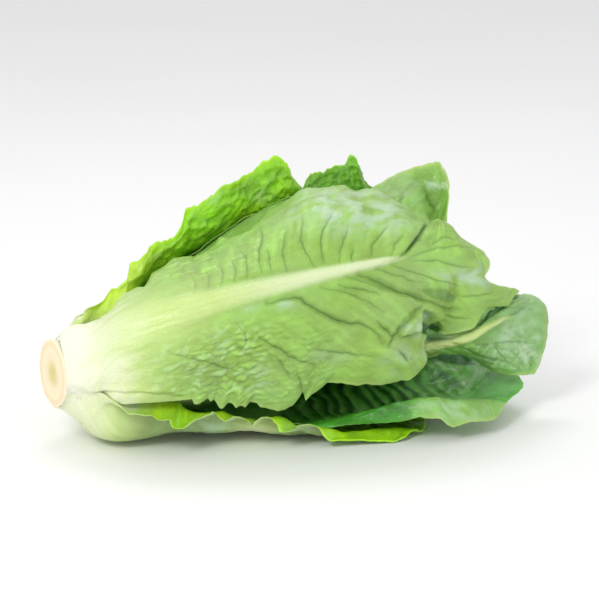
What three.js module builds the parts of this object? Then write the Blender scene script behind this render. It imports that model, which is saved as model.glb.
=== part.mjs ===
// Romaine lettuce head, lying on its side. Millimetres, +Z up, the cut end of
// the stem at -X, the leaf tips at +X, the lowest leaf resting on z = 0.
// Every leaf is one thin closed shell: a smooth inner face drawn from a small
// net of points, and an outer face raised from it by the blade's thickness and
// by the midrib, which is thick and wide where the leaf clasps the stem.
import * as THREE from 'three';

// ---- driving dimensions ---------------------------------------------------
const CUT_X = -152.3;              // x of the flat cut across the stem
const CUT_RADIUS = 20;             // radius of the cut
const AXIS_LOW = 43;               // height of the stem's axis at the cut
const AXIS_RISE = 33;              // how far the axis rises towards the middle of the head
const AXIS_RISE_FROM = 30;         // distance from the cut where the rise starts
const AXIS_RISE_OVER = 125;        // length of the rise
const STEM_LENGTH = 97;            // from the cut to the growing tip inside the head
const STEM_SIDES = 24;
// distance from the cut, radius
const STEM_PROFILE = [[0, 19.3], [1.2, CUT_RADIUS - 0.2], [3, 18.6], [10, 17.2], [20, 16.1], [30, 15], [45, 13],
  [60, 11], [72, 9], [84, 6.8], [92, 4.2], [STEM_LENGTH, 1.5]];
// distance from the leaf's own base, blade thickness
const BLADE = [[0, 0.8], [20, 1.6], [80, 1.2], [150, 1.0], [400, 1.0]];
// distance from the leaf's own base, share of the leaf's greatest midrib thickness
const RIB_HEIGHT = [[0, 0.12], [6, 0.5], [16, 1], [60, 0.85], [110, 0.5], [170, 0.26], [230, 0.14], [300, 0.10]];
// distance from the leaf's own base, half width of the midrib as a share of the half leaf
const RIB_WIDTH = [[0, 0.9], [30, 0.62], [70, 0.34], [120, 0.2], [200, 0.13], [300, 0.1]];
const FLAT_BELOW = 3.6;            // the lowest leaf is pressed flat where it comes this near the surface
const CELLS_ACROSS = 10;           // facets across an outer leaf
const CELLS_ACROSS_HEART = 8;      // facets across a leaf of the heart

// ---- leaves, outermost first ----------------------------------------------
// start: distance of the base from the cut. rib: greatest midrib thickness.
// outward: side of the net that faces out of the head. net: rows from the base
// to the tip, each from one margin to the other.
const LEAVES = [
  { name: 'leaf_bottom_outer', start: 1, rib: 4.6, outward: -1, net: [
    [[-151,-18.7,32.9],[-151.2,-13.6,28.2],[-150.5,-8.4,24.9],[-150,-1.4,23.5],[-149.9,5.8,23],[-149.8,13,25],[-149.9,18.3,30.7]],
    [[-142.3,-19.3,32.4],[-142.2,-14.3,27.6],[-142.1,-8.6,23.6],[-142,-1.7,21.8],[-142,6,21.8],[-142.2,13.2,24.5],[-142.6,19,29.4]],
    [[-131.5,-26.2,28.8],[-131.4,-20,21.3],[-131.3,-12.2,15.9],[-131.2,-2.5,13.3],[-131.3,8,13.8],[-131.5,17.5,18],[-132.2,25.8,24.4]],
    [[-123.8,-36,31.3],[-122.4,-29.4,16.8],[-123.4,-17.1,8.5],[-125.4,0.6,6.9],[-125.6,18,8.8],[-126,30.1,16.7],[-128.2,37.3,29.2]],
    [[-114.2,-39.9,28.3],[-108.8,-29.1,12.2],[-108.1,-15.5,5],[-110.4,0.7,4.4],[-110.5,17.2,4.8],[-111.4,30.1,10.6],[-115,40.1,25]],
    [[-102.1,-43.2,24.8],[-91.5,-30.6,13.1],[-89.4,-15.7,6.7],[-92.3,1.7,4.3],[-90.4,20.5,6],[-88.8,36.4,13],[-91.4,50.1,29.6]],
    [[-91.9,-46.1,20.7],[-76.5,-32.2,12],[-71.5,-15.7,7.6],[-74.4,2.9,6.6],[-73.5,21.9,5],[-73,39.2,11.1],[-74.9,54.9,28.2]],
    [[-83.9,-49,17.5],[-62.9,-33.6,10.4],[-54.4,-16.8,6.2],[-56.2,2.9,7],[-56.9,23.2,4.8],[-57.2,41.5,9.4],[-58.9,57.7,24.1]],
    [[-69.7,-50.2,22.6],[-46.7,-36.1,10.6],[-37,-18.2,6.1],[-39.3,2.7,6.7],[-39.8,23.8,4.4],[-40.2,42.9,8],[-41.8,60.5,22.2]],
    [[-58.2,-52,20.1],[-32.6,-37.6,8.5],[-21.9,-19.5,4.1],[-24.3,2.6,6.5],[-24.9,24.3,4],[-25.1,44.2,8],[-26.8,62.5,22.1]],
    [[-45.2,-52.8,18.3],[-18.1,-38.9,6.2],[-6.9,-20.7,3.5],[-9.3,1.5,6],[-10,23.8,3.8],[-10.1,44.7,8],[-11.8,64.4,22.1]],
    [[-35.8,-53.7,20.3],[-4.5,-40.8,6.5],[8.6,-22.6,2.8],[5.7,0.4,5.8],[5,23.5,4.4],[4.9,45,8.8],[3.2,65.4,22]],
    [[-27.7,-56.6,12.7],[8.2,-43.1,4.2],[23,-24.2,2.8],[19.7,-0.6,5.6],[18.9,22.5,4.4],[19,44,8.3],[17.2,64.4,20]],
    [[-2.6,-58.5,6.5],[27,-44.3,2.4],[39.5,-25.1,2.9],[36.7,-1.6,5.6],[35.3,20.9,5.2],[34.8,41.4,9],[33.2,60.4,19]],
    [[28.2,-59.6,2.5],[47.2,-46.1,1.9],[55.4,-27.1,2.2],[53.7,-3.6,3.2],[52,17.9,4.4],[50.1,36.2,8.9],[47.2,52.4,17]],
    [[45.3,-60.6,1.6],[59,-52.9,2.2],[70.5,-34.6,2.4],[75.2,-7.6,3],[69.4,15.5,5.2],[61.9,31.5,9.1],[57.2,42.4,14]]] },
  { name: 'leaf_back_outer', start: 2, rib: 5, outward: 1, net: [
    [[-150.4,16.8,54.6],[-150.3,19.3,49.2],[-150.3,20.4,43.2],[-150.1,19.7,38.3],[-150.8,17.1,32.4],[-150.5,12.6,27.4],[-151,8.5,25.1]],
    [[-142.8,20.8,55.4],[-142.2,22.8,50.2],[-141.6,24,43.7],[-141.7,21.8,38.6],[-139.9,17.8,34.1],[-140.3,12.9,27.8],[-140.7,6.8,24.6]],
    [[-133.2,30,60.3],[-131.9,33,53.4],[-130.9,32.7,44.2],[-128,32,36],[-127,25.3,28.3],[-127.9,17.6,21.1],[-128,9.4,16.4]],
    [[-109.1,43.9,62.6],[-108.1,44.9,52.7],[-106.9,44.5,42.8],[-106.5,40.7,33.8],[-106,36,24.4],[-105.5,29.3,16.4],[-105.7,20.8,10.3]],
    [[-85.1,48.8,74.2],[-84.3,51.5,62.3],[-83.3,51.2,49.3],[-82.2,48,37.3],[-81.9,42.8,25.2],[-81.8,32.9,16.4],[-81.6,22,10]],
    [[-60.7,51.8,88.5],[-60.5,57,74.4],[-59.3,56.9,58.8],[-59.2,54.1,43.6],[-58.7,47.7,29.2],[-58.3,36,19.4],[-58.1,23,11]],
    [[-36.1,53.1,101.8],[-36,60.5,86],[-35.3,61.9,68.3],[-34.8,58.5,50.8],[-34.6,51.4,34.4],[-34.4,38.2,22.7],[-34.2,22.9,13.8]],
    [[-12.1,53.8,112.2],[-12,64,95],[-11.2,66.2,75.1],[-11,62.6,55.3],[-10.9,54.4,36.7],[-10.8,39.5,23.4],[-10.9,22,13.9]],
    [[8.7,54.1,117.1],[10.8,66.3,98.3],[12.4,69.9,77],[13.2,65.5,55.2],[12.9,55.9,35.6],[11.6,39.6,21.5],[9.5,20.2,11.8]],
    [[27,58,119.2],[32.4,67.9,98.8],[36.1,71.3,77],[37.2,67.6,54.6],[36.3,57.4,34.4],[33,40.8,19.9],[27.8,20.8,9.8]],
    [[45,60.8,119.1],[53.8,69.2,98.3],[59.6,71.9,76.5],[61.3,68.4,54.3],[59.7,58.3,34.4],[54.2,41.8,20],[45.7,22.2,9.6]],
    [[64.4,63.1,113.4],[75.7,70.6,94.3],[83.1,72.7,74.3],[85.4,68.7,54.2],[83.3,59.6,35.9],[76,45.7,21.7],[64.8,28.2,11.1]],
    [[86.4,70,101.5],[98.8,71.7,86.3],[107,70.1,70.6],[109.4,66.2,55],[107.1,59.8,40.3],[99,51.1,27.6],[86.8,40.9,16.3]]] },
  { name: 'leaf_top_back', start: 8, rib: 5, outward: 1, net: [
    [[-144.9,-0,63.5],[-144.4,5.5,60.9],[-144.3,10.7,58.4],[-144.3,14.9,54.3],[-144.2,17.5,49.9],[-144.2,18.8,45],[-143.7,18.5,40.2]],
    [[-135.9,-0.5,68.9],[-135.5,7.2,67.2],[-135.3,14.2,63.8],[-135.2,19.8,58.3],[-135,23.2,52.3],[-135,24.5,45.9],[-134.5,23.8,39.2]],
    [[-124.8,-1,77.4],[-124.3,9.5,75.2],[-124.3,19,71],[-124,26.5,63.7],[-123.9,31,55.6],[-123.8,32.8,46.9],[-123.3,31.6,38.1]],
    [[-116.4,7.7,81.8],[-116.6,11.6,77.9],[-115.4,19.1,73.9],[-114.1,29.1,67.8],[-113.9,35.9,55.7],[-114,37.3,42.6],[-113.2,33.7,31.5]],
    [[-96.3,13.2,98.1],[-96.6,16.3,89],[-95.4,24.9,80.7],[-94.1,37.3,72.3],[-93.9,43.9,58.4],[-94,43.7,42.9],[-93.6,38.8,28.4]],
    [[-79,17.9,110.4],[-78.5,19.8,99],[-77.5,29.5,89],[-76.1,43.3,77.9],[-76,49.7,62],[-76.1,48.5,44.7],[-76,42.5,28.7]],
    [[-61.3,20.8,126.5],[-60.7,22.1,110.3],[-59.5,32.5,97.1],[-58.2,47.8,85.3],[-58,54.4,67.8],[-58.3,52.4,48.9],[-58.2,45.9,31.6]],
    [[-37.2,24.1,141.2],[-37.4,24.5,122.2],[-37.1,35.8,107.5],[-36.3,52.5,93.7],[-36.2,59,74.5],[-36.3,56.4,54.5],[-36.3,49.6,36.7]],
    [[-18.4,26,146.8],[-19.3,26.2,130.1],[-19.3,38.2,115.3],[-18.4,55.9,99.4],[-18.3,62.3,78.8],[-18.4,59.5,58.1],[-18.4,52.6,40]],
    [[0,27.8,156.2],[-1.4,27.8,136.4],[-1.5,40.6,119.4],[-0.4,59.2,102.1],[-0.3,65.6,81.2],[-0.4,62.2,59.9],[-0.4,54.9,40.9]],
    [[13.4,32.3,140.1],[13.3,31.6,133.3],[15.2,43.1,120.8],[17.6,61.5,101.9],[17.8,67.8,80.9],[17.5,64.1,60],[17.6,57.1,40.9]],
    [[31.9,47.7,126.9],[32.9,53.2,121.2],[34.3,59.7,110.6],[35.6,66.1,95],[35.9,68.1,76.9],[35.1,65.1,58.8],[33.6,58.7,41.2]],
    [[47.8,52,124.2],[49.6,57.1,117.7],[51.8,62.4,107.4],[53.6,67.3,92.7],[54,68.9,76],[52.9,66.3,59.5],[50.6,61,43.9]],
    [[61.8,56.9,118.6],[64.9,60.4,111.8],[68.7,64.8,102.9],[71.7,68.7,90.6],[71.6,69.6,75.2],[69.5,67.5,60.6],[66.7,63.5,47.9]],
    [[73.8,62.8,109.2],[78.7,64.8,103.4],[85.2,67.2,95.9],[90.7,69.3,85.7],[89.8,69.3,73.5],[85.2,67.7,62.5],[79.7,65.5,53.7]]] },
  { name: 'leaf_top_back_inner', start: 15, rib: 4.2, outward: 1, net: [
    [[-137.6,5.1,61],[-137.4,9.6,58.2],[-137.3,13.6,54.6],[-137.3,16.3,50.1],[-137.3,18,44.7],[-137.2,17.4,39.4],[-137,16.9,33.5]],
    [[-128.8,5.9,64.3],[-128.6,11.5,61.1],[-128.4,16.2,56.9],[-128.4,19.6,51.4],[-128.4,21.4,45],[-128.4,21.2,38.4],[-128.5,19.3,32]],
    [[-117.8,7.7,71.9],[-117.5,15.6,67.9],[-117.5,22.3,62.4],[-117.4,27.1,54.7],[-117.4,29.8,45.7],[-117.3,29,36.8],[-117.4,26,28.2]],
    [[-108.8,18.2,72.9],[-108.5,23.3,68.3],[-108.5,28.6,61.6],[-108.4,32.8,52.3],[-108.4,34.3,42.5],[-108.4,32.5,33.2],[-108.5,28.9,24.2]],
    [[-82.5,22.1,85.9],[-82.4,29.3,80],[-82.4,36.2,71],[-82.4,41.2,58.9],[-82.5,43,46],[-82.7,40.4,33.9],[-82.6,33.7,23.3]],
    [[-56.5,24.9,100.8],[-56.2,34,92.8],[-56.3,42.1,82.2],[-56.4,47.5,68.2],[-56.5,48.9,53.5],[-56.7,46.3,39.3],[-56.6,38.4,27.3]],
    [[-30,27,115.8],[-29.9,37.6,106],[-30.1,47.1,93.8],[-30.3,53.4,78.4],[-30.5,54.9,62],[-30.6,51.3,46.4],[-30.7,44.1,32.3]],
    [[-5.5,27.4,127.5],[-5.6,38.8,115.8],[-6,50.1,102.1],[-6.2,57.1,84.1],[-6.4,59,66.5],[-6.6,55.2,49.9],[-6.8,47.6,34.7]],
    [[14.6,27.3,135.1],[14.9,35.6,124.2],[14.2,47.8,111.3],[13.8,58,93.3],[13.6,61.8,73.7],[13.4,59.1,54.7],[13.2,51.6,37.2]],
    [[25.6,31.5,143.3],[27.4,39.1,130.8],[28.9,48.7,116],[29.8,58.6,98.2],[29.8,62.7,78.2],[29.2,61.2,58.4],[28.3,55.1,39.9]],
    [[37.4,32.8,146.8],[38.8,40,135.1],[41.2,49.8,120.2],[43.8,59.5,101.2],[44,63.8,80.5],[42.9,62,61.1],[41.4,57.2,43.6]],
    [[48.5,34.4,152.3],[51.1,41,138.4],[54.6,50,122.6],[57.7,59.4,104],[58.2,64.2,82.8],[56.7,62.8,63.9],[54.3,59.4,47.2]],
    [[55,36.5,144.1],[62.4,44.8,132.6],[68.2,53.7,119.1],[71.6,61.1,102.6],[72.2,63.8,84.1],[70.5,62.6,67.7],[67.6,59.1,54.4]],
    [[61,40.8,130.7],[72.6,49.7,122],[81.4,56.1,112.1],[85.6,59.9,99.9],[85.1,62.4,85.1],[81.9,62.2,71.7],[77.6,59.8,60.9]]] },
  { name: 'leaf_bottom_inner', start: 13, rib: 4.2, outward: -1, net: [
    [[-139.7,-18.5,33.6],[-139.4,-12.6,30.7],[-139.3,-7.8,27.2],[-139.2,-2,25.5],[-139.1,3.8,25.7],[-139,9.5,27.8],[-138.8,13.2,31]],
    [[-132.3,-20.1,31.8],[-130.9,-14.6,28.8],[-130.6,-8.9,25.8],[-130.3,-2.6,24.5],[-130.2,3.8,24.7],[-130,9.6,27],[-129.8,14.3,31.2]],
    [[-121.4,-26.4,29.2],[-120,-19.8,24.1],[-119.6,-12.4,19.9],[-119.3,-3.8,18],[-119.1,4.8,18.4],[-118.9,12.8,21.7],[-118.6,19.6,27.4]],
    [[-111.1,-30.7,25.2],[-110.9,-25.3,18.6],[-110.5,-18.7,13.3],[-110.2,-8,10.7],[-110,6.6,10.8],[-109.8,19.7,16.6],[-109.3,27.1,28.3]],
    [[-90.9,-32,24.5],[-90.6,-27.2,19.2],[-90.4,-20,13.4],[-90.2,-8.4,10.7],[-90,7,9.9],[-89.8,22.3,17],[-89.7,32.9,31.2]],
    [[-73,-40.1,21.6],[-72.9,-34.6,15.6],[-72.7,-25.2,12.8],[-72.7,-12.1,12.6],[-72.2,6.8,14.7],[-72.4,28,21.8],[-73.5,40.9,38.9]],
    [[-52.8,-42.6,18.2],[-52.5,-36.8,14.8],[-52.6,-27.8,11.4],[-52.6,-13.5,12.4],[-52.3,7,15.2],[-52.3,29.7,22.6],[-53.6,43.9,40.1]],
    [[-32.7,-43.4,14.4],[-32.5,-38.9,12.2],[-32.6,-29.2,11],[-32.6,-14.3,12.4],[-32.3,7.3,14.9],[-32.3,31.6,22.9],[-33.6,46.4,42.3]],
    [[-12.6,-45.3,12.9],[-12.6,-41.2,11.4],[-12.6,-31.5,10.6],[-12.6,-15.5,12.3],[-12.3,7.9,14.8],[-12.3,33.6,23.1],[-13.6,49.1,44.2]],
    [[-3.5,-49.7,9.9],[0.1,-46.3,12.2],[4.2,-35.4,11.3],[5.7,-16.8,11.9],[5.6,8.6,14.6],[5.7,35.1,22.9],[4.4,51.7,45.7]],
    [[11.4,-54.7,11.4],[15.9,-50.6,16.4],[20,-38.9,12.5],[22.7,-18.7,11.2],[23.8,8.3,14.5],[23.5,35.9,22.4],[22.2,53.5,45.2]],
    [[26.8,-59.7,12.7],[29.9,-54.7,20.4],[35.3,-42.1,11.1],[38.8,-21.1,8.9],[39.6,7.5,14.7],[39.4,36.6,22],[38,54.7,44.5]],
    [[44.4,-65.7,14.3],[45.4,-58.8,24.2],[51,-46.1,14],[54.9,-23.9,5.2],[55.5,6.4,9.6],[55.3,36.9,22.1],[54,54.8,44.4]],
    [[56.7,-70.6,16.8],[57.8,-62,26],[64.5,-47.9,15],[69,-26.1,6.2],[69.4,4.4,10],[69.2,36.2,21.5],[67.7,58.2,42.4]],
    [[69.3,-73.6,10.8],[71.2,-63.1,23.9],[78.1,-49.3,15.3],[84,-28,7.9],[85.5,3.1,9.6],[85.1,35.5,17.9],[83.4,59.2,42]],
    [[84,-71.5,11.7],[85.7,-61.8,21.5],[91.9,-48.7,15.7],[98.6,-28.7,10.6],[101.7,1.5,12],[100.8,34.4,20.5],[98.4,57.3,43.4]],
    [[96.1,-68.6,11.3],[99.5,-58.5,19],[105.7,-47.3,17],[112.9,-29.7,14.6],[116.7,-0.3,16.2],[115.4,31.5,24],[110.4,51.9,44.1]],
    [[106,-62.5,11.1],[112.2,-55.2,13.7],[122.2,-44.8,15.7],[132.8,-36,18.5],[136.6,-15.3,21.8],[128.1,18,30.2],[119.6,36.1,41.7]]] },
  { name: 'leaf_front_outer', start: 3, rib: 6.5, outward: 1, net: [
    [[-149.1,-17.4,35.4],[-149.4,-18.8,39.3],[-149.3,-19,44.6],[-149.3,-17.6,50.3],[-149.1,-14.5,55.6],[-149,-9.9,59.6],[-147.6,-5.4,61.1]],
    [[-137.6,-17.1,36.1],[-138.3,-19.5,41.1],[-139.6,-21.5,45.7],[-139.9,-20.2,51.8],[-139.9,-16.7,57.6],[-139.6,-11.4,61.5],[-139,-4.8,63.2]],
    [[-124,-22.8,33.2],[-126.7,-27.5,39.6],[-128.1,-29.8,46.7],[-128.7,-28.1,55.2],[-128.8,-23.2,63.2],[-128.7,-15.6,69],[-127.8,-6.4,71.6]],
    [[-125,-33.6,39.3],[-123.9,-38.6,51.4],[-121.7,-41.4,63.9],[-119.8,-39.2,74.1],[-119,-29.6,78.9],[-118.3,-16.5,79.6],[-117.3,-2.7,78.4]],
    [[-113.4,-41.5,36.6],[-111.5,-46.4,51.6],[-109.7,-49.3,66.2],[-107.9,-46.3,78.8],[-106.7,-34.4,85.9],[-105.6,-18,87.9],[-104.3,-0.7,86.8]],
    [[-97.9,-47.1,34.4],[-95.4,-53,52.2],[-92.9,-56.2,69.6],[-90.4,-52.4,85],[-88,-38.1,96.3],[-85.7,-18.1,101.1],[-83.3,3.4,100.8]],
    [[-80.2,-50.3,33.7],[-77.1,-57.5,53.6],[-74.1,-61,73.4],[-71.1,-56.5,91.2],[-68.5,-40.9,103.6],[-65.9,-18.8,108.5],[-63.2,5.4,107.6]],
    [[-63,-52.5,34.1],[-59.1,-60.6,55],[-55.2,-64.4,76.3],[-51.4,-59.6,96.1],[-48.2,-43.5,110.4],[-45.3,-20.1,116.5],[-42.6,6.5,116.5]],
    [[-46.9,-54.6,30.6],[-41.6,-64.1,53.5],[-36.3,-67.8,77.4],[-31.1,-61.7,100.7],[-26.6,-45,118.6],[-22.4,-20.4,127],[-18.4,8.3,128.3]],
    [[-28.5,-55.6,26],[-22.4,-67.1,50.7],[-16.4,-70.5,77.3],[-10.3,-62.8,104.6],[-4.3,-46,127.4],[1.6,-21.4,139.4],[7.5,8.1,141.4]],
    [[-10.2,-57.7,36.1],[-3.2,-67.6,59.1],[4,-70.4,83.3],[11,-63,107.6],[17.2,-46.6,128.4],[23,-23.2,139.7],[29.2,4.1,142.8]],
    [[12,-60.8,37.7],[18,-69.8,60.9],[23.9,-70.8,85.6],[30,-62.2,109.6],[36.4,-47.6,127.3],[43.1,-27.8,137.4],[49.4,-3.8,141.4]],
    [[33.4,-62.1,35.9],[37.6,-71.2,59.8],[41.5,-71.2,86.7],[46,-61.5,111.1],[52.4,-48.7,124.1],[59.7,-32.4,129.9],[67.8,-15.6,137.9]],
    [[49.7,-62.7,39],[53.7,-69.1,60.5],[57.4,-67.2,84.9],[61.5,-57.9,106.9],[66.4,-47.5,115.1],[72.8,-36.3,120.2],[79,-22.6,124.6]],
    [[60,-61.9,52.8],[64.6,-64.6,69.1],[69.6,-62.3,86.7],[74.3,-55.4,102.7],[76.9,-47.1,112.6],[79.2,-37.1,118.8],[81.6,-24.5,123.9]],
    [[64.4,-49,59.2],[71.2,-53.2,73],[78.7,-55.2,86.5],[85,-52.7,99.3],[86.9,-47,109.4],[86.3,-37.3,116],[85.8,-26.7,120.1]],
    [[84.7,-51.8,57.5],[88.4,-53,70.2],[93.1,-54.1,83.6],[96.6,-50.2,95.8],[95.2,-44.1,103.1],[93.6,-38.4,108.5],[91.9,-30.6,112.6]],
    [[108.2,-47.2,63.5],[130.9,-36.5,72.7],[127,-36.5,79.4],[104.1,-43.2,85.9],[104,-46.2,95.4],[105.4,-38.2,103],[99.7,-36,108.3]]] },
  { name: 'leaf_top_front', start: 18, rib: 4.4, outward: 1, net: [
    [[-134.3,-16.9,44.2],[-134.5,-15.9,49.6],[-134.4,-13.1,54.2],[-134.3,-8.8,57.6],[-134.2,-3.8,59.6],[-134,1.5,60.2],[-133.1,6.4,58.9]],
    [[-125.8,-21.2,44.5],[-125.6,-19.2,50.8],[-125.5,-15.9,56.3],[-125.3,-10.7,60.3],[-125.2,-4.7,62.8],[-125,1.5,63],[-124.8,7.7,61.4]],
    [[-114.8,-28.1,45.4],[-114.6,-25.6,53.6],[-114.5,-21.2,60.9],[-114.3,-14.4,66.4],[-114.1,-6.4,69.6],[-113.9,1.9,69.9],[-113.6,10.2,68]],
    [[-111,-34,41.7],[-110.8,-31.7,53.1],[-110.5,-26.1,63.2],[-110.4,-17.1,70.9],[-110.1,-6.4,75],[-110,4.1,75],[-109.3,13.7,71.3]],
    [[-87.2,-39.7,47.1],[-86.8,-37.4,60.6],[-86.5,-31.1,72.6],[-86.4,-20.4,81.7],[-86.1,-7.2,86.6],[-85.9,5.5,86.3],[-86,16.9,82.3]],
    [[-60.9,-46.1,56.2],[-60.7,-43.7,72.2],[-60.5,-36.7,86.4],[-60.3,-24,97.1],[-60.1,-9,103.1],[-60.1,5.8,103.1],[-59.9,19.3,98.3]],
    [[-34.8,-51.7,65.6],[-34.7,-49.4,83.7],[-34.5,-41.3,99.8],[-34.3,-27.2,112],[-33.8,-10.7,117.8],[-33.5,5.1,117.6],[-34.4,19.9,115.4]],
    [[-8.6,-55.5,72.6],[-8.6,-52.8,91.9],[-8.6,-43.8,109.5],[-8.4,-28.8,122.8],[-8.1,-11.8,129.1],[-8,4.3,129.8],[-8.4,19.5,128.1]],
    [[17.5,-56.3,74.1],[17.4,-53.7,93.1],[17.4,-44.3,111],[17.4,-28.4,125.4],[17.5,-12.2,133.3],[17.6,2.6,135.7],[17.6,16.2,135.1]],
    [[39.5,-55.6,76.1],[39.3,-52.7,94],[39.1,-43.1,111.6],[38.9,-27.3,126],[38.9,-11.8,133.8],[39.4,0.5,135.8],[40,10.4,134.4]],
    [[59.5,-54.6,79.1],[59,-51.5,95.1],[58.7,-41.5,111.1],[58.2,-26.2,124.8],[57.2,-14.1,132.5],[55.9,-3.2,136.1],[54.5,8.3,138.1]],
    [[75.3,-52.2,82],[76.3,-49.3,97.9],[76.2,-40.1,112.1],[74.2,-26.7,122],[73.2,-16.2,130.9],[72.9,-7.4,139.8],[69.8,5.3,146]],
    [[85.3,-49.4,94.7],[86.7,-45.1,106.7],[85.3,-34.6,111.5],[82.3,-18.8,112.2],[85.5,-10.7,119.6],[86.9,-5.3,133.8],[82.9,1.3,150.8]],
    [[82,-26.4,99.4],[87.1,-22.8,108.4],[89.2,-18.1,116.4],[91.6,-14.2,124.6],[94.5,-10.1,134.1],[94.7,-6.9,143.8],[90.1,-3.8,153.2]]] },
  { name: 'leaf_front_inner', start: 22, rib: 4.4, outward: 1, net: [
    [[-130.3,-5.9,27.4],[-130.3,-10.4,30.2],[-130.3,-13.8,34.1],[-130.3,-15.9,39],[-130,-16.2,44.1],[-129.9,-15,49.3],[-129.8,-12.4,53.6]],
    [[-121.4,-7,24.7],[-121.3,-12.1,28],[-121.2,-16.1,32.5],[-121,-18.1,38.2],[-121,-18.7,44.4],[-121.1,-17.5,50.2],[-121.1,-14.5,55.6]],
    [[-110.4,-9.3,19.8],[-110.3,-15.8,24.3],[-110.2,-20.9,30.1],[-110,-23.6,37.6],[-109.9,-24.4,45.6],[-110,-22.6,53.2],[-110.1,-19,60.2]],
    [[-106.4,-9.2,14.8],[-106.2,-17.9,18.7],[-106.1,-24.8,26.2],[-105.8,-29,36.7],[-105.6,-29.4,47.8],[-106,-27.2,57.9],[-106,-20.5,66.5]],
    [[-82.3,-12,16.8],[-82.2,-20.9,21.4],[-82.1,-29.1,29.4],[-81.8,-34.6,41.1],[-81.7,-35.7,54.3],[-82,-32.8,66.3],[-82,-25.5,76.4]],
    [[-56.3,-15.8,20.9],[-56.2,-25.9,26.4],[-56.1,-35.2,35.2],[-56,-41.5,48.4],[-56,-43.3,64.1],[-56,-39.5,78.3],[-56.1,-31.8,90.1]],
    [[-30.3,-19.2,26.3],[-30.3,-29.9,31.5],[-30.2,-39.9,40.9],[-30.1,-47.2,55.3],[-30,-49.3,72.3],[-30,-45.4,88.4],[-30,-36.6,102.6]],
    [[-4.3,-22.4,28.7],[-4.3,-33.5,34.6],[-4.2,-43.4,44.2],[-4.2,-51.1,58.6],[-4,-52.8,75.9],[-4.1,-49.7,93.8],[-4,-40.6,110.3]],
    [[21.7,-23.3,31.3],[21.7,-33,37.1],[21.7,-42,46.2],[21.8,-48.6,59.6],[21.8,-51.6,75.8],[21.8,-48.5,92.3],[21.8,-41.1,108.4]],
    [[45.7,-24.6,32.6],[45.7,-33.6,38.1],[45.7,-41.7,46.3],[45.7,-48.1,58.8],[45.7,-51,74.9],[45.7,-48.7,91.4],[45.7,-42.1,106.8]],
    [[69.6,-25.7,34],[67.2,-37.5,39.8],[64.3,-44.5,47.3],[63.1,-44.9,56],[66.4,-46.4,62.2],[68,-46.4,75.6],[65.7,-45.3,97.9]],
    [[89.2,-23.7,25.6],[83.7,-37.4,38.2],[79.4,-45.1,49],[78,-47.1,56.7],[80.6,-48,62.4],[83.9,-46.5,74.4],[85.9,-45.2,93]],
    [[106.2,-25.8,28.8],[100.2,-35.8,35.6],[93.4,-44.6,45.7],[89.5,-48.1,56.7],[94.4,-45.9,64.3],[99.8,-45.2,73.4],[102,-44.9,86.1]],
    [[119.4,-33,25.5],[114.2,-37,32.9],[106.9,-43.5,45.7],[101.8,-46.1,60],[107.3,-41.4,66.5],[113.1,-39.1,73.2],[112,-41.2,80.2]],
    [[129.8,-35,24.5],[128.9,-36.8,31.8],[123.1,-41.3,47.6],[115.4,-40.7,64.7],[119.8,-36.8,70.1],[127.9,-31.4,71.7],[133.8,-23.2,72.8]],
    [[141.5,-34.5,25.2],[145.6,-33.5,32.5],[149.3,-31.6,43.1],[151.8,-29.1,55.3],[151.6,-27,63.6],[148.9,-23.7,68],[144.5,-20.9,70.4]]] },
  { name: 'leaf_back_inner', start: 27, rib: 4.2, outward: 1, net: [
    [[-125.2,14.7,50.6],[-125.3,16.3,45.8],[-125.3,16.4,40.8],[-125.2,14.9,36],[-125.3,11.9,31.7],[-125.3,8,28.8],[-125.2,3.3,26.8]],
    [[-116.1,20.2,53.7],[-116,22,47.2],[-116,22,40.6],[-116,19.6,33.8],[-116.1,15.7,27.9],[-116.2,10.4,23.6],[-116.4,4.2,21]],
    [[-104.7,27.8,59.2],[-104.9,30.8,50.4],[-104.7,30.1,41.2],[-104.3,24.5,33.3],[-104.7,20.3,24.1],[-105.2,14.2,17.3],[-105.5,5.9,12.8]],
    [[-83.3,36.9,59.6],[-83.4,37.7,51.2],[-83.3,36,43.1],[-83,30.8,36],[-83.3,26.6,28.1],[-83.8,22.1,21.1],[-84.5,14.8,17.1]],
    [[-62,40.3,72],[-62,41.9,61.4],[-62,41.1,50.9],[-62,37.4,40.5],[-62.1,31.4,31.3],[-62.4,23.2,24.5],[-62.8,13.5,20.2]],
    [[-40.6,42.7,84.6],[-40.6,45.6,72.1],[-40.6,45.4,59.3],[-40.6,41.1,47],[-40.7,33.8,36.1],[-40.9,23.9,28.2],[-40.9,12.2,22.5]],
    [[-19.2,44.8,95.4],[-19.2,49,80.9],[-19.2,49.4,66.1],[-19.2,44.8,51.6],[-19.3,36.2,39.1],[-19.3,24.2,30.4],[-19.4,10.2,25]],
    [[1.8,45.3,102.5],[2,51.1,86.4],[2.2,52.3,69.7],[2.2,47.2,53.2],[2.2,37.3,39.1],[2,23.4,29.7],[1.7,7.1,24.3]],
    [[20,45.7,106],[22,53,88.4],[23.3,54.9,70.1],[23.7,49.6,52],[23.3,38.6,36.6],[22,23,26.9],[20,4.6,21.9]],
    [[36.4,46.3,107.4],[41.2,54.1,89.3],[44.3,56.2,70.3],[45.2,50.7,51.5],[44.3,39.2,35.5],[41.1,23,25.5],[36.4,3.9,20.5]],
    [[52.4,47.5,106.9],[60.1,55.1,88.7],[65.2,57.1,69.8],[66.7,51.6,51],[65.2,40.2,35.2],[60.1,24.1,25.1],[52.4,5.1,19.9]],
    [[69.6,50.9,102.5],[79.6,56.7,85.3],[86.2,57.7,67.8],[88.2,52.3,50.7],[86.2,42.2,35.9],[79.6,27.7,25.9],[69.6,10.6,19.9]],
    [[89.3,55.9,91.6],[100.3,56.9,78.2],[107.5,55.5,64.6],[109.7,50.7,51.5],[107.5,43.3,39.6],[100.3,33.5,30.2],[89.3,22.3,22.7]]] },
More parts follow.
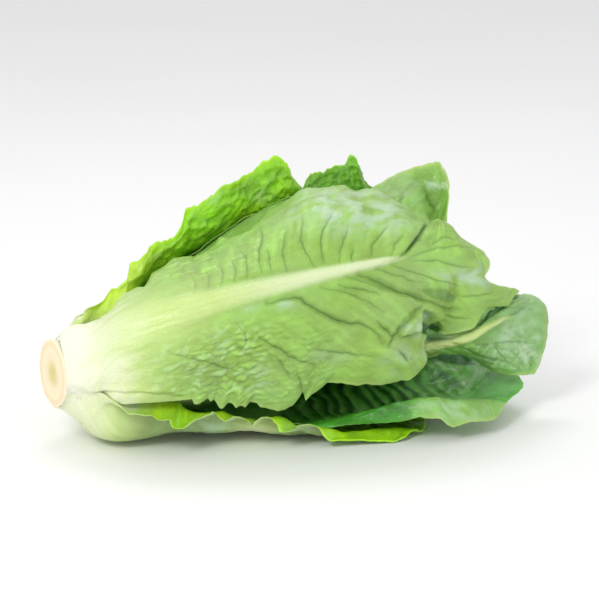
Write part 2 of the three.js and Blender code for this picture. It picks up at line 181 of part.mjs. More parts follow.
  { name: 'leaf_bottom_heart', start: 31, rib: 3.8, outward: 1, net: [
    [[-121.2,13.4,34.1],[-121.2,10,30.6],[-121.3,5.8,28.3],[-121.4,1,27.3],[-121.5,-4,27.9],[-121.4,-8.4,30],[-121.5,-12.1,33.3]],
    [[-111.9,16.7,32.5],[-112.1,12.6,27.6],[-112.2,7.5,24.2],[-112.1,1.2,23.1],[-111.7,-5.1,24.3],[-111.9,-10.9,27],[-111.7,-15.7,31.2]],
    [[-100.3,21,31.2],[-101,17.1,23.5],[-101.1,10,19.2],[-101.1,1.5,17.7],[-100.8,-6.9,19.8],[-100.9,-15.4,22.3],[-100.8,-22.1,28.5]],
    [[-79.8,21.4,26.4],[-80,15.7,21.6],[-80.2,8.6,20.1],[-80.1,1.6,18.2],[-80.1,-5.7,19.3],[-80,-13,20.8],[-80,-19.9,24.5]],
    [[-58.9,26.6,33.2],[-59,19.4,27.3],[-59.1,10.9,24],[-59.1,1.7,22.3],[-59,-7.7,22.7],[-59,-16.4,26.1],[-59,-24.5,31]],
    [[-37.9,31.6,40.5],[-37.9,22.9,33.3],[-37.9,13.1,28.2],[-38,1.9,26.4],[-38,-9.4,27.5],[-37.9,-19.6,31.7],[-37.9,-28.8,38.4]],
    [[-16.8,35.8,46.6],[-16.9,26.2,37.7],[-16.9,15,31.6],[-16.9,2.1,29.3],[-16.9,-10.9,30.7],[-16.8,-22.6,36.1],[-16.8,-32.9,44]],
    [[3.8,39.6,50],[4,29.3,39.4],[4.2,16.9,32],[4.2,2.3,29.3],[4.2,-12.4,31.1],[4,-25.4,37.5],[3.9,-36.4,47.4]],
    [[22.5,42.6,50.9],[24,31.8,38.6],[25,18.4,30.2],[25.3,2.6,27.3],[25,-13.3,29.8],[24.1,-27.1,37.5],[22.6,-39.2,47.7]],
    [[39.7,44,51.2],[43.3,32.8,38.3],[45.7,19.2,29.5],[46.4,2.7,26.4],[45.7,-13.3,30],[43.3,-27.7,37.6],[40,-39.5,48.5]],
    [[56.6,44,50],[62.5,32.8,37.2],[66.4,19.1,28.6],[67.5,2.7,25.6],[66.6,-13,29.5],[62.9,-26.6,38.8],[56.8,-39.8,46.5]],
    [[74.4,41.9,45.6],[82,30.8,34.6],[87.1,17.6,27.1],[88.6,2.6,24.7],[87.2,-12.4,27.1],[82.4,-25.6,34],[74.5,-38.1,42.6]],
    [[94.1,35.2,38.1],[102.5,25.2,31.8],[108,14.2,27.4],[109.7,2.2,25.8],[108,-9.8,26.7],[102.6,-20.9,30.5],[94.5,-30.8,36.6]]] },
  { name: 'leaf_heart_1', start: 36, rib: 3.6, outward: 1, net: [
    [[-116.3,-9.3,54.8],[-116.3,-4.6,57.4],[-116.3,0.7,58.3],[-116.3,6,57.1],[-116.3,10.6,54.2],[-116.3,13.8,50],[-116.3,15.5,44.8]],
    [[-107.3,-13,60.3],[-107.3,-6.4,63.7],[-107.2,0.8,65],[-107.3,8.1,63.5],[-107.2,14.5,59.5],[-107.3,18.7,53.6],[-107.3,21.1,46.5]],
    [[-96.3,-18,68.7],[-96.3,-8.9,73.4],[-96.2,0.9,75.2],[-96,10.9,72.7],[-96.2,19.8,67.6],[-96.3,25.7,59.5],[-96.3,28.9,49.8]],
    [[-73.4,-13.3,85.8],[-73.3,-4.5,88],[-73.2,4.4,88.2],[-72.9,13,85.3],[-73.2,21.2,81.4],[-73.3,27.4,75.1],[-73.4,32.2,67.4]],
    [[-50.3,-15.8,97.4],[-50.3,-5.8,100.3],[-50.2,4.4,100.8],[-50.3,14.6,98.3],[-50.2,23.6,93],[-50.3,30.7,85.6],[-50.3,35.8,76.5]],
    [[-27.4,-19.6,107],[-27.3,-8,111.1],[-27.3,3.9,112.2],[-27.2,15.8,109.2],[-27.3,26.4,103.1],[-27.3,34.3,94.1],[-27.3,39.8,83.2]],
    [[-4.7,-24.2,111.4],[-4.5,-11.1,117.2],[-4.4,2.8,119.2],[-4.3,16.8,116.1],[-4.3,29.1,108.7],[-4.5,37.7,97.7],[-4.6,43.2,84.4]],
    [[14.9,-27.3,111.6],[16.9,-13,118.9],[18.2,2.2,121.8],[18.7,17.7,118.5],[18.3,31.2,110.2],[17,40.3,97.7],[15.1,45.6,82.6]],
    [[32.9,-28.6,111.8],[37.6,-13.9,119.8],[40.7,2,123],[41.6,18.2,119.7],[40.8,32.4,111],[37.8,41.8,97.9],[33.2,47.1,82.1]],
    [[51.2,-24.9,114.6],[58.4,-10.9,121.1],[63.1,3.8,123.5],[64.6,18.6,120.3],[63.3,31.6,112.7],[58.7,40.9,101.1],[51.7,46.9,87]],
    [[72,-15,119.5],[80.3,-3.6,122.8],[85.8,7.8,123.5],[87.5,19,120.9],[86,29.1,115.6],[80.8,37.3,107.6],[72.7,43.8,97.8]]] },
  { name: 'leaf_heart_2', start: 42, rib: 3.38, outward: 1, net: [
    [[-110.3,-0.1,29.5],[-110.3,-5.1,30.7],[-110.3,-9.3,33.5],[-110.3,-12.4,37.6],[-110.3,-13.8,42.6],[-110.3,-13.3,47.6],[-110.3,-11.2,52.3]],
    [[-101.3,-0.3,25.8],[-101.3,-7.2,27.5],[-101.3,-13.1,31.1],[-101.3,-17.3,36.9],[-101.3,-19.3,43.7],[-101.3,-18.5,50.6],[-101.4,-15.6,57.1]],
    [[-90.3,-0.5,21.6],[-90.3,-9.9,23.9],[-90.3,-18,28.8],[-90.3,-23.7,36.7],[-90.3,-26.4,46],[-90.4,-25.3,55.4],[-90.5,-21.6,64.3]],
    [[-68,-13.2,27.2],[-68,-19.3,31.1],[-68,-24.5,36],[-68.1,-28.4,42.2],[-68.1,-30.9,49.1],[-68.1,-31.6,56.3],[-68.2,-31.1,63.6]],
    [[-45.8,-13.4,32.6],[-45.8,-20.5,37],[-45.8,-26.6,42.5],[-45.8,-31.2,49.6],[-45.8,-34,57.5],[-45.8,-34.6,65.7],[-45.9,-33.6,74.1]],
    [[-23.6,-12.5,36.4],[-23.6,-21.1,41.1],[-23.6,-28.4,47.3],[-23.6,-33.8,55.6],[-23.6,-37,64.9],[-23.6,-37.4,74.5],[-23.6,-35.8,84.2]],
    [[-1.6,-9.9,37.1],[-1.4,-20.4,41.8],[-1.3,-29.3,48.8],[-1.3,-35.7,58.3],[-1.3,-39.3,69.2],[-1.4,-39.2,80.5],[-1.6,-36.5,91.6]],
    [[18.1,-8.4,35],[19.6,-20.3,39.7],[20.6,-30.4,47],[21,-37.5,57.5],[20.6,-41.4,69.6],[19.6,-41,82.1],[18.1,-37.3,94.3]],
    [[36.4,-7.9,33.6],[40.1,-20.4,38.4],[42.5,-31,46],[43.2,-38.6,57],[42.5,-42.5,69.7],[40.1,-42,82.7],[36.4,-38,95.5]],
    [[55,-11.9,33.9],[60.7,-22.8,39.4],[64.4,-32.4,46.6],[65.4,-39.2,56.7],[64.4,-43,68.2],[60.7,-43,80.2],[55,-40.2,92.2]],
    [[75.7,-20.3,36.9],[82.2,-28.3,41.8],[86.4,-35,48.4],[87.7,-39.8,56.3],[86.4,-43,65.1],[82.2,-43.6,74.4],[75.7,-43.1,83.8]]] },
  { name: 'leaf_heart_3', start: 48, rib: 3.16, outward: 1, net: [
    [[-104.3,-13.1,44.9],[-104.3,-12.2,49.6],[-104.3,-9.7,53.7],[-104.3,-5.9,56.7],[-104.3,-1.3,58.2],[-104.3,3.5,57.9],[-104.3,8,56.1]],
    [[-95.3,-17.9,47],[-95.3,-16.5,53.4],[-95.3,-13.4,59],[-95.3,-8.2,63.1],[-95.3,-1.9,65.2],[-95.3,4.5,64.6],[-95.3,10.6,62.2]],
    [[-84.3,-24.3,50.3],[-84.3,-22.5,59],[-84.2,-18.2,66.5],[-84.3,-11.2,72.1],[-84.3,-2.7,74.9],[-84.3,6,74.2],[-84.3,14.3,70.8]],
    [[-63.8,-27.9,66.2],[-63.8,-24.6,73.3],[-63.8,-19.9,79.4],[-63.8,-13.4,84],[-63.8,-6.1,86.8],[-63.8,1.6,87.3],[-63.8,9.4,86]],
    [[-43.3,-30.7,73.4],[-43.3,-27.2,81.7],[-43.3,-22,88.8],[-43.3,-14.6,94.1],[-43.3,-6.1,97.3],[-43.3,2.7,97.6],[-43.3,11.6,95.9]],
    [[-22.8,-33.6,78],[-22.8,-30.1,88],[-22.8,-24.3,96.6],[-22.8,-15.8,102.9],[-22.8,-5.8,106.4],[-22.8,4.6,106.4],[-22.8,14.8,103.8]],
    [[-2.6,-35.8,77.9],[-2.4,-32.7,89.9],[-2.3,-26.5,100.3],[-2.3,-16.6,107.8],[-2.3,-4.8,111.8],[-2.4,7.2,111.1],[-2.6,18.9,107]],
    [[15.1,-37.3,75.8],[16.8,-34.6,89.3],[17.9,-28.2,101],[18.2,-17.4,109.5],[17.9,-4.3,113.7],[16.8,9,112.5],[15.1,21.7,107.2]],
    [[31.4,-38.5,75.2],[35.3,-35.8,89.3],[37.9,-29.2,101.5],[38.7,-17.9,110.3],[37.9,-4.2,114.8],[35.3,9.7,113.4],[31.3,22.9,107.8]],
    [[48,-39,79.5],[54,-35.4,92],[57.9,-28.6,102.8],[59.1,-18.1,110.7],[57.9,-5.6,115],[54,7.2,114.6],[48,19.6,110.5]],
    [[66.8,-37.7,89.2],[73.7,-33,97.8],[78.2,-26.6,105.3],[79.4,-17.9,110.2],[78.2,-8.8,114.5],[73.7,1,115.7],[66.8,10.9,114.8]]] },
  { name: 'leaf_heart_4', start: 54, rib: 2.94, outward: 1, net: [
    [[-98.3,6,57.6],[-98.3,9.6,54.8],[-98.3,12,51.1],[-98.3,13,46.6],[-98.3,12.4,42.1],[-98.3,10.2,38.2],[-98.3,6.8,35.2]],
    [[-89.3,7.8,63.8],[-89.3,12.5,60],[-89.3,15.9,55.2],[-89.3,17.2,49.3],[-89.3,16.3,43.2],[-89.3,13.3,38.2],[-89.3,8.8,34.1]],
    [[-78.3,10.3,72.7],[-78.3,16.7,67.7],[-78.3,21.3,61.2],[-78.3,23,53.2],[-78.3,21.8,45.1],[-78.3,17.8,38.3],[-78.3,11.7,32.8]],
    [[-57.8,18.5,80.4],[-57.8,23,74.8],[-57.8,26.2,68.4],[-57.8,27.4,61.2],[-57.8,26.7,54],[-57.8,24,47.4],[-57.8,19.8,41.5]],
    [[-37.3,18.9,90.7],[-37.3,24.4,84.5],[-37.3,28.2,77.3],[-37.3,29.6,69],[-37.3,28.8,60.7],[-37.3,25.5,53.3],[-37.3,20.4,46.7]],
    [[-16.8,18.2,99.6],[-16.8,25.1,92.8],[-16.8,29.9,84.6],[-16.8,31.7,74.9],[-16.8,30.6,65.2],[-16.8,26.3,56.7],[-16.8,19.9,49.3]],
    [[3.4,16,104.9],[3.6,24.8,97.6],[3.7,31,88.4],[3.7,33.3,77.2],[3.7,31.7,65.8],[3.6,26.2,56.1],[3.4,18,48.2]],
    [[21.3,14.7,107.1],[22.9,24.9,99.5],[23.9,32.1,89.6],[24.2,34.8,77.2],[23.9,33,64.7],[22.9,26.5,54.2],[21.3,16.8,46]],
    [[37.9,14.2,108.2],[41.6,25,100.5],[44,32.7,90.2],[44.7,35.6,77.2],[44,33.6,64.1],[41.6,26.7,53.3],[37.9,16.4,44.9]],
    [[54.8,17.8,106.9],[60.4,27.2,99],[64.1,33.7,89.2],[65.2,36.1,77.2],[64.1,34.5,65.2],[60.4,28.7,54.9],[54.8,19.9,46.4]],
    [[73.8,25.2,102],[80.2,31.1,94.7],[84.4,35.2,86.5],[85.7,36.7,77.3],[84.4,35.8,68],[80.2,32.4,59.5],[73.8,27,51.8]]] },
  { name: 'leaf_heart_5', start: 60, rib: 2.72, outward: 1, net: [
    [[-92.3,6.7,37.7],[-92.3,2.7,36.2],[-92.3,-1.5,36.1],[-92.3,-5.5,37.6],[-92.3,-8.8,40.3],[-92.3,-10.8,44],[-92.3,-11.5,48.2]],
    [[-83.3,8.4,37.8],[-83.3,3.3,35.9],[-83.3,-2,35.6],[-83.3,-7.2,37.5],[-83.3,-11.4,41.1],[-83.3,-13.8,45.8],[-83.3,-14.7,51.2]],
    [[-72.3,11.1,37.4],[-72.3,4.3,34.9],[-72.3,-2.8,34.6],[-72.3,-9.7,37.1],[-72.3,-15.4,41.8],[-72.3,-18.6,48.1],[-72.3,-19.9,55.3]],
    [[-51.8,7.4,39.3],[-51.8,0.8,38.4],[-51.8,-5.6,39],[-51.8,-11.8,41.6],[-51.8,-17.1,45.6],[-51.8,-20.8,50.9],[-51.8,-23.3,57]],
    [[-31.3,9.2,45.2],[-31.3,1.8,43.8],[-31.3,-5.7,44.3],[-31.3,-12.8,47.2],[-31.3,-18.8,51.9],[-31.3,-23,58.1],[-31.3,-25.5,65.2]],
    [[-10.8,12.1,49.4],[-10.8,3.4,47.3],[-10.8,-5.3,47.4],[-10.8,-13.6,50.6],[-10.8,-20.6,56.3],[-10.8,-25.1,63.7],[-10.8,-27.5,72.3]],
    [[9.4,15.5,50.8],[9.6,5.7,47.3],[9.7,-4.5,46.9],[9.7,-14.3,50.5],[9.7,-22.4,57.2],[9.6,-27.1,66.2],[9.4,-29,76.5]],
    [[27.6,17.8,50.8],[29,7.1,46.4],[29.9,-4,45.5],[30.2,-15,49.4],[29.9,-23.8,56.9],[29,-28.6,67],[27.6,-30.2,78.5]],
    [[44.5,19,51.1],[47.8,7.9,46.1],[50,-3.7,45],[50.7,-15.2,49],[50,-24.4,56.9],[47.8,-29.2,67.6],[44.5,-30.4,79.7]],
    [[61.7,16.3,48.8],[66.8,5.8,45.1],[70.2,-5,44.7],[71.2,-15.5,48.5],[70.2,-24,55.6],[66.8,-29,65.2],[61.7,-31.1,76.2]],
    [[80.8,9,45.2],[86.7,0.6,44.1],[90.5,-7.8,45],[91.7,-15.6,48.4],[90.5,-22.4,53.4],[86.7,-27.3,60.2],[80.8,-30.6,68.1]]] },
  { name: 'leaf_heart_6', start: 66, rib: 2.5, outward: 1, net: [
    [[-86.3,-7.7,42.3],[-86.3,-9.7,45.7],[-86.3,-10.4,49.5],[-86.3,-9.8,53.3],[-86.3,-7.8,56.7],[-86.3,-4.8,59.1],[-86.3,-1.1,60.4]],
    [[-77.3,-9.6,43.8],[-77.3,-12,48],[-77.3,-13,52.5],[-77.3,-12.2,57.3],[-77.3,-9.8,61.6],[-77.3,-6,64.4],[-77.4,-1.5,66.2]],
    [[-66.3,-12.8,45],[-66.3,-16,50.6],[-66.3,-17.4,56.7],[-66.3,-16.3,63],[-66.3,-13.1,68.6],[-66.3,-8.1,72.4],[-66.3,-2.1,74.6]],
    [[-49.3,-18.3,53.5],[-49.3,-20.3,59.1],[-49.3,-20.9,65],[-49.3,-19.6,70.9],[-49.3,-16.8,76.2],[-49.3,-12.6,80.4],[-49.3,-7.4,83.4]],
    [[-32.3,-18.8,57.6],[-32.3,-21.5,64],[-32.3,-22.4,70.7],[-32.3,-21,77.5],[-32.3,-17.7,83.6],[-32.3,-12.7,88.1],[-32.3,-6.6,91.3]],
    [[-15.3,-18.6,59.4],[-15.3,-22.2,66.6],[-15.3,-23.7,74.4],[-15.3,-22.2,82.4],[-15.3,-18.2,89.4],[-15.3,-12.1,94.4],[-15.3,-4.7,97.6]],
    [[1.5,-17.3,58.3],[1.6,-22.4,66.3],[1.7,-24.7,75.2],[1.7,-23.1,84.6],[1.7,-18.3,92.8],[1.6,-10.8,98.1],[1.5,-1.8,100.9]],
    [[16.3,-16.5,56.4],[17.6,-22.7,64.8],[18.4,-25.7,74.5],[18.7,-24.1,84.9],[18.4,-18.6,93.9],[17.6,-10.1,99.4],[16.3,0.1,101.9]],
    [[30.1,-16.5,55.4],[33.1,-23.2,64.2],[35.1,-26.4,74.3],[35.7,-24.8,85.2],[35.1,-19,94.6],[33.1,-10.1,100.2],[30.1,0.7,102.6]],
    [[44.1,-19,57.3],[48.7,-24.4,65.9],[51.8,-26.8,75.3],[52.7,-25.1,85.3],[51.8,-20,94],[48.7,-12.1,99.7],[44.1,-2.5,102.8]],
    [[59.8,-23.6,63],[65.1,-26.2,70.3],[68.6,-27.1,77.8],[69.7,-25.4,85.4],[68.6,-21.8,92.2],[65.1,-16.3,97.5],[59.8,-9.6,101.4]]] },
  { name: 'leaf_heart_7', start: 72, rib: 2.28, outward: 1, net: [
    [[-80,-1.6,61.3],[-80.3,1.9,61.5],[-80.3,5.2,60.2],[-80.3,7.9,58],[-80.3,9.7,54.9],[-80.3,10.2,51.5],[-80.3,9.6,48]],
    [[-71.2,-2,66.3],[-71.2,2.2,66.3],[-71.3,6,65.1],[-71.3,9.3,62.4],[-71.3,11.4,58.8],[-71.3,12.2,54.7],[-71.3,11.5,50.6]],
    [[-60.2,-2.7,74.1],[-60.3,2.7,74.1],[-60.3,7.8,72.5],[-60.3,12,69],[-60.3,14.8,64.3],[-60.3,15.4,59],[-60.3,14.5,53.6]],
    [[-45,0.2,83.5],[-45,5.5,82.6],[-45,10.4,80.6],[-45,14.4,77],[-45,17.2,72.4],[-45,18.5,67.2],[-45,18.4,61.8]],
    [[-29.8,-1.2,89.8],[-29.8,4.9,89.2],[-29.8,10.6,87],[-29.8,15.2,82.9],[-29.8,18.5,77.6],[-29.8,19.6,71.7],[-29.8,19.2,65.5]],
    [[-14.6,-3.6,94.2],[-14.6,3.7,94.2],[-14.6,10.4,92],[-14.6,16,87.4],[-14.6,19.6,81.1],[-14.6,20.6,74.1],[-14.6,19.4,66.9]],
    [[0.5,-6.5,95.9],[0.6,2,96.8],[0.7,9.9,94.9],[0.7,16.6,89.6],[0.7,20.7,82.1],[0.6,21.2,73.9],[0.5,18.9,65.7]],
    [[13.8,-8.4,96],[15,0.9,97.6],[15.7,9.8,95.9],[16,17.2,90.1],[15.7,21.6,81.8],[15,21.7,72.7],[13.8,18.5,63.8]],
    [[26.2,-9.1,96.3],[28.9,0.6,98.2],[30.7,9.9,96.6],[31.2,17.7,90.5],[30.7,22.3,81.8],[28.9,22.3,72.3],[26.2,18.8,63.1]],
    [[38.7,-6.6,97.6],[42.9,2.4,98.5],[45.6,10.9,96.4],[46.4,17.9,90.7],[45.6,22.3,82.8],[42.9,22.9,74.1],[38.7,20.5,65.4]],
    [[52.8,-0.2,99],[57.6,6.7,98.1],[60.8,13,95.5],[61.7,18.2,90.9],[60.8,21.8,85],[57.6,23.2,78.3],[52.8,22.9,71.4]]] },
  { name: 'leaf_heart_8', start: 78, rib: 2.06, outward: 1, net: [
    [[-74.2,9.1,52.6],[-74.3,8.2,49.6],[-74.3,6.2,47.2],[-74.3,3.4,45.5],[-74.1,0.2,44.4],[-74,-3.1,44.8],[-74.3,-5.7,47.2]],
    [[-65.2,9.7,56],[-65.3,8.6,52.8],[-65.2,6.6,50],[-65.2,3.6,48.3],[-64.8,0.1,46.6],[-64.7,-3.7,47],[-64.9,-6.8,49.2]],
    [[-54.3,12.5,60],[-54.3,11,55.8],[-54.3,8.4,52.3],[-54.2,4.6,49.9],[-54.2,0.1,49.2],[-54.2,-4.1,50.2],[-54.2,-8,52.3]],
    [[-40.8,14.9,62.6],[-40.8,12.8,58.4],[-40.8,9.8,54.8],[-40.8,5.5,52.5],[-40.7,0.8,51.4],[-40.7,-3.9,52.1],[-40.7,-8.3,54]],
    [[-27.3,16.1,68.1],[-27.3,14,63.1],[-27.3,10.6,58.9],[-27.3,5.9,56.2],[-27.3,0.4,55.2],[-27.3,-4.8,56.2],[-27.3,-9.7,58.7]],
    [[-13.8,17,73.3],[-13.8,15.2,67.2],[-13.8,11.6,62.1],[-13.8,6.1,58.8],[-13.8,-0.3,57.7],[-13.8,-6.3,59.3],[-13.8,-11.7,62.8]],
    [[-0.5,17.6,77.4],[-0.4,16.3,70],[-0.3,12.7,63.8],[-0.3,6.3,59.7],[-0.3,-1.2,58.7],[-0.4,-8,61.1],[-0.5,-13.7,66]],
    [[11.3,17.9,79.2],[12.3,17.1,70.8],[13,13.5,63.8],[13.2,6.5,59.2],[13,-1.8,58.2],[12.3,-9.1,61.3],[11.3,-15,67.2]],
    [[22.2,18.2,79.8],[24.6,17.7,71],[26.2,14,63.5],[26.7,6.7,58.7],[26.2,-2,57.7],[24.6,-9.6,61],[22.2,-15.7,67.4]],
    [[33.4,18.9,77.2],[37.1,17.5,69.3],[39.5,13.6,62.7],[40.2,6.8,58.4],[39.5,-1.1,57.3],[37.1,-8.4,59.9],[33.4,-14.6,65]],
    [[45.8,18.6,71.5],[50.1,16.1,65.8],[52.9,12.2,61.2],[53.7,6.9,58.2],[52.9,0.8,57.1],[50.1,-5.1,58.2],[45.8,-10.6,60.8]]] },
  { name: 'leaf_heart_9', start: 84, rib: 1.84, outward: 1, net: [
    [[-70.9,-0.7,47.1],[-70.1,-3,48.2],[-69.2,-5.5,50.4],[-68.6,-6.8,53],[-68.4,-7.4,55.7],[-68.3,-7.1,58.4],[-68.3,-5.9,60.9]],
    [[-60,-0.1,52.3],[-59.8,-2.6,53.1],[-59.6,-4.6,54.5],[-59.5,-6.1,56.7],[-59.4,-6.7,59.2],[-59.3,-6.4,61.7],[-59.3,-5.3,64]],
    [[-48.8,-0.2,54.5],[-48.7,-3.4,55.5],[-48.5,-6.2,57.3],[-48.4,-8.1,60.1],[-48.4,-8.9,63.4],[-48.3,-8.5,66.6],[-48.3,-7,69.6]],
    [[-36.9,-0.7,56.4],[-36.9,-4.6,57.5],[-36.9,-8,59.7],[-36.8,-10.4,63.2],[-36.8,-11.5,67.2],[-36.8,-11,71.2],[-36.8,-9.4,75]],
    [[-25.4,0.5,59.3],[-25.4,-4.1,60.3],[-25.4,-8.1,62.6],[-25.3,-10.9,66.5],[-25.3,-12.1,71.2],[-25.3,-11.3,75.7],[-25.3,-9.1,79.9]],
    [[-13.8,2.5,61.7],[-13.8,-3.1,62.2],[-13.8,-7.9,64.5],[-13.8,-11.3,69],[-13.8,-12.6,74.4],[-13.8,-11.2,79.6],[-13.8,-8.1,84.2]],
    [[-2.5,4.8,63.2],[-2.4,-1.8,62.9],[-2.3,-7.6,65.1],[-2.3,-11.7,70.2],[-2.3,-13,76.7],[-2.4,-10.9,82.5],[-2.5,-6.4,87.3]],
    [[7.6,6.3,63.6],[8.4,-0.9,62.6],[9,-7.4,64.6],[9.2,-12.1,70.2],[9,-13.3,77.4],[8.4,-10.7,83.6],[7.6,-5.3,88.5]],
    [[16.8,6.9,63.6],[18.9,-0.6,62.2],[20.3,-7.5,64.2],[20.7,-12.4,70],[20.3,-13.7,77.5],[18.9,-10.8,84],[16.8,-4.9,89]],
    [[26.3,4.8,62.3],[29.5,-2.2,62.1],[31.6,-8.4,64.4],[32.2,-12.7,69.9],[31.6,-14.1,76.7],[29.5,-12,83],[26.3,-7.2,88.2]],
    [[36.8,-0.1,61.5],[40.6,-5.3,62.8],[43,-9.8,65.4],[43.7,-12.9,69.8],[43,-14.2,75],[40.6,-13.4,80.1],[36.9,-11.1,84.9]]] },
];

// ---- smooth surface through a net -----------------------------------------
function table(points, x) {
  if (x <= points[0][0]) return points[0][1];
  for (let i = 1; i < points.length; i++) {
    if (x <= points[i][0]) {
      const [x0, y0] = points[i - 1], [x1, y1] = points[i];
      return y0 + (y1 - y0) * (x - x0) / (x1 - x0);
    }
  }
  return points[points.length - 1][1];
}

function smooth(t) {
  const c = Math.min(1, Math.max(0, t));
  return c * c * (3 - 2 * c);
}

function axisHeight(d) {
  return AXIS_LOW + AXIS_RISE * smooth((d - AXIS_RISE_FROM) / AXIS_RISE_OVER);
}

// Control values of the uniform cubic spline, with free ends, that passes
// through the given values.
function controls(values) {
  const n = values.length;
  const a = [], b = [];
  for (let i = 0; i < n + 2; i++) { a.push(new Array(n + 2).fill(0)); b.push(0); }
  a[0][0] = 1; a[0][1] = -2; a[0][2] = 1;
  a[n + 1][n - 1] = 1; a[n + 1][n] = -2; a[n + 1][n + 1] = 1;
  for (let i = 0; i < n; i++) {
    a[i + 1][i] = 1 / 6; a[i + 1][i + 1] = 4 / 6; a[i + 1][i + 2] = 1 / 6;
    b[i + 1] = values[i];
  }
  const m = n + 2;
  for (let c = 0; c < m; c++) {
    let p = c;
    for (let r = c + 1; r < m; r++) if (Math.abs(a[r][c]) > Math.abs(a[p][c])) p = r;
    [a[c], a[p]] = [a[p], a[c]]; [b[c], b[p]] = [b[p], b[c]];
    for (let r = c + 1; r < m; r++) {
      const f = a[r][c] / a[c][c];
      if (f === 0) continue;
      for (let k = c; k < m; k++) a[r][k] -= f * a[c][k];
      b[r] -= f * b[c];
    }
  }
  const x = new Array(m).fill(0);
  for (let r = m - 1; r >= 0; r--) {
    let s = b[r];
    for (let k = r + 1; k < m; k++) s -= a[r][k] * x[k];
    x[r] = s / a[r][r];
  }
  return x;
}

function weights(t, n) {
  const i = Math.min(Math.floor(t), n - 2), f = t - i;
  return {
    i,
    w: [(1 - f) ** 3 / 6, (3 * f ** 3 - 6 * f * f + 4) / 6, (-3 * f ** 3 + 3 * f * f + 3 * f + 1) / 6, f ** 3 / 6],
    d: [-((1 - f) ** 2) / 2, (9 * f * f - 12 * f) / 6, (-9 * f * f + 6 * f + 3) / 6, f * f / 2],
  };
}

// 3 grids of control values, one per axis.
function controlGrids(net) {
  const rows = net.length, cols = net[0].length;
  return [0, 1, 2].map((axis) => {
    const half = net.map((row) => controls(row.map((p) => p[axis])));
    const grid = [];
    for (let i = 0; i < rows + 2; i++) grid.push(new Array(cols + 2).fill(0));
    for (let j = 0; j < cols + 2; j++) {
      const column = controls(half.map((row) => row[j]));
      for (let i = 0; i < rows + 2; i++) grid[i][j] = column[i];
    }
    return grid;
  });
}

function pointAndNormal(grids, rows, cols, tu, tv) {
  const a = weights(tu, rows), b = weights(tv, cols);
  const p = [0, 0, 0], pu = [0, 0, 0], pv = [0, 0, 0];
  for (let k = 0; k < 3; k++) {
    for (let i = 0; i < 4; i++) {
      for (let j = 0; j < 4; j++) {
        const c = grids[k][a.i + i][b.i + j];
        p[k] += a.w[i] * b.w[j] * c;
        pu[k] += a.d[i] * b.w[j] * c;
        pv[k] += a.w[i] * b.d[j] * c;
      }
    }
  }
  const point = new THREE.Vector3(...p);
  const normal = new THREE.Vector3(...pu).cross(new THREE.Vector3(...pv)).normalize();
  return { point, normal };
}

// ---- closed bodies --------------------------------------------------------
function closedMesh(points, faces) {
  const geometry = new THREE.BufferGeometry();
  geometry.setAttribute('position', new THREE.Float32BufferAttribute(points.flatMap((p) => [p.x, p.y, p.z]), 3));
  geometry.setIndex(faces.flat());
  geometry.computeVertexNormals();
  return geometry;
}

function leafGeometry(leaf, across) {
  const rows = leaf.net.length, cols = leaf.net[0].length;
  const grids = controlGrids(leaf.net);
  const along = rows - 1;
  const inner = [], outer = [];
  for (let i = 0; i <= along; i++) {
    for (let j = 0; j <= across; j++) {
      const { point, normal } = pointAndNormal(grids, rows, cols, i, (j / across) * (cols - 1));
      const d = point.x - CUT_X - leaf.start;
      const v = (2 * j) / across - 1;
      const rib = leaf.rib * table(RIB_HEIGHT, d) * Math.exp(-((v / table(RIB_WIDTH, d)) ** 2));
      const thickness = Math.max(table(BLADE, d), rib);
      const top = point.clone().addScaledVector(normal, leaf.outward * thickness);
      if (top.z < FLAT_BELOW) top.z = 0;
      inner.push(point);
      outer.push(top);
    }
  }
  const count = (along + 1) * (across + 1);
  const at = (i, j) => i * (across + 1) + j;
  const faces = [];
  const flip = leaf.outward < 0;
  const add = (a, b, c) => faces.push(flip ? [a, c, b] : [a, b, c]);
  for (let i = 0; i < along; i++) {
    for (let j = 0; j < across; j++) {
      const a = at(i, j), b = at(i + 1, j), c = at(i + 1, j + 1), d = at(i, j + 1);
      add(count + a, count + b, count + c);
      add(count + a, count + c, count + d);
      add(a, c, b);
      add(a, d, c);
    }
  }
  const rim = [];
  for (let i = 0; i < along; i++) rim.push(at(i, 0));
  for (let j = 0; j < across; j++) rim.push(at(along, j));
  for (let i = along; i > 0; i--) rim.push(at(i, across));
  for (let j = across; j > 0; j--) rim.push(at(0, j));
  for (let k = 0; k < rim.length; k++) {
    const a = rim[k], b = rim[(k + 1) % rim.length];
    add(count + b, count + a, a);
    add(count + b, a, b);
  }
  return closedMesh([...inner, ...outer], faces);
}

function stemGeometry() {
  const points = [], faces = [];
  for (const [d, r] of STEM_PROFILE) {
    for (let k = 0; k < STEM_SIDES; k++) {
      const a = (2 * Math.PI * k) / STEM_SIDES;
      points.push(new THREE.Vector3(CUT_X + d, r * Math.cos(a), axisHeight(d) + r * Math.sin(a)));
    }
  }
  const n = STEM_SIDES, rings = STEM_PROFILE.length;
  for (let i = 0; i + 1 < rings; i++) {
    for (let k = 0; k < n; k++) {
      const a = i * n + k, b = i * n + ((k + 1) % n), c = a + n, d = b + n;
      faces.push([a, b, d], [a, d, c]);
    }
  }
  points.push(new THREE.Vector3(CUT_X, 0, axisHeight(0)));
  points.push(new THREE.Vector3(CUT_X + STEM_LENGTH, 0, axisHeight(STEM_LENGTH)));
  const first = points.length - 2, last = points.length - 1, end = (rings - 1) * n;
  for (let k = 0; k < n; k++) {
    faces.push([first, (k + 1) % n, k]);
    faces.push([last, end + k, end + ((k + 1) % n)]);
  }
  return closedMesh(points, faces);
}

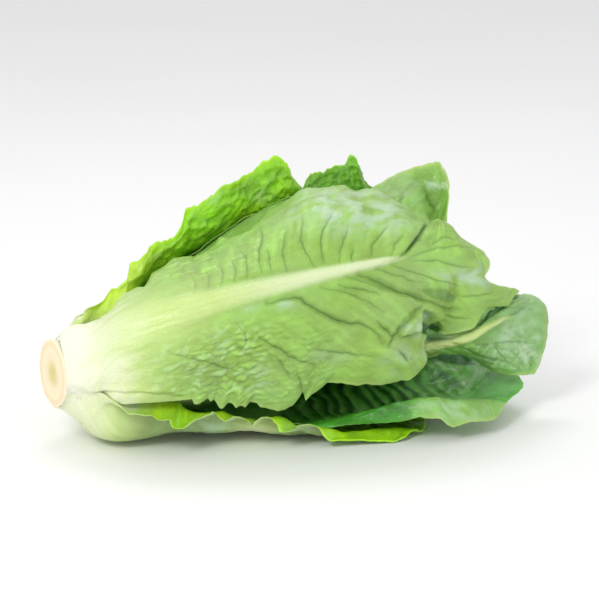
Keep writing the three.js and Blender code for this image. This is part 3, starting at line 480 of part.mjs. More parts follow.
// ---- colours --------------------------------------------------------------
const COLOURS = {
  stem: 0xf3e3c3,
  leaf_front_outer: 0xa9cf74,
  leaf_bottom_outer: 0xc4d79b,
  leaf_bottom_inner: 0x5c9a3a,
  leaf_top_back: 0x7fbf35,
  leaf_top_back_inner: 0x5fa23a,
  leaf_top_front: 0xa2cc7c,
  leaf_front_inner: 0x96c37d,
  leaf_back_outer: 0x9cc766,
  leaf_back_inner: 0x9ecb6c,
  leaf_bottom_heart: 0xaad07c,
};
const HEART_OUTER = new THREE.Color(0xa9d077), HEART_INNER = new THREE.Color(0xe2e6a0);

function colourOf(name) {
  if (COLOURS[name] !== undefined) return new THREE.Color(COLOURS[name]);
  const k = Number(name.split('_').pop());
  return HEART_OUTER.clone().lerp(HEART_INNER, (k - 1) / 8);
}

const head = new THREE.Group();

const stem = new THREE.Mesh(stemGeometry(), new THREE.MeshStandardMaterial({ color: COLOURS.stem, roughness: 0.6, metalness: 0 }));
stem.name = 'stem';
head.add(stem);

for (const leaf of LEAVES) {
  const across = leaf.name.includes('heart') ? CELLS_ACROSS_HEART : CELLS_ACROSS;
  const mesh = new THREE.Mesh(leafGeometry(leaf, across),
    new THREE.MeshStandardMaterial({ color: colourOf(leaf.name), roughness: 0.45, metalness: 0, side: THREE.FrontSide }));
  mesh.name = leaf.name;
  head.add(mesh);
}

export default head;
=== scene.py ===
import math
import bpy
import numpy as np
from mathutils import Vector, Matrix


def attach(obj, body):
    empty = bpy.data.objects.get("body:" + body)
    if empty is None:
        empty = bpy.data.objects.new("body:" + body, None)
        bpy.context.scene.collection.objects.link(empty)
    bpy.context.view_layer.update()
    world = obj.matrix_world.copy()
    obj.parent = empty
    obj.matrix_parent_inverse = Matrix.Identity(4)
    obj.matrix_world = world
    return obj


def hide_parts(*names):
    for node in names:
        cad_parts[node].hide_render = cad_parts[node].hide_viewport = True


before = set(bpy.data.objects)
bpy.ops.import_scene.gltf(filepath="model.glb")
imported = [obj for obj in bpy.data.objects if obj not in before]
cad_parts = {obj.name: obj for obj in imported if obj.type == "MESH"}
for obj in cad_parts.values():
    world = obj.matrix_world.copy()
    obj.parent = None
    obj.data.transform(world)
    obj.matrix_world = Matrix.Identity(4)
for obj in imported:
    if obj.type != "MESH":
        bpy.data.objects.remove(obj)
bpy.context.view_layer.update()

scene = bpy.context.scene
CUT_X = -152.3                                     # mm, the cut across the stem

# ---------------------------------------------------------------------------
# The camera, at the photograph's angle. PX is millimetres to a pixel of the
# 599 x 599 frame at the target's distance.
# ---------------------------------------------------------------------------
AZ, EL, DIST, PX = math.radians(-20), math.radians(14), 1600.0, 0.593
TARGET = np.array([3.2, 0.4, 75.0])
BACK = np.array([math.sin(AZ) * math.cos(EL), -math.cos(AZ) * math.cos(EL), math.sin(EL)])
RIGHT = np.array([math.cos(AZ), math.sin(AZ), 0.0])
UP = np.cross(BACK, RIGHT)
EYE = TARGET + BACK * DIST

cam_data = bpy.data.cameras.new("view")
cam_data.sensor_width = 36.0
cam_data.lens = 36.0 * DIST / (599 * PX)
cam_data.clip_start = 0.05
cam_data.clip_end = 30
cam = bpy.data.objects.new("view", cam_data)
scene.collection.objects.link(cam)
m = Matrix.Identity(4)
for k in range(3):
    m[k][0], m[k][1], m[k][2], m[k][3] = RIGHT[k], UP[k], BACK[k], EYE[k] / 1000.0
cam.matrix_world = m
scene.camera = cam


def seen(P):
    """Pixel of each point (mm) in the photograph's frame."""
    Q = P - EYE
    z = -(Q @ BACK)
    return np.stack([299.5 + (Q @ RIGHT) / z * DIST / PX, 299.5 - (Q @ UP) / z * DIST / PX], -1)


# ---------------------------------------------------------------------------
# Smooth surface through a net of points: uniform cubic spline, free ends
# ---------------------------------------------------------------------------
def controls(n):
    A = np.zeros((n + 2, n + 2))
    B = np.zeros((n + 2, n))
    A[0, :3] = [1, -2, 1]
    A[n + 1, -3:] = [1, -2, 1]
    for i in range(n):
        A[i + 1, i:i + 3] = [1 / 6, 4 / 6, 1 / 6]
        B[i + 1, i] = 1
    return np.linalg.solve(A, B)


def weights(n, ts, slope=False):
    M = np.zeros((len(ts), n + 2))
    for r, t in enumerate(ts):
        i = min(int(t), n - 2)
        f = t - i
        if slope:
            M[r, i:i + 4] = [-(1 - f) ** 2 / 2, (9 * f * f - 12 * f) / 6, (-9 * f * f + 6 * f + 3) / 6, f * f / 2]
        else:
            M[r, i:i + 4] = [(1 - f) ** 3 / 6, (3 * f ** 3 - 6 * f * f + 4) / 6,
                             (-3 * f ** 3 + 3 * f * f + 3 * f + 1) / 6, f ** 3 / 6]
    return M


def surface(net, nu, nv, short=1.0):
    nr, nc, _ = net.shape
    tu, tv = np.linspace(0, (nr - 1) * short, nu), np.linspace(0, nc - 1, nv)
    Cu, Cv = controls(nr), controls(nc)
    P = np.einsum("ia,jb,abk->ijk", weights(nr, tu) @ Cu, weights(nc, tv) @ Cv, net)
    Pu = np.einsum("ia,jb,abk->ijk", weights(nr, tu, True) @ Cu, weights(nc, tv) @ Cv, net)
    Pv = np.einsum("ia,jb,abk->ijk", weights(nr, tu) @ Cu, weights(nc, tv, True) @ Cv, net)
    n = np.cross(Pu, Pv)
    n /= np.linalg.norm(n, axis=-1, keepdims=True)
    return P, n, Pu, Pv


# ---------------------------------------------------------------------------
# Noise on the plane, always the same
# ---------------------------------------------------------------------------
def hash2(ix, iy, seed):
    ix = np.asarray(ix).astype(np.int64)
    iy = np.asarray(iy).astype(np.int64)
    h = (ix * 374761393 + iy * 668265263 + seed * 974634777) & 0xFFFFFFFF
    h = ((h ^ (h >> 13)) * 1274126177) & 0xFFFFFFFF
    h = ((h ^ (h >> 16)) * 2246822519) & 0xFFFFFFFF
    return ((h ^ (h >> 15)) & 0xFFFFFF) / float(0x1000000)


def wave(x, y, seed):
    """Smooth gradient noise, about -0.7 to 0.7."""
    x = np.asarray(x, float)
    y = np.asarray(y, float)
    x, y = np.broadcast_arrays(x, y)
    ix, iy = np.floor(x), np.floor(y)
    fx, fy = x - ix, y - iy
    ux, uy = fx * fx * fx * (fx * (fx * 6 - 15) + 10), fy * fy * fy * (fy * (fy * 6 - 15) + 10)
    out = 0
    for dx in (0, 1):
        for dy in (0, 1):
            a = hash2(ix + dx, iy + dy, seed) * 2 * np.pi
            g = np.cos(a) * (fx - dx) + np.sin(a) * (fy - dy)
            out = out + g * (ux if dx else 1 - ux) * (uy if dy else 1 - uy)
    return out


def rough(x, y, seed, octaves=3):
    out, amp = 0, 1.0
    for o in range(octaves):
        out = out + amp * wave(x * 2 ** o, y * 2 ** o, seed + 17 * o)
        amp *= 0.5
    return out


def cells(x, y, seed):
    """Distance to the nearest and to the second nearest of scattered points, one in each unit square."""
    ix, iy = np.floor(x), np.floor(y)
    f1 = np.full(x.shape, 9.0)
    f2 = np.full(x.shape, 9.0)
    who = np.zeros(x.shape)
    for dx in (-1, 0, 1):
        for dy in (-1, 0, 1):
            cx, cy = ix + dx, iy + dy
            px = cx + 0.15 + 0.7 * hash2(cx, cy, seed)
            py = cy + 0.15 + 0.7 * hash2(cx, cy, seed + 5)
            d = np.hypot(x - px, y - py)
            near = d < f1
            f2 = np.where(near, f1, np.minimum(f2, d))
            who = np.where(near, hash2(cx, cy, seed + 9), who)
            f1 = np.where(near, d, f1)
    return f1, f2, who


def table(x, points):
    p = np.array(points, float)
    return np.interp(x, p[:, 0], p[:, 1])


def smooth(t):
    t = np.clip(t, 0, 1)
    return t * t * (3 - 2 * t)


def along(q, line):
    """Distance in pixels from each point of q to a polyline, its signed side, and how far along it (0 to 1)."""
    L = np.array(line, float)
    seg = np.hypot(*(L[1:] - L[:-1]).T)
    total = seg.sum()
    best = np.full(q.shape[:-1], 1e9)
    side = np.zeros(best.shape)
    how = np.zeros(best.shape)
    run = 0.0
    for a, b, l in zip(L[:-1], L[1:], seg):
        t = np.clip(((q - a) @ (b - a)) / (l * l), 0, 1)
        c = a + t[..., None] * (b - a)
        d = np.hypot(*(np.moveaxis(q - c, -1, 0)))
        s = np.sign((b[0] - a[0]) * (q[..., 1] - a[1]) - (b[1] - a[1]) * (q[..., 0] - a[0]))
        near = d < best
        best = np.where(near, d, best)
        side = np.where(near, s, side)
        how = np.where(near, (run + t * l) / total, how)
        run += l
    return best, side, how


# ---------------------------------------------------------------------------
# Leaves, outermost first: name, base's distance from the cut, greatest midrib
# thickness, side that faces out, net (mm)
# ---------------------------------------------------------------------------
LEAVES = [
    ('leaf_bottom_outer', 1, 4.6, -1, [
     [[-151,-18.7,32.9],[-151.2,-13.6,28.2],[-150.5,-8.4,24.9],[-150,-1.4,23.5],[-149.9,5.8,23],[-149.8,13,25],[-149.9,18.3,30.7]],
     [[-142.3,-19.3,32.4],[-142.2,-14.3,27.6],[-142.1,-8.6,23.6],[-142,-1.7,21.8],[-142,6,21.8],[-142.2,13.2,24.5],[-142.6,19,29.4]],
     [[-131.5,-26.2,28.8],[-131.4,-20,21.3],[-131.3,-12.2,15.9],[-131.2,-2.5,13.3],[-131.3,8,13.8],[-131.5,17.5,18],[-132.2,25.8,24.4]],
     [[-123.8,-36,31.3],[-122.4,-29.4,16.8],[-123.4,-17.1,8.5],[-125.4,0.6,6.9],[-125.6,18,8.8],[-126,30.1,16.7],[-128.2,37.3,29.2]],
     [[-114.2,-39.9,28.3],[-108.8,-29.1,12.2],[-108.1,-15.5,5],[-110.4,0.7,4.4],[-110.5,17.2,4.8],[-111.4,30.1,10.6],[-115,40.1,25]],
     [[-102.1,-43.2,24.8],[-91.5,-30.6,13.1],[-89.4,-15.7,6.7],[-92.3,1.7,4.3],[-90.4,20.5,6],[-88.8,36.4,13],[-91.4,50.1,29.6]],
     [[-91.9,-46.1,20.7],[-76.5,-32.2,12],[-71.5,-15.7,7.6],[-74.4,2.9,6.6],[-73.5,21.9,5],[-73,39.2,11.1],[-74.9,54.9,28.2]],
     [[-83.9,-49,17.5],[-62.9,-33.6,10.4],[-54.4,-16.8,6.2],[-56.2,2.9,7],[-56.9,23.2,4.8],[-57.2,41.5,9.4],[-58.9,57.7,24.1]],
     [[-69.7,-50.2,22.6],[-46.7,-36.1,10.6],[-37,-18.2,6.1],[-39.3,2.7,6.7],[-39.8,23.8,4.4],[-40.2,42.9,8],[-41.8,60.5,22.2]],
     [[-58.2,-52,20.1],[-32.6,-37.6,8.5],[-21.9,-19.5,4.1],[-24.3,2.6,6.5],[-24.9,24.3,4],[-25.1,44.2,8],[-26.8,62.5,22.1]],
     [[-45.2,-52.8,18.3],[-18.1,-38.9,6.2],[-6.9,-20.7,3.5],[-9.3,1.5,6],[-10,23.8,3.8],[-10.1,44.7,8],[-11.8,64.4,22.1]],
     [[-35.8,-53.7,20.3],[-4.5,-40.8,6.5],[8.6,-22.6,2.8],[5.7,0.4,5.8],[5,23.5,4.4],[4.9,45,8.8],[3.2,65.4,22]],
     [[-27.7,-56.6,12.7],[8.2,-43.1,4.2],[23,-24.2,2.8],[19.7,-0.6,5.6],[18.9,22.5,4.4],[19,44,8.3],[17.2,64.4,20]],
     [[-2.6,-58.5,6.5],[27,-44.3,2.4],[39.5,-25.1,2.9],[36.7,-1.6,5.6],[35.3,20.9,5.2],[34.8,41.4,9],[33.2,60.4,19]],
     [[28.2,-59.6,2.5],[47.2,-46.1,1.9],[55.4,-27.1,2.2],[53.7,-3.6,3.2],[52,17.9,4.4],[50.1,36.2,8.9],[47.2,52.4,17]],
     [[45.3,-60.6,1.6],[59,-52.9,2.2],[70.5,-34.6,2.4],[75.2,-7.6,3],[69.4,15.5,5.2],[61.9,31.5,9.1],[57.2,42.4,14]]]),
    ('leaf_back_outer', 2, 5, 1, [
     [[-150.4,16.8,54.6],[-150.3,19.3,49.2],[-150.3,20.4,43.2],[-150.1,19.7,38.3],[-150.8,17.1,32.4],[-150.5,12.6,27.4],[-151,8.5,25.1]],
     [[-142.8,20.8,55.4],[-142.2,22.8,50.2],[-141.6,24,43.7],[-141.7,21.8,38.6],[-139.9,17.8,34.1],[-140.3,12.9,27.8],[-140.7,6.8,24.6]],
     [[-133.2,30,60.3],[-131.9,33,53.4],[-130.9,32.7,44.2],[-128,32,36],[-127,25.3,28.3],[-127.9,17.6,21.1],[-128,9.4,16.4]],
     [[-109.1,43.9,62.6],[-108.1,44.9,52.7],[-106.9,44.5,42.8],[-106.5,40.7,33.8],[-106,36,24.4],[-105.5,29.3,16.4],[-105.7,20.8,10.3]],
     [[-85.1,48.8,74.2],[-84.3,51.5,62.3],[-83.3,51.2,49.3],[-82.2,48,37.3],[-81.9,42.8,25.2],[-81.8,32.9,16.4],[-81.6,22,10]],
     [[-60.7,51.8,88.5],[-60.5,57,74.4],[-59.3,56.9,58.8],[-59.2,54.1,43.6],[-58.7,47.7,29.2],[-58.3,36,19.4],[-58.1,23,11]],
     [[-36.1,53.1,101.8],[-36,60.5,86],[-35.3,61.9,68.3],[-34.8,58.5,50.8],[-34.6,51.4,34.4],[-34.4,38.2,22.7],[-34.2,22.9,13.8]],
     [[-12.1,53.8,112.2],[-12,64,95],[-11.2,66.2,75.1],[-11,62.6,55.3],[-10.9,54.4,36.7],[-10.8,39.5,23.4],[-10.9,22,13.9]],
     [[8.7,54.1,117.1],[10.8,66.3,98.3],[12.4,69.9,77],[13.2,65.5,55.2],[12.9,55.9,35.6],[11.6,39.6,21.5],[9.5,20.2,11.8]],
     [[27,58,119.2],[32.4,67.9,98.8],[36.1,71.3,77],[37.2,67.6,54.6],[36.3,57.4,34.4],[33,40.8,19.9],[27.8,20.8,9.8]],
     [[45,60.8,119.1],[53.8,69.2,98.3],[59.6,71.9,76.5],[61.3,68.4,54.3],[59.7,58.3,34.4],[54.2,41.8,20],[45.7,22.2,9.6]],
     [[64.4,63.1,113.4],[75.7,70.6,94.3],[83.1,72.7,74.3],[85.4,68.7,54.2],[83.3,59.6,35.9],[76,45.7,21.7],[64.8,28.2,11.1]],
     [[86.4,70,101.5],[98.8,71.7,86.3],[107,70.1,70.6],[109.4,66.2,55],[107.1,59.8,40.3],[99,51.1,27.6],[86.8,40.9,16.3]]]),
    ('leaf_top_back', 8, 5, 1, [
     [[-144.9,-0,63.5],[-144.4,5.5,60.9],[-144.3,10.7,58.4],[-144.3,14.9,54.3],[-144.2,17.5,49.9],[-144.2,18.8,45],[-143.7,18.5,40.2]],
     [[-135.9,-0.5,68.9],[-135.5,7.2,67.2],[-135.3,14.2,63.8],[-135.2,19.8,58.3],[-135,23.2,52.3],[-135,24.5,45.9],[-134.5,23.8,39.2]],
     [[-124.8,-1,77.4],[-124.3,9.5,75.2],[-124.3,19,71],[-124,26.5,63.7],[-123.9,31,55.6],[-123.8,32.8,46.9],[-123.3,31.6,38.1]],
     [[-116.4,7.7,81.8],[-116.6,11.6,77.9],[-115.4,19.1,73.9],[-114.1,29.1,67.8],[-113.9,35.9,55.7],[-114,37.3,42.6],[-113.2,33.7,31.5]],
     [[-96.3,13.2,98.1],[-96.6,16.3,89],[-95.4,24.9,80.7],[-94.1,37.3,72.3],[-93.9,43.9,58.4],[-94,43.7,42.9],[-93.6,38.8,28.4]],
     [[-79,17.9,110.4],[-78.5,19.8,99],[-77.5,29.5,89],[-76.1,43.3,77.9],[-76,49.7,62],[-76.1,48.5,44.7],[-76,42.5,28.7]],
     [[-61.3,20.8,126.5],[-60.7,22.1,110.3],[-59.5,32.5,97.1],[-58.2,47.8,85.3],[-58,54.4,67.8],[-58.3,52.4,48.9],[-58.2,45.9,31.6]],
     [[-37.2,24.1,141.2],[-37.4,24.5,122.2],[-37.1,35.8,107.5],[-36.3,52.5,93.7],[-36.2,59,74.5],[-36.3,56.4,54.5],[-36.3,49.6,36.7]],
     [[-18.4,26,146.8],[-19.3,26.2,130.1],[-19.3,38.2,115.3],[-18.4,55.9,99.4],[-18.3,62.3,78.8],[-18.4,59.5,58.1],[-18.4,52.6,40]],
     [[0,27.8,156.2],[-1.4,27.8,136.4],[-1.5,40.6,119.4],[-0.4,59.2,102.1],[-0.3,65.6,81.2],[-0.4,62.2,59.9],[-0.4,54.9,40.9]],
     [[13.4,32.3,140.1],[13.3,31.6,133.3],[15.2,43.1,120.8],[17.6,61.5,101.9],[17.8,67.8,80.9],[17.5,64.1,60],[17.6,57.1,40.9]],
     [[31.9,47.7,126.9],[32.9,53.2,121.2],[34.3,59.7,110.6],[35.6,66.1,95],[35.9,68.1,76.9],[35.1,65.1,58.8],[33.6,58.7,41.2]],
     [[47.8,52,124.2],[49.6,57.1,117.7],[51.8,62.4,107.4],[53.6,67.3,92.7],[54,68.9,76],[52.9,66.3,59.5],[50.6,61,43.9]],
     [[61.8,56.9,118.6],[64.9,60.4,111.8],[68.7,64.8,102.9],[71.7,68.7,90.6],[71.6,69.6,75.2],[69.5,67.5,60.6],[66.7,63.5,47.9]],
     [[73.8,62.8,109.2],[78.7,64.8,103.4],[85.2,67.2,95.9],[90.7,69.3,85.7],[89.8,69.3,73.5],[85.2,67.7,62.5],[79.7,65.5,53.7]]]),
    ('leaf_top_back_inner', 15, 4.2, 1, [
     [[-137.6,5.1,61],[-137.4,9.6,58.2],[-137.3,13.6,54.6],[-137.3,16.3,50.1],[-137.3,18,44.7],[-137.2,17.4,39.4],[-137,16.9,33.5]],
     [[-128.8,5.9,64.3],[-128.6,11.5,61.1],[-128.4,16.2,56.9],[-128.4,19.6,51.4],[-128.4,21.4,45],[-128.4,21.2,38.4],[-128.5,19.3,32]],
     [[-117.8,7.7,71.9],[-117.5,15.6,67.9],[-117.5,22.3,62.4],[-117.4,27.1,54.7],[-117.4,29.8,45.7],[-117.3,29,36.8],[-117.4,26,28.2]],
     [[-108.8,18.2,72.9],[-108.5,23.3,68.3],[-108.5,28.6,61.6],[-108.4,32.8,52.3],[-108.4,34.3,42.5],[-108.4,32.5,33.2],[-108.5,28.9,24.2]],
     [[-82.5,22.1,85.9],[-82.4,29.3,80],[-82.4,36.2,71],[-82.4,41.2,58.9],[-82.5,43,46],[-82.7,40.4,33.9],[-82.6,33.7,23.3]],
     [[-56.5,24.9,100.8],[-56.2,34,92.8],[-56.3,42.1,82.2],[-56.4,47.5,68.2],[-56.5,48.9,53.5],[-56.7,46.3,39.3],[-56.6,38.4,27.3]],
     [[-30,27,115.8],[-29.9,37.6,106],[-30.1,47.1,93.8],[-30.3,53.4,78.4],[-30.5,54.9,62],[-30.6,51.3,46.4],[-30.7,44.1,32.3]],
     [[-5.5,27.4,127.5],[-5.6,38.8,115.8],[-6,50.1,102.1],[-6.2,57.1,84.1],[-6.4,59,66.5],[-6.6,55.2,49.9],[-6.8,47.6,34.7]],
     [[14.6,27.3,135.1],[14.9,35.6,124.2],[14.2,47.8,111.3],[13.8,58,93.3],[13.6,61.8,73.7],[13.4,59.1,54.7],[13.2,51.6,37.2]],
     [[25.6,31.5,143.3],[27.4,39.1,130.8],[28.9,48.7,116],[29.8,58.6,98.2],[29.8,62.7,78.2],[29.2,61.2,58.4],[28.3,55.1,39.9]],
     [[37.4,32.8,146.8],[38.8,40,135.1],[41.2,49.8,120.2],[43.8,59.5,101.2],[44,63.8,80.5],[42.9,62,61.1],[41.4,57.2,43.6]],
     [[48.5,34.4,152.3],[51.1,41,138.4],[54.6,50,122.6],[57.7,59.4,104],[58.2,64.2,82.8],[56.7,62.8,63.9],[54.3,59.4,47.2]],
     [[55,36.5,144.1],[62.4,44.8,132.6],[68.2,53.7,119.1],[71.6,61.1,102.6],[72.2,63.8,84.1],[70.5,62.6,67.7],[67.6,59.1,54.4]],
     [[61,40.8,130.7],[72.6,49.7,122],[81.4,56.1,112.1],[85.6,59.9,99.9],[85.1,62.4,85.1],[81.9,62.2,71.7],[77.6,59.8,60.9]]]),
    ('leaf_bottom_inner', 13, 4.2, -1, [
     [[-139.7,-18.5,33.6],[-139.4,-12.6,30.7],[-139.3,-7.8,27.2],[-139.2,-2,25.5],[-139.1,3.8,25.7],[-139,9.5,27.8],[-138.8,13.2,31]],
     [[-132.3,-20.1,31.8],[-130.9,-14.6,28.8],[-130.6,-8.9,25.8],[-130.3,-2.6,24.5],[-130.2,3.8,24.7],[-130,9.6,27],[-129.8,14.3,31.2]],
     [[-121.4,-26.4,29.2],[-120,-19.8,24.1],[-119.6,-12.4,19.9],[-119.3,-3.8,18],[-119.1,4.8,18.4],[-118.9,12.8,21.7],[-118.6,19.6,27.4]],
     [[-111.1,-30.7,25.2],[-110.9,-25.3,18.6],[-110.5,-18.7,13.3],[-110.2,-8,10.7],[-110,6.6,10.8],[-109.8,19.7,16.6],[-109.3,27.1,28.3]],
     [[-90.9,-32,24.5],[-90.6,-27.2,19.2],[-90.4,-20,13.4],[-90.2,-8.4,10.7],[-90,7,9.9],[-89.8,22.3,17],[-89.7,32.9,31.2]],
     [[-73,-40.1,21.6],[-72.9,-34.6,15.6],[-72.7,-25.2,12.8],[-72.7,-12.1,12.6],[-72.2,6.8,14.7],[-72.4,28,21.8],[-73.5,40.9,38.9]],
     [[-52.8,-42.6,18.2],[-52.5,-36.8,14.8],[-52.6,-27.8,11.4],[-52.6,-13.5,12.4],[-52.3,7,15.2],[-52.3,29.7,22.6],[-53.6,43.9,40.1]],
     [[-32.7,-43.4,14.4],[-32.5,-38.9,12.2],[-32.6,-29.2,11],[-32.6,-14.3,12.4],[-32.3,7.3,14.9],[-32.3,31.6,22.9],[-33.6,46.4,42.3]],
     [[-12.6,-45.3,12.9],[-12.6,-41.2,11.4],[-12.6,-31.5,10.6],[-12.6,-15.5,12.3],[-12.3,7.9,14.8],[-12.3,33.6,23.1],[-13.6,49.1,44.2]],
     [[-3.5,-49.7,9.9],[0.1,-46.3,12.2],[4.2,-35.4,11.3],[5.7,-16.8,11.9],[5.6,8.6,14.6],[5.7,35.1,22.9],[4.4,51.7,45.7]],
     [[11.4,-54.7,11.4],[15.9,-50.6,16.4],[20,-38.9,12.5],[22.7,-18.7,11.2],[23.8,8.3,14.5],[23.5,35.9,22.4],[22.2,53.5,45.2]],
     [[26.8,-59.7,12.7],[29.9,-54.7,20.4],[35.3,-42.1,11.1],[38.8,-21.1,8.9],[39.6,7.5,14.7],[39.4,36.6,22],[38,54.7,44.5]],
     [[44.4,-65.7,14.3],[45.4,-58.8,24.2],[51,-46.1,14],[54.9,-23.9,5.2],[55.5,6.4,9.6],[55.3,36.9,22.1],[54,54.8,44.4]],
     [[56.7,-70.6,16.8],[57.8,-62,26],[64.5,-47.9,15],[69,-26.1,6.2],[69.4,4.4,10],[69.2,36.2,21.5],[67.7,58.2,42.4]],
     [[69.3,-73.6,10.8],[71.2,-63.1,23.9],[78.1,-49.3,15.3],[84,-28,7.9],[85.5,3.1,9.6],[85.1,35.5,17.9],[83.4,59.2,42]],
     [[84,-71.5,11.7],[85.7,-61.8,21.5],[91.9,-48.7,15.7],[98.6,-28.7,10.6],[101.7,1.5,12],[100.8,34.4,20.5],[98.4,57.3,43.4]],
     [[96.1,-68.6,11.3],[99.5,-58.5,19],[105.7,-47.3,17],[112.9,-29.7,14.6],[116.7,-0.3,16.2],[115.4,31.5,24],[110.4,51.9,44.1]],
     [[106,-62.5,11.1],[112.2,-55.2,13.7],[122.2,-44.8,15.7],[132.8,-36,18.5],[136.6,-15.3,21.8],[128.1,18,30.2],[119.6,36.1,41.7]]]),
    ('leaf_front_outer', 3, 6.5, 1, [
     [[-149.1,-17.4,35.4],[-149.4,-18.8,39.3],[-149.3,-19,44.6],[-149.3,-17.6,50.3],[-149.1,-14.5,55.6],[-149,-9.9,59.6],[-147.6,-5.4,61.1]],
     [[-137.6,-17.1,36.1],[-138.3,-19.5,41.1],[-139.6,-21.5,45.7],[-139.9,-20.2,51.8],[-139.9,-16.7,57.6],[-139.6,-11.4,61.5],[-139,-4.8,63.2]],
     [[-124,-22.8,33.2],[-126.7,-27.5,39.6],[-128.1,-29.8,46.7],[-128.7,-28.1,55.2],[-128.8,-23.2,63.2],[-128.7,-15.6,69],[-127.8,-6.4,71.6]],
     [[-125,-33.6,39.3],[-123.9,-38.6,51.4],[-121.7,-41.4,63.9],[-119.8,-39.2,74.1],[-119,-29.6,78.9],[-118.3,-16.5,79.6],[-117.3,-2.7,78.4]],
     [[-113.4,-41.5,36.6],[-111.5,-46.4,51.6],[-109.7,-49.3,66.2],[-107.9,-46.3,78.8],[-106.7,-34.4,85.9],[-105.6,-18,87.9],[-104.3,-0.7,86.8]],
     [[-97.9,-47.1,34.4],[-95.4,-53,52.2],[-92.9,-56.2,69.6],[-90.4,-52.4,85],[-88,-38.1,96.3],[-85.7,-18.1,101.1],[-83.3,3.4,100.8]],
     [[-80.2,-50.3,33.7],[-77.1,-57.5,53.6],[-74.1,-61,73.4],[-71.1,-56.5,91.2],[-68.5,-40.9,103.6],[-65.9,-18.8,108.5],[-63.2,5.4,107.6]],
     [[-63,-52.5,34.1],[-59.1,-60.6,55],[-55.2,-64.4,76.3],[-51.4,-59.6,96.1],[-48.2,-43.5,110.4],[-45.3,-20.1,116.5],[-42.6,6.5,116.5]],
     [[-46.9,-54.6,30.6],[-41.6,-64.1,53.5],[-36.3,-67.8,77.4],[-31.1,-61.7,100.7],[-26.6,-45,118.6],[-22.4,-20.4,127],[-18.4,8.3,128.3]],
     [[-28.5,-55.6,26],[-22.4,-67.1,50.7],[-16.4,-70.5,77.3],[-10.3,-62.8,104.6],[-4.3,-46,127.4],[1.6,-21.4,139.4],[7.5,8.1,141.4]],
     [[-10.2,-57.7,36.1],[-3.2,-67.6,59.1],[4,-70.4,83.3],[11,-63,107.6],[17.2,-46.6,128.4],[23,-23.2,139.7],[29.2,4.1,142.8]],
     [[12,-60.8,37.7],[18,-69.8,60.9],[23.9,-70.8,85.6],[30,-62.2,109.6],[36.4,-47.6,127.3],[43.1,-27.8,137.4],[49.4,-3.8,141.4]],
     [[33.4,-62.1,35.9],[37.6,-71.2,59.8],[41.5,-71.2,86.7],[46,-61.5,111.1],[52.4,-48.7,124.1],[59.7,-32.4,129.9],[67.8,-15.6,137.9]],
     [[49.7,-62.7,39],[53.7,-69.1,60.5],[57.4,-67.2,84.9],[61.5,-57.9,106.9],[66.4,-47.5,115.1],[72.8,-36.3,120.2],[79,-22.6,124.6]],
     [[60,-61.9,52.8],[64.6,-64.6,69.1],[69.6,-62.3,86.7],[74.3,-55.4,102.7],[76.9,-47.1,112.6],[79.2,-37.1,118.8],[81.6,-24.5,123.9]],
     [[64.4,-49,59.2],[71.2,-53.2,73],[78.7,-55.2,86.5],[85,-52.7,99.3],[86.9,-47,109.4],[86.3,-37.3,116],[85.8,-26.7,120.1]],
     [[84.7,-51.8,57.5],[88.4,-53,70.2],[93.1,-54.1,83.6],[96.6,-50.2,95.8],[95.2,-44.1,103.1],[93.6,-38.4,108.5],[91.9,-30.6,112.6]],
     [[108.2,-47.2,63.5],[130.9,-36.5,72.7],[127,-36.5,79.4],[104.1,-43.2,85.9],[104,-46.2,95.4],[105.4,-38.2,103],[99.7,-36,108.3]]]),
    ('leaf_top_front', 18, 4.4, 1, [
     [[-134.3,-16.9,44.2],[-134.5,-15.9,49.6],[-134.4,-13.1,54.2],[-134.3,-8.8,57.6],[-134.2,-3.8,59.6],[-134,1.5,60.2],[-133.1,6.4,58.9]],
     [[-125.8,-21.2,44.5],[-125.6,-19.2,50.8],[-125.5,-15.9,56.3],[-125.3,-10.7,60.3],[-125.2,-4.7,62.8],[-125,1.5,63],[-124.8,7.7,61.4]],
     [[-114.8,-28.1,45.4],[-114.6,-25.6,53.6],[-114.5,-21.2,60.9],[-114.3,-14.4,66.4],[-114.1,-6.4,69.6],[-113.9,1.9,69.9],[-113.6,10.2,68]],
     [[-111,-34,41.7],[-110.8,-31.7,53.1],[-110.5,-26.1,63.2],[-110.4,-17.1,70.9],[-110.1,-6.4,75],[-110,4.1,75],[-109.3,13.7,71.3]],
     [[-87.2,-39.7,47.1],[-86.8,-37.4,60.6],[-86.5,-31.1,72.6],[-86.4,-20.4,81.7],[-86.1,-7.2,86.6],[-85.9,5.5,86.3],[-86,16.9,82.3]],
     [[-60.9,-46.1,56.2],[-60.7,-43.7,72.2],[-60.5,-36.7,86.4],[-60.3,-24,97.1],[-60.1,-9,103.1],[-60.1,5.8,103.1],[-59.9,19.3,98.3]],
     [[-34.8,-51.7,65.6],[-34.7,-49.4,83.7],[-34.5,-41.3,99.8],[-34.3,-27.2,112],[-33.8,-10.7,117.8],[-33.5,5.1,117.6],[-34.4,19.9,115.4]],
     [[-8.6,-55.5,72.6],[-8.6,-52.8,91.9],[-8.6,-43.8,109.5],[-8.4,-28.8,122.8],[-8.1,-11.8,129.1],[-8,4.3,129.8],[-8.4,19.5,128.1]],
     [[17.5,-56.3,74.1],[17.4,-53.7,93.1],[17.4,-44.3,111],[17.4,-28.4,125.4],[17.5,-12.2,133.3],[17.6,2.6,135.7],[17.6,16.2,135.1]],
     [[39.5,-55.6,76.1],[39.3,-52.7,94],[39.1,-43.1,111.6],[38.9,-27.3,126],[38.9,-11.8,133.8],[39.4,0.5,135.8],[40,10.4,134.4]],
     [[59.5,-54.6,79.1],[59,-51.5,95.1],[58.7,-41.5,111.1],[58.2,-26.2,124.8],[57.2,-14.1,132.5],[55.9,-3.2,136.1],[54.5,8.3,138.1]],
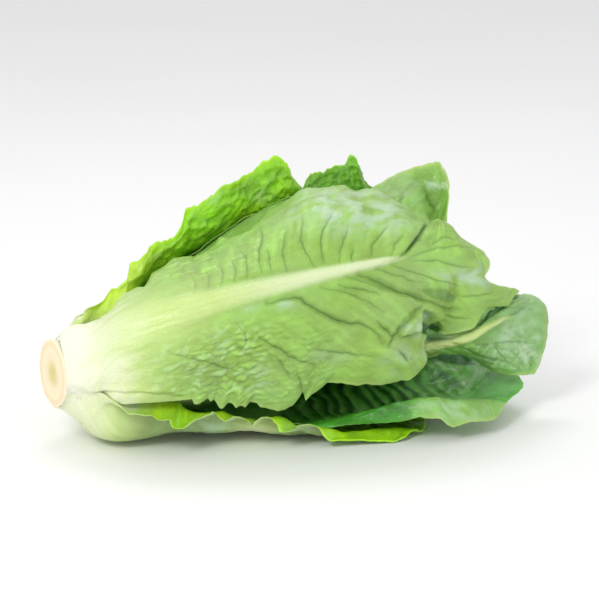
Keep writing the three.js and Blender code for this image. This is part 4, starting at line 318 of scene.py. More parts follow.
     [[75.3,-52.2,82],[76.3,-49.3,97.9],[76.2,-40.1,112.1],[74.2,-26.7,122],[73.2,-16.2,130.9],[72.9,-7.4,139.8],[69.8,5.3,146]],
     [[85.3,-49.4,94.7],[86.7,-45.1,106.7],[85.3,-34.6,111.5],[82.3,-18.8,112.2],[85.5,-10.7,119.6],[86.9,-5.3,133.8],[82.9,1.3,150.8]],
     [[82,-26.4,99.4],[87.1,-22.8,108.4],[89.2,-18.1,116.4],[91.6,-14.2,124.6],[94.5,-10.1,134.1],[94.7,-6.9,143.8],[90.1,-3.8,153.2]]]),
    ('leaf_front_inner', 22, 4.4, 1, [
     [[-130.3,-5.9,27.4],[-130.3,-10.4,30.2],[-130.3,-13.8,34.1],[-130.3,-15.9,39],[-130,-16.2,44.1],[-129.9,-15,49.3],[-129.8,-12.4,53.6]],
     [[-121.4,-7,24.7],[-121.3,-12.1,28],[-121.2,-16.1,32.5],[-121,-18.1,38.2],[-121,-18.7,44.4],[-121.1,-17.5,50.2],[-121.1,-14.5,55.6]],
     [[-110.4,-9.3,19.8],[-110.3,-15.8,24.3],[-110.2,-20.9,30.1],[-110,-23.6,37.6],[-109.9,-24.4,45.6],[-110,-22.6,53.2],[-110.1,-19,60.2]],
     [[-106.4,-9.2,14.8],[-106.2,-17.9,18.7],[-106.1,-24.8,26.2],[-105.8,-29,36.7],[-105.6,-29.4,47.8],[-106,-27.2,57.9],[-106,-20.5,66.5]],
     [[-82.3,-12,16.8],[-82.2,-20.9,21.4],[-82.1,-29.1,29.4],[-81.8,-34.6,41.1],[-81.7,-35.7,54.3],[-82,-32.8,66.3],[-82,-25.5,76.4]],
     [[-56.3,-15.8,20.9],[-56.2,-25.9,26.4],[-56.1,-35.2,35.2],[-56,-41.5,48.4],[-56,-43.3,64.1],[-56,-39.5,78.3],[-56.1,-31.8,90.1]],
     [[-30.3,-19.2,26.3],[-30.3,-29.9,31.5],[-30.2,-39.9,40.9],[-30.1,-47.2,55.3],[-30,-49.3,72.3],[-30,-45.4,88.4],[-30,-36.6,102.6]],
     [[-4.3,-22.4,28.7],[-4.3,-33.5,34.6],[-4.2,-43.4,44.2],[-4.2,-51.1,58.6],[-4,-52.8,75.9],[-4.1,-49.7,93.8],[-4,-40.6,110.3]],
     [[21.7,-23.3,31.3],[21.7,-33,37.1],[21.7,-42,46.2],[21.8,-48.6,59.6],[21.8,-51.6,75.8],[21.8,-48.5,92.3],[21.8,-41.1,108.4]],
     [[45.7,-24.6,32.6],[45.7,-33.6,38.1],[45.7,-41.7,46.3],[45.7,-48.1,58.8],[45.7,-51,74.9],[45.7,-48.7,91.4],[45.7,-42.1,106.8]],
     [[69.6,-25.7,34],[67.2,-37.5,39.8],[64.3,-44.5,47.3],[63.1,-44.9,56],[66.4,-46.4,62.2],[68,-46.4,75.6],[65.7,-45.3,97.9]],
     [[89.2,-23.7,25.6],[83.7,-37.4,38.2],[79.4,-45.1,49],[78,-47.1,56.7],[80.6,-48,62.4],[83.9,-46.5,74.4],[85.9,-45.2,93]],
     [[106.2,-25.8,28.8],[100.2,-35.8,35.6],[93.4,-44.6,45.7],[89.5,-48.1,56.7],[94.4,-45.9,64.3],[99.8,-45.2,73.4],[102,-44.9,86.1]],
     [[119.4,-33,25.5],[114.2,-37,32.9],[106.9,-43.5,45.7],[101.8,-46.1,60],[107.3,-41.4,66.5],[113.1,-39.1,73.2],[112,-41.2,80.2]],
     [[129.8,-35,24.5],[128.9,-36.8,31.8],[123.1,-41.3,47.6],[115.4,-40.7,64.7],[119.8,-36.8,70.1],[127.9,-31.4,71.7],[133.8,-23.2,72.8]],
     [[141.5,-34.5,25.2],[145.6,-33.5,32.5],[149.3,-31.6,43.1],[151.8,-29.1,55.3],[151.6,-27,63.6],[148.9,-23.7,68],[144.5,-20.9,70.4]]]),
    ('leaf_back_inner', 27, 4.2, 1, [
     [[-125.2,14.7,50.6],[-125.3,16.3,45.8],[-125.3,16.4,40.8],[-125.2,14.9,36],[-125.3,11.9,31.7],[-125.3,8,28.8],[-125.2,3.3,26.8]],
     [[-116.1,20.2,53.7],[-116,22,47.2],[-116,22,40.6],[-116,19.6,33.8],[-116.1,15.7,27.9],[-116.2,10.4,23.6],[-116.4,4.2,21]],
     [[-104.7,27.8,59.2],[-104.9,30.8,50.4],[-104.7,30.1,41.2],[-104.3,24.5,33.3],[-104.7,20.3,24.1],[-105.2,14.2,17.3],[-105.5,5.9,12.8]],
     [[-83.3,36.9,59.6],[-83.4,37.7,51.2],[-83.3,36,43.1],[-83,30.8,36],[-83.3,26.6,28.1],[-83.8,22.1,21.1],[-84.5,14.8,17.1]],
     [[-62,40.3,72],[-62,41.9,61.4],[-62,41.1,50.9],[-62,37.4,40.5],[-62.1,31.4,31.3],[-62.4,23.2,24.5],[-62.8,13.5,20.2]],
     [[-40.6,42.7,84.6],[-40.6,45.6,72.1],[-40.6,45.4,59.3],[-40.6,41.1,47],[-40.7,33.8,36.1],[-40.9,23.9,28.2],[-40.9,12.2,22.5]],
     [[-19.2,44.8,95.4],[-19.2,49,80.9],[-19.2,49.4,66.1],[-19.2,44.8,51.6],[-19.3,36.2,39.1],[-19.3,24.2,30.4],[-19.4,10.2,25]],
     [[1.8,45.3,102.5],[2,51.1,86.4],[2.2,52.3,69.7],[2.2,47.2,53.2],[2.2,37.3,39.1],[2,23.4,29.7],[1.7,7.1,24.3]],
     [[20,45.7,106],[22,53,88.4],[23.3,54.9,70.1],[23.7,49.6,52],[23.3,38.6,36.6],[22,23,26.9],[20,4.6,21.9]],
     [[36.4,46.3,107.4],[41.2,54.1,89.3],[44.3,56.2,70.3],[45.2,50.7,51.5],[44.3,39.2,35.5],[41.1,23,25.5],[36.4,3.9,20.5]],
     [[52.4,47.5,106.9],[60.1,55.1,88.7],[65.2,57.1,69.8],[66.7,51.6,51],[65.2,40.2,35.2],[60.1,24.1,25.1],[52.4,5.1,19.9]],
     [[69.6,50.9,102.5],[79.6,56.7,85.3],[86.2,57.7,67.8],[88.2,52.3,50.7],[86.2,42.2,35.9],[79.6,27.7,25.9],[69.6,10.6,19.9]],
     [[89.3,55.9,91.6],[100.3,56.9,78.2],[107.5,55.5,64.6],[109.7,50.7,51.5],[107.5,43.3,39.6],[100.3,33.5,30.2],[89.3,22.3,22.7]]]),
    ('leaf_bottom_heart', 31, 3.8, 1, [
     [[-121.2,13.4,34.1],[-121.2,10,30.6],[-121.3,5.8,28.3],[-121.4,1,27.3],[-121.5,-4,27.9],[-121.4,-8.4,30],[-121.5,-12.1,33.3]],
     [[-111.9,16.7,32.5],[-112.1,12.6,27.6],[-112.2,7.5,24.2],[-112.1,1.2,23.1],[-111.7,-5.1,24.3],[-111.9,-10.9,27],[-111.7,-15.7,31.2]],
     [[-100.3,21,31.2],[-101,17.1,23.5],[-101.1,10,19.2],[-101.1,1.5,17.7],[-100.8,-6.9,19.8],[-100.9,-15.4,22.3],[-100.8,-22.1,28.5]],
     [[-79.8,21.4,26.4],[-80,15.7,21.6],[-80.2,8.6,20.1],[-80.1,1.6,18.2],[-80.1,-5.7,19.3],[-80,-13,20.8],[-80,-19.9,24.5]],
     [[-58.9,26.6,33.2],[-59,19.4,27.3],[-59.1,10.9,24],[-59.1,1.7,22.3],[-59,-7.7,22.7],[-59,-16.4,26.1],[-59,-24.5,31]],
     [[-37.9,31.6,40.5],[-37.9,22.9,33.3],[-37.9,13.1,28.2],[-38,1.9,26.4],[-38,-9.4,27.5],[-37.9,-19.6,31.7],[-37.9,-28.8,38.4]],
     [[-16.8,35.8,46.6],[-16.9,26.2,37.7],[-16.9,15,31.6],[-16.9,2.1,29.3],[-16.9,-10.9,30.7],[-16.8,-22.6,36.1],[-16.8,-32.9,44]],
     [[3.8,39.6,50],[4,29.3,39.4],[4.2,16.9,32],[4.2,2.3,29.3],[4.2,-12.4,31.1],[4,-25.4,37.5],[3.9,-36.4,47.4]],
     [[22.5,42.6,50.9],[24,31.8,38.6],[25,18.4,30.2],[25.3,2.6,27.3],[25,-13.3,29.8],[24.1,-27.1,37.5],[22.6,-39.2,47.7]],
     [[39.7,44,51.2],[43.3,32.8,38.3],[45.7,19.2,29.5],[46.4,2.7,26.4],[45.7,-13.3,30],[43.3,-27.7,37.6],[40,-39.5,48.5]],
     [[56.6,44,50],[62.5,32.8,37.2],[66.4,19.1,28.6],[67.5,2.7,25.6],[66.6,-13,29.5],[62.9,-26.6,38.8],[56.8,-39.8,46.5]],
     [[74.4,41.9,45.6],[82,30.8,34.6],[87.1,17.6,27.1],[88.6,2.6,24.7],[87.2,-12.4,27.1],[82.4,-25.6,34],[74.5,-38.1,42.6]],
     [[94.1,35.2,38.1],[102.5,25.2,31.8],[108,14.2,27.4],[109.7,2.2,25.8],[108,-9.8,26.7],[102.6,-20.9,30.5],[94.5,-30.8,36.6]]]),
    ('leaf_heart_1', 36, 3.6, 1, [
     [[-116.3,-9.3,54.8],[-116.3,-4.6,57.4],[-116.3,0.7,58.3],[-116.3,6,57.1],[-116.3,10.6,54.2],[-116.3,13.8,50],[-116.3,15.5,44.8]],
     [[-107.3,-13,60.3],[-107.3,-6.4,63.7],[-107.2,0.8,65],[-107.3,8.1,63.5],[-107.2,14.5,59.5],[-107.3,18.7,53.6],[-107.3,21.1,46.5]],
     [[-96.3,-18,68.7],[-96.3,-8.9,73.4],[-96.2,0.9,75.2],[-96,10.9,72.7],[-96.2,19.8,67.6],[-96.3,25.7,59.5],[-96.3,28.9,49.8]],
     [[-73.4,-13.3,85.8],[-73.3,-4.5,88],[-73.2,4.4,88.2],[-72.9,13,85.3],[-73.2,21.2,81.4],[-73.3,27.4,75.1],[-73.4,32.2,67.4]],
     [[-50.3,-15.8,97.4],[-50.3,-5.8,100.3],[-50.2,4.4,100.8],[-50.3,14.6,98.3],[-50.2,23.6,93],[-50.3,30.7,85.6],[-50.3,35.8,76.5]],
     [[-27.4,-19.6,107],[-27.3,-8,111.1],[-27.3,3.9,112.2],[-27.2,15.8,109.2],[-27.3,26.4,103.1],[-27.3,34.3,94.1],[-27.3,39.8,83.2]],
     [[-4.7,-24.2,111.4],[-4.5,-11.1,117.2],[-4.4,2.8,119.2],[-4.3,16.8,116.1],[-4.3,29.1,108.7],[-4.5,37.7,97.7],[-4.6,43.2,84.4]],
     [[14.9,-27.3,111.6],[16.9,-13,118.9],[18.2,2.2,121.8],[18.7,17.7,118.5],[18.3,31.2,110.2],[17,40.3,97.7],[15.1,45.6,82.6]],
     [[32.9,-28.6,111.8],[37.6,-13.9,119.8],[40.7,2,123],[41.6,18.2,119.7],[40.8,32.4,111],[37.8,41.8,97.9],[33.2,47.1,82.1]],
     [[51.2,-24.9,114.6],[58.4,-10.9,121.1],[63.1,3.8,123.5],[64.6,18.6,120.3],[63.3,31.6,112.7],[58.7,40.9,101.1],[51.7,46.9,87]],
     [[72,-15,119.5],[80.3,-3.6,122.8],[85.8,7.8,123.5],[87.5,19,120.9],[86,29.1,115.6],[80.8,37.3,107.6],[72.7,43.8,97.8]]]),
    ('leaf_heart_2', 42, 3.38, 1, [
     [[-110.3,-0.1,29.5],[-110.3,-5.1,30.7],[-110.3,-9.3,33.5],[-110.3,-12.4,37.6],[-110.3,-13.8,42.6],[-110.3,-13.3,47.6],[-110.3,-11.2,52.3]],
     [[-101.3,-0.3,25.8],[-101.3,-7.2,27.5],[-101.3,-13.1,31.1],[-101.3,-17.3,36.9],[-101.3,-19.3,43.7],[-101.3,-18.5,50.6],[-101.4,-15.6,57.1]],
     [[-90.3,-0.5,21.6],[-90.3,-9.9,23.9],[-90.3,-18,28.8],[-90.3,-23.7,36.7],[-90.3,-26.4,46],[-90.4,-25.3,55.4],[-90.5,-21.6,64.3]],
     [[-68,-13.2,27.2],[-68,-19.3,31.1],[-68,-24.5,36],[-68.1,-28.4,42.2],[-68.1,-30.9,49.1],[-68.1,-31.6,56.3],[-68.2,-31.1,63.6]],
     [[-45.8,-13.4,32.6],[-45.8,-20.5,37],[-45.8,-26.6,42.5],[-45.8,-31.2,49.6],[-45.8,-34,57.5],[-45.8,-34.6,65.7],[-45.9,-33.6,74.1]],
     [[-23.6,-12.5,36.4],[-23.6,-21.1,41.1],[-23.6,-28.4,47.3],[-23.6,-33.8,55.6],[-23.6,-37,64.9],[-23.6,-37.4,74.5],[-23.6,-35.8,84.2]],
     [[-1.6,-9.9,37.1],[-1.4,-20.4,41.8],[-1.3,-29.3,48.8],[-1.3,-35.7,58.3],[-1.3,-39.3,69.2],[-1.4,-39.2,80.5],[-1.6,-36.5,91.6]],
     [[18.1,-8.4,35],[19.6,-20.3,39.7],[20.6,-30.4,47],[21,-37.5,57.5],[20.6,-41.4,69.6],[19.6,-41,82.1],[18.1,-37.3,94.3]],
     [[36.4,-7.9,33.6],[40.1,-20.4,38.4],[42.5,-31,46],[43.2,-38.6,57],[42.5,-42.5,69.7],[40.1,-42,82.7],[36.4,-38,95.5]],
     [[55,-11.9,33.9],[60.7,-22.8,39.4],[64.4,-32.4,46.6],[65.4,-39.2,56.7],[64.4,-43,68.2],[60.7,-43,80.2],[55,-40.2,92.2]],
     [[75.7,-20.3,36.9],[82.2,-28.3,41.8],[86.4,-35,48.4],[87.7,-39.8,56.3],[86.4,-43,65.1],[82.2,-43.6,74.4],[75.7,-43.1,83.8]]]),
    ('leaf_heart_3', 48, 3.16, 1, [
     [[-104.3,-13.1,44.9],[-104.3,-12.2,49.6],[-104.3,-9.7,53.7],[-104.3,-5.9,56.7],[-104.3,-1.3,58.2],[-104.3,3.5,57.9],[-104.3,8,56.1]],
     [[-95.3,-17.9,47],[-95.3,-16.5,53.4],[-95.3,-13.4,59],[-95.3,-8.2,63.1],[-95.3,-1.9,65.2],[-95.3,4.5,64.6],[-95.3,10.6,62.2]],
     [[-84.3,-24.3,50.3],[-84.3,-22.5,59],[-84.2,-18.2,66.5],[-84.3,-11.2,72.1],[-84.3,-2.7,74.9],[-84.3,6,74.2],[-84.3,14.3,70.8]],
     [[-63.8,-27.9,66.2],[-63.8,-24.6,73.3],[-63.8,-19.9,79.4],[-63.8,-13.4,84],[-63.8,-6.1,86.8],[-63.8,1.6,87.3],[-63.8,9.4,86]],
     [[-43.3,-30.7,73.4],[-43.3,-27.2,81.7],[-43.3,-22,88.8],[-43.3,-14.6,94.1],[-43.3,-6.1,97.3],[-43.3,2.7,97.6],[-43.3,11.6,95.9]],
     [[-22.8,-33.6,78],[-22.8,-30.1,88],[-22.8,-24.3,96.6],[-22.8,-15.8,102.9],[-22.8,-5.8,106.4],[-22.8,4.6,106.4],[-22.8,14.8,103.8]],
     [[-2.6,-35.8,77.9],[-2.4,-32.7,89.9],[-2.3,-26.5,100.3],[-2.3,-16.6,107.8],[-2.3,-4.8,111.8],[-2.4,7.2,111.1],[-2.6,18.9,107]],
     [[15.1,-37.3,75.8],[16.8,-34.6,89.3],[17.9,-28.2,101],[18.2,-17.4,109.5],[17.9,-4.3,113.7],[16.8,9,112.5],[15.1,21.7,107.2]],
     [[31.4,-38.5,75.2],[35.3,-35.8,89.3],[37.9,-29.2,101.5],[38.7,-17.9,110.3],[37.9,-4.2,114.8],[35.3,9.7,113.4],[31.3,22.9,107.8]],
     [[48,-39,79.5],[54,-35.4,92],[57.9,-28.6,102.8],[59.1,-18.1,110.7],[57.9,-5.6,115],[54,7.2,114.6],[48,19.6,110.5]],
     [[66.8,-37.7,89.2],[73.7,-33,97.8],[78.2,-26.6,105.3],[79.4,-17.9,110.2],[78.2,-8.8,114.5],[73.7,1,115.7],[66.8,10.9,114.8]]]),
    ('leaf_heart_4', 54, 2.94, 1, [
     [[-98.3,6,57.6],[-98.3,9.6,54.8],[-98.3,12,51.1],[-98.3,13,46.6],[-98.3,12.4,42.1],[-98.3,10.2,38.2],[-98.3,6.8,35.2]],
     [[-89.3,7.8,63.8],[-89.3,12.5,60],[-89.3,15.9,55.2],[-89.3,17.2,49.3],[-89.3,16.3,43.2],[-89.3,13.3,38.2],[-89.3,8.8,34.1]],
     [[-78.3,10.3,72.7],[-78.3,16.7,67.7],[-78.3,21.3,61.2],[-78.3,23,53.2],[-78.3,21.8,45.1],[-78.3,17.8,38.3],[-78.3,11.7,32.8]],
     [[-57.8,18.5,80.4],[-57.8,23,74.8],[-57.8,26.2,68.4],[-57.8,27.4,61.2],[-57.8,26.7,54],[-57.8,24,47.4],[-57.8,19.8,41.5]],
     [[-37.3,18.9,90.7],[-37.3,24.4,84.5],[-37.3,28.2,77.3],[-37.3,29.6,69],[-37.3,28.8,60.7],[-37.3,25.5,53.3],[-37.3,20.4,46.7]],
     [[-16.8,18.2,99.6],[-16.8,25.1,92.8],[-16.8,29.9,84.6],[-16.8,31.7,74.9],[-16.8,30.6,65.2],[-16.8,26.3,56.7],[-16.8,19.9,49.3]],
     [[3.4,16,104.9],[3.6,24.8,97.6],[3.7,31,88.4],[3.7,33.3,77.2],[3.7,31.7,65.8],[3.6,26.2,56.1],[3.4,18,48.2]],
     [[21.3,14.7,107.1],[22.9,24.9,99.5],[23.9,32.1,89.6],[24.2,34.8,77.2],[23.9,33,64.7],[22.9,26.5,54.2],[21.3,16.8,46]],
     [[37.9,14.2,108.2],[41.6,25,100.5],[44,32.7,90.2],[44.7,35.6,77.2],[44,33.6,64.1],[41.6,26.7,53.3],[37.9,16.4,44.9]],
     [[54.8,17.8,106.9],[60.4,27.2,99],[64.1,33.7,89.2],[65.2,36.1,77.2],[64.1,34.5,65.2],[60.4,28.7,54.9],[54.8,19.9,46.4]],
     [[73.8,25.2,102],[80.2,31.1,94.7],[84.4,35.2,86.5],[85.7,36.7,77.3],[84.4,35.8,68],[80.2,32.4,59.5],[73.8,27,51.8]]]),
    ('leaf_heart_5', 60, 2.72, 1, [
     [[-92.3,6.7,37.7],[-92.3,2.7,36.2],[-92.3,-1.5,36.1],[-92.3,-5.5,37.6],[-92.3,-8.8,40.3],[-92.3,-10.8,44],[-92.3,-11.5,48.2]],
     [[-83.3,8.4,37.8],[-83.3,3.3,35.9],[-83.3,-2,35.6],[-83.3,-7.2,37.5],[-83.3,-11.4,41.1],[-83.3,-13.8,45.8],[-83.3,-14.7,51.2]],
     [[-72.3,11.1,37.4],[-72.3,4.3,34.9],[-72.3,-2.8,34.6],[-72.3,-9.7,37.1],[-72.3,-15.4,41.8],[-72.3,-18.6,48.1],[-72.3,-19.9,55.3]],
     [[-51.8,7.4,39.3],[-51.8,0.8,38.4],[-51.8,-5.6,39],[-51.8,-11.8,41.6],[-51.8,-17.1,45.6],[-51.8,-20.8,50.9],[-51.8,-23.3,57]],
     [[-31.3,9.2,45.2],[-31.3,1.8,43.8],[-31.3,-5.7,44.3],[-31.3,-12.8,47.2],[-31.3,-18.8,51.9],[-31.3,-23,58.1],[-31.3,-25.5,65.2]],
     [[-10.8,12.1,49.4],[-10.8,3.4,47.3],[-10.8,-5.3,47.4],[-10.8,-13.6,50.6],[-10.8,-20.6,56.3],[-10.8,-25.1,63.7],[-10.8,-27.5,72.3]],
     [[9.4,15.5,50.8],[9.6,5.7,47.3],[9.7,-4.5,46.9],[9.7,-14.3,50.5],[9.7,-22.4,57.2],[9.6,-27.1,66.2],[9.4,-29,76.5]],
     [[27.6,17.8,50.8],[29,7.1,46.4],[29.9,-4,45.5],[30.2,-15,49.4],[29.9,-23.8,56.9],[29,-28.6,67],[27.6,-30.2,78.5]],
     [[44.5,19,51.1],[47.8,7.9,46.1],[50,-3.7,45],[50.7,-15.2,49],[50,-24.4,56.9],[47.8,-29.2,67.6],[44.5,-30.4,79.7]],
     [[61.7,16.3,48.8],[66.8,5.8,45.1],[70.2,-5,44.7],[71.2,-15.5,48.5],[70.2,-24,55.6],[66.8,-29,65.2],[61.7,-31.1,76.2]],
     [[80.8,9,45.2],[86.7,0.6,44.1],[90.5,-7.8,45],[91.7,-15.6,48.4],[90.5,-22.4,53.4],[86.7,-27.3,60.2],[80.8,-30.6,68.1]]]),
    ('leaf_heart_6', 66, 2.5, 1, [
     [[-86.3,-7.7,42.3],[-86.3,-9.7,45.7],[-86.3,-10.4,49.5],[-86.3,-9.8,53.3],[-86.3,-7.8,56.7],[-86.3,-4.8,59.1],[-86.3,-1.1,60.4]],
     [[-77.3,-9.6,43.8],[-77.3,-12,48],[-77.3,-13,52.5],[-77.3,-12.2,57.3],[-77.3,-9.8,61.6],[-77.3,-6,64.4],[-77.4,-1.5,66.2]],
     [[-66.3,-12.8,45],[-66.3,-16,50.6],[-66.3,-17.4,56.7],[-66.3,-16.3,63],[-66.3,-13.1,68.6],[-66.3,-8.1,72.4],[-66.3,-2.1,74.6]],
     [[-49.3,-18.3,53.5],[-49.3,-20.3,59.1],[-49.3,-20.9,65],[-49.3,-19.6,70.9],[-49.3,-16.8,76.2],[-49.3,-12.6,80.4],[-49.3,-7.4,83.4]],
     [[-32.3,-18.8,57.6],[-32.3,-21.5,64],[-32.3,-22.4,70.7],[-32.3,-21,77.5],[-32.3,-17.7,83.6],[-32.3,-12.7,88.1],[-32.3,-6.6,91.3]],
     [[-15.3,-18.6,59.4],[-15.3,-22.2,66.6],[-15.3,-23.7,74.4],[-15.3,-22.2,82.4],[-15.3,-18.2,89.4],[-15.3,-12.1,94.4],[-15.3,-4.7,97.6]],
     [[1.5,-17.3,58.3],[1.6,-22.4,66.3],[1.7,-24.7,75.2],[1.7,-23.1,84.6],[1.7,-18.3,92.8],[1.6,-10.8,98.1],[1.5,-1.8,100.9]],
     [[16.3,-16.5,56.4],[17.6,-22.7,64.8],[18.4,-25.7,74.5],[18.7,-24.1,84.9],[18.4,-18.6,93.9],[17.6,-10.1,99.4],[16.3,0.1,101.9]],
     [[30.1,-16.5,55.4],[33.1,-23.2,64.2],[35.1,-26.4,74.3],[35.7,-24.8,85.2],[35.1,-19,94.6],[33.1,-10.1,100.2],[30.1,0.7,102.6]],
     [[44.1,-19,57.3],[48.7,-24.4,65.9],[51.8,-26.8,75.3],[52.7,-25.1,85.3],[51.8,-20,94],[48.7,-12.1,99.7],[44.1,-2.5,102.8]],
     [[59.8,-23.6,63],[65.1,-26.2,70.3],[68.6,-27.1,77.8],[69.7,-25.4,85.4],[68.6,-21.8,92.2],[65.1,-16.3,97.5],[59.8,-9.6,101.4]]]),
    ('leaf_heart_7', 72, 2.28, 1, [
     [[-80,-1.6,61.3],[-80.3,1.9,61.5],[-80.3,5.2,60.2],[-80.3,7.9,58],[-80.3,9.7,54.9],[-80.3,10.2,51.5],[-80.3,9.6,48]],
     [[-71.2,-2,66.3],[-71.2,2.2,66.3],[-71.3,6,65.1],[-71.3,9.3,62.4],[-71.3,11.4,58.8],[-71.3,12.2,54.7],[-71.3,11.5,50.6]],
     [[-60.2,-2.7,74.1],[-60.3,2.7,74.1],[-60.3,7.8,72.5],[-60.3,12,69],[-60.3,14.8,64.3],[-60.3,15.4,59],[-60.3,14.5,53.6]],
     [[-45,0.2,83.5],[-45,5.5,82.6],[-45,10.4,80.6],[-45,14.4,77],[-45,17.2,72.4],[-45,18.5,67.2],[-45,18.4,61.8]],
     [[-29.8,-1.2,89.8],[-29.8,4.9,89.2],[-29.8,10.6,87],[-29.8,15.2,82.9],[-29.8,18.5,77.6],[-29.8,19.6,71.7],[-29.8,19.2,65.5]],
     [[-14.6,-3.6,94.2],[-14.6,3.7,94.2],[-14.6,10.4,92],[-14.6,16,87.4],[-14.6,19.6,81.1],[-14.6,20.6,74.1],[-14.6,19.4,66.9]],
     [[0.5,-6.5,95.9],[0.6,2,96.8],[0.7,9.9,94.9],[0.7,16.6,89.6],[0.7,20.7,82.1],[0.6,21.2,73.9],[0.5,18.9,65.7]],
     [[13.8,-8.4,96],[15,0.9,97.6],[15.7,9.8,95.9],[16,17.2,90.1],[15.7,21.6,81.8],[15,21.7,72.7],[13.8,18.5,63.8]],
     [[26.2,-9.1,96.3],[28.9,0.6,98.2],[30.7,9.9,96.6],[31.2,17.7,90.5],[30.7,22.3,81.8],[28.9,22.3,72.3],[26.2,18.8,63.1]],
     [[38.7,-6.6,97.6],[42.9,2.4,98.5],[45.6,10.9,96.4],[46.4,17.9,90.7],[45.6,22.3,82.8],[42.9,22.9,74.1],[38.7,20.5,65.4]],
     [[52.8,-0.2,99],[57.6,6.7,98.1],[60.8,13,95.5],[61.7,18.2,90.9],[60.8,21.8,85],[57.6,23.2,78.3],[52.8,22.9,71.4]]]),
    ('leaf_heart_8', 78, 2.06, 1, [
     [[-74.2,9.1,52.6],[-74.3,8.2,49.6],[-74.3,6.2,47.2],[-74.3,3.4,45.5],[-74.1,0.2,44.4],[-74,-3.1,44.8],[-74.3,-5.7,47.2]],
     [[-65.2,9.7,56],[-65.3,8.6,52.8],[-65.2,6.6,50],[-65.2,3.6,48.3],[-64.8,0.1,46.6],[-64.7,-3.7,47],[-64.9,-6.8,49.2]],
     [[-54.3,12.5,60],[-54.3,11,55.8],[-54.3,8.4,52.3],[-54.2,4.6,49.9],[-54.2,0.1,49.2],[-54.2,-4.1,50.2],[-54.2,-8,52.3]],
     [[-40.8,14.9,62.6],[-40.8,12.8,58.4],[-40.8,9.8,54.8],[-40.8,5.5,52.5],[-40.7,0.8,51.4],[-40.7,-3.9,52.1],[-40.7,-8.3,54]],
     [[-27.3,16.1,68.1],[-27.3,14,63.1],[-27.3,10.6,58.9],[-27.3,5.9,56.2],[-27.3,0.4,55.2],[-27.3,-4.8,56.2],[-27.3,-9.7,58.7]],
     [[-13.8,17,73.3],[-13.8,15.2,67.2],[-13.8,11.6,62.1],[-13.8,6.1,58.8],[-13.8,-0.3,57.7],[-13.8,-6.3,59.3],[-13.8,-11.7,62.8]],
     [[-0.5,17.6,77.4],[-0.4,16.3,70],[-0.3,12.7,63.8],[-0.3,6.3,59.7],[-0.3,-1.2,58.7],[-0.4,-8,61.1],[-0.5,-13.7,66]],
     [[11.3,17.9,79.2],[12.3,17.1,70.8],[13,13.5,63.8],[13.2,6.5,59.2],[13,-1.8,58.2],[12.3,-9.1,61.3],[11.3,-15,67.2]],
     [[22.2,18.2,79.8],[24.6,17.7,71],[26.2,14,63.5],[26.7,6.7,58.7],[26.2,-2,57.7],[24.6,-9.6,61],[22.2,-15.7,67.4]],
     [[33.4,18.9,77.2],[37.1,17.5,69.3],[39.5,13.6,62.7],[40.2,6.8,58.4],[39.5,-1.1,57.3],[37.1,-8.4,59.9],[33.4,-14.6,65]],
     [[45.8,18.6,71.5],[50.1,16.1,65.8],[52.9,12.2,61.2],[53.7,6.9,58.2],[52.9,0.8,57.1],[50.1,-5.1,58.2],[45.8,-10.6,60.8]]]),
    ('leaf_heart_9', 84, 1.84, 1, [
     [[-70.9,-0.7,47.1],[-70.1,-3,48.2],[-69.2,-5.5,50.4],[-68.6,-6.8,53],[-68.4,-7.4,55.7],[-68.3,-7.1,58.4],[-68.3,-5.9,60.9]],
     [[-60,-0.1,52.3],[-59.8,-2.6,53.1],[-59.6,-4.6,54.5],[-59.5,-6.1,56.7],[-59.4,-6.7,59.2],[-59.3,-6.4,61.7],[-59.3,-5.3,64]],
     [[-48.8,-0.2,54.5],[-48.7,-3.4,55.5],[-48.5,-6.2,57.3],[-48.4,-8.1,60.1],[-48.4,-8.9,63.4],[-48.3,-8.5,66.6],[-48.3,-7,69.6]],
     [[-36.9,-0.7,56.4],[-36.9,-4.6,57.5],[-36.9,-8,59.7],[-36.8,-10.4,63.2],[-36.8,-11.5,67.2],[-36.8,-11,71.2],[-36.8,-9.4,75]],
     [[-25.4,0.5,59.3],[-25.4,-4.1,60.3],[-25.4,-8.1,62.6],[-25.3,-10.9,66.5],[-25.3,-12.1,71.2],[-25.3,-11.3,75.7],[-25.3,-9.1,79.9]],
     [[-13.8,2.5,61.7],[-13.8,-3.1,62.2],[-13.8,-7.9,64.5],[-13.8,-11.3,69],[-13.8,-12.6,74.4],[-13.8,-11.2,79.6],[-13.8,-8.1,84.2]],
     [[-2.5,4.8,63.2],[-2.4,-1.8,62.9],[-2.3,-7.6,65.1],[-2.3,-11.7,70.2],[-2.3,-13,76.7],[-2.4,-10.9,82.5],[-2.5,-6.4,87.3]],
     [[7.6,6.3,63.6],[8.4,-0.9,62.6],[9,-7.4,64.6],[9.2,-12.1,70.2],[9,-13.3,77.4],[8.4,-10.7,83.6],[7.6,-5.3,88.5]],
     [[16.8,6.9,63.6],[18.9,-0.6,62.2],[20.3,-7.5,64.2],[20.7,-12.4,70],[20.3,-13.7,77.5],[18.9,-10.8,84],[16.8,-4.9,89]],
     [[26.3,4.8,62.3],[29.5,-2.2,62.1],[31.6,-8.4,64.4],[32.2,-12.7,69.9],[31.6,-14.1,76.7],[29.5,-12,83],[26.3,-7.2,88.2]],
     [[36.8,-0.1,61.5],[40.6,-5.3,62.8],[43,-9.8,65.4],[43.7,-12.9,69.8],[43,-14.2,75],[40.6,-13.4,80.1],[36.9,-11.1,84.9]]]),
]
RIB_HEIGHT = [(0, .12), (6, .5), (16, 1), (60, .85), (110, .5), (170, .26), (230, .14), (300, .10)]
RIB_WIDTH = [(0, .9), (30, .62), (70, .34), (120, .2), (200, .13), (300, .1)]

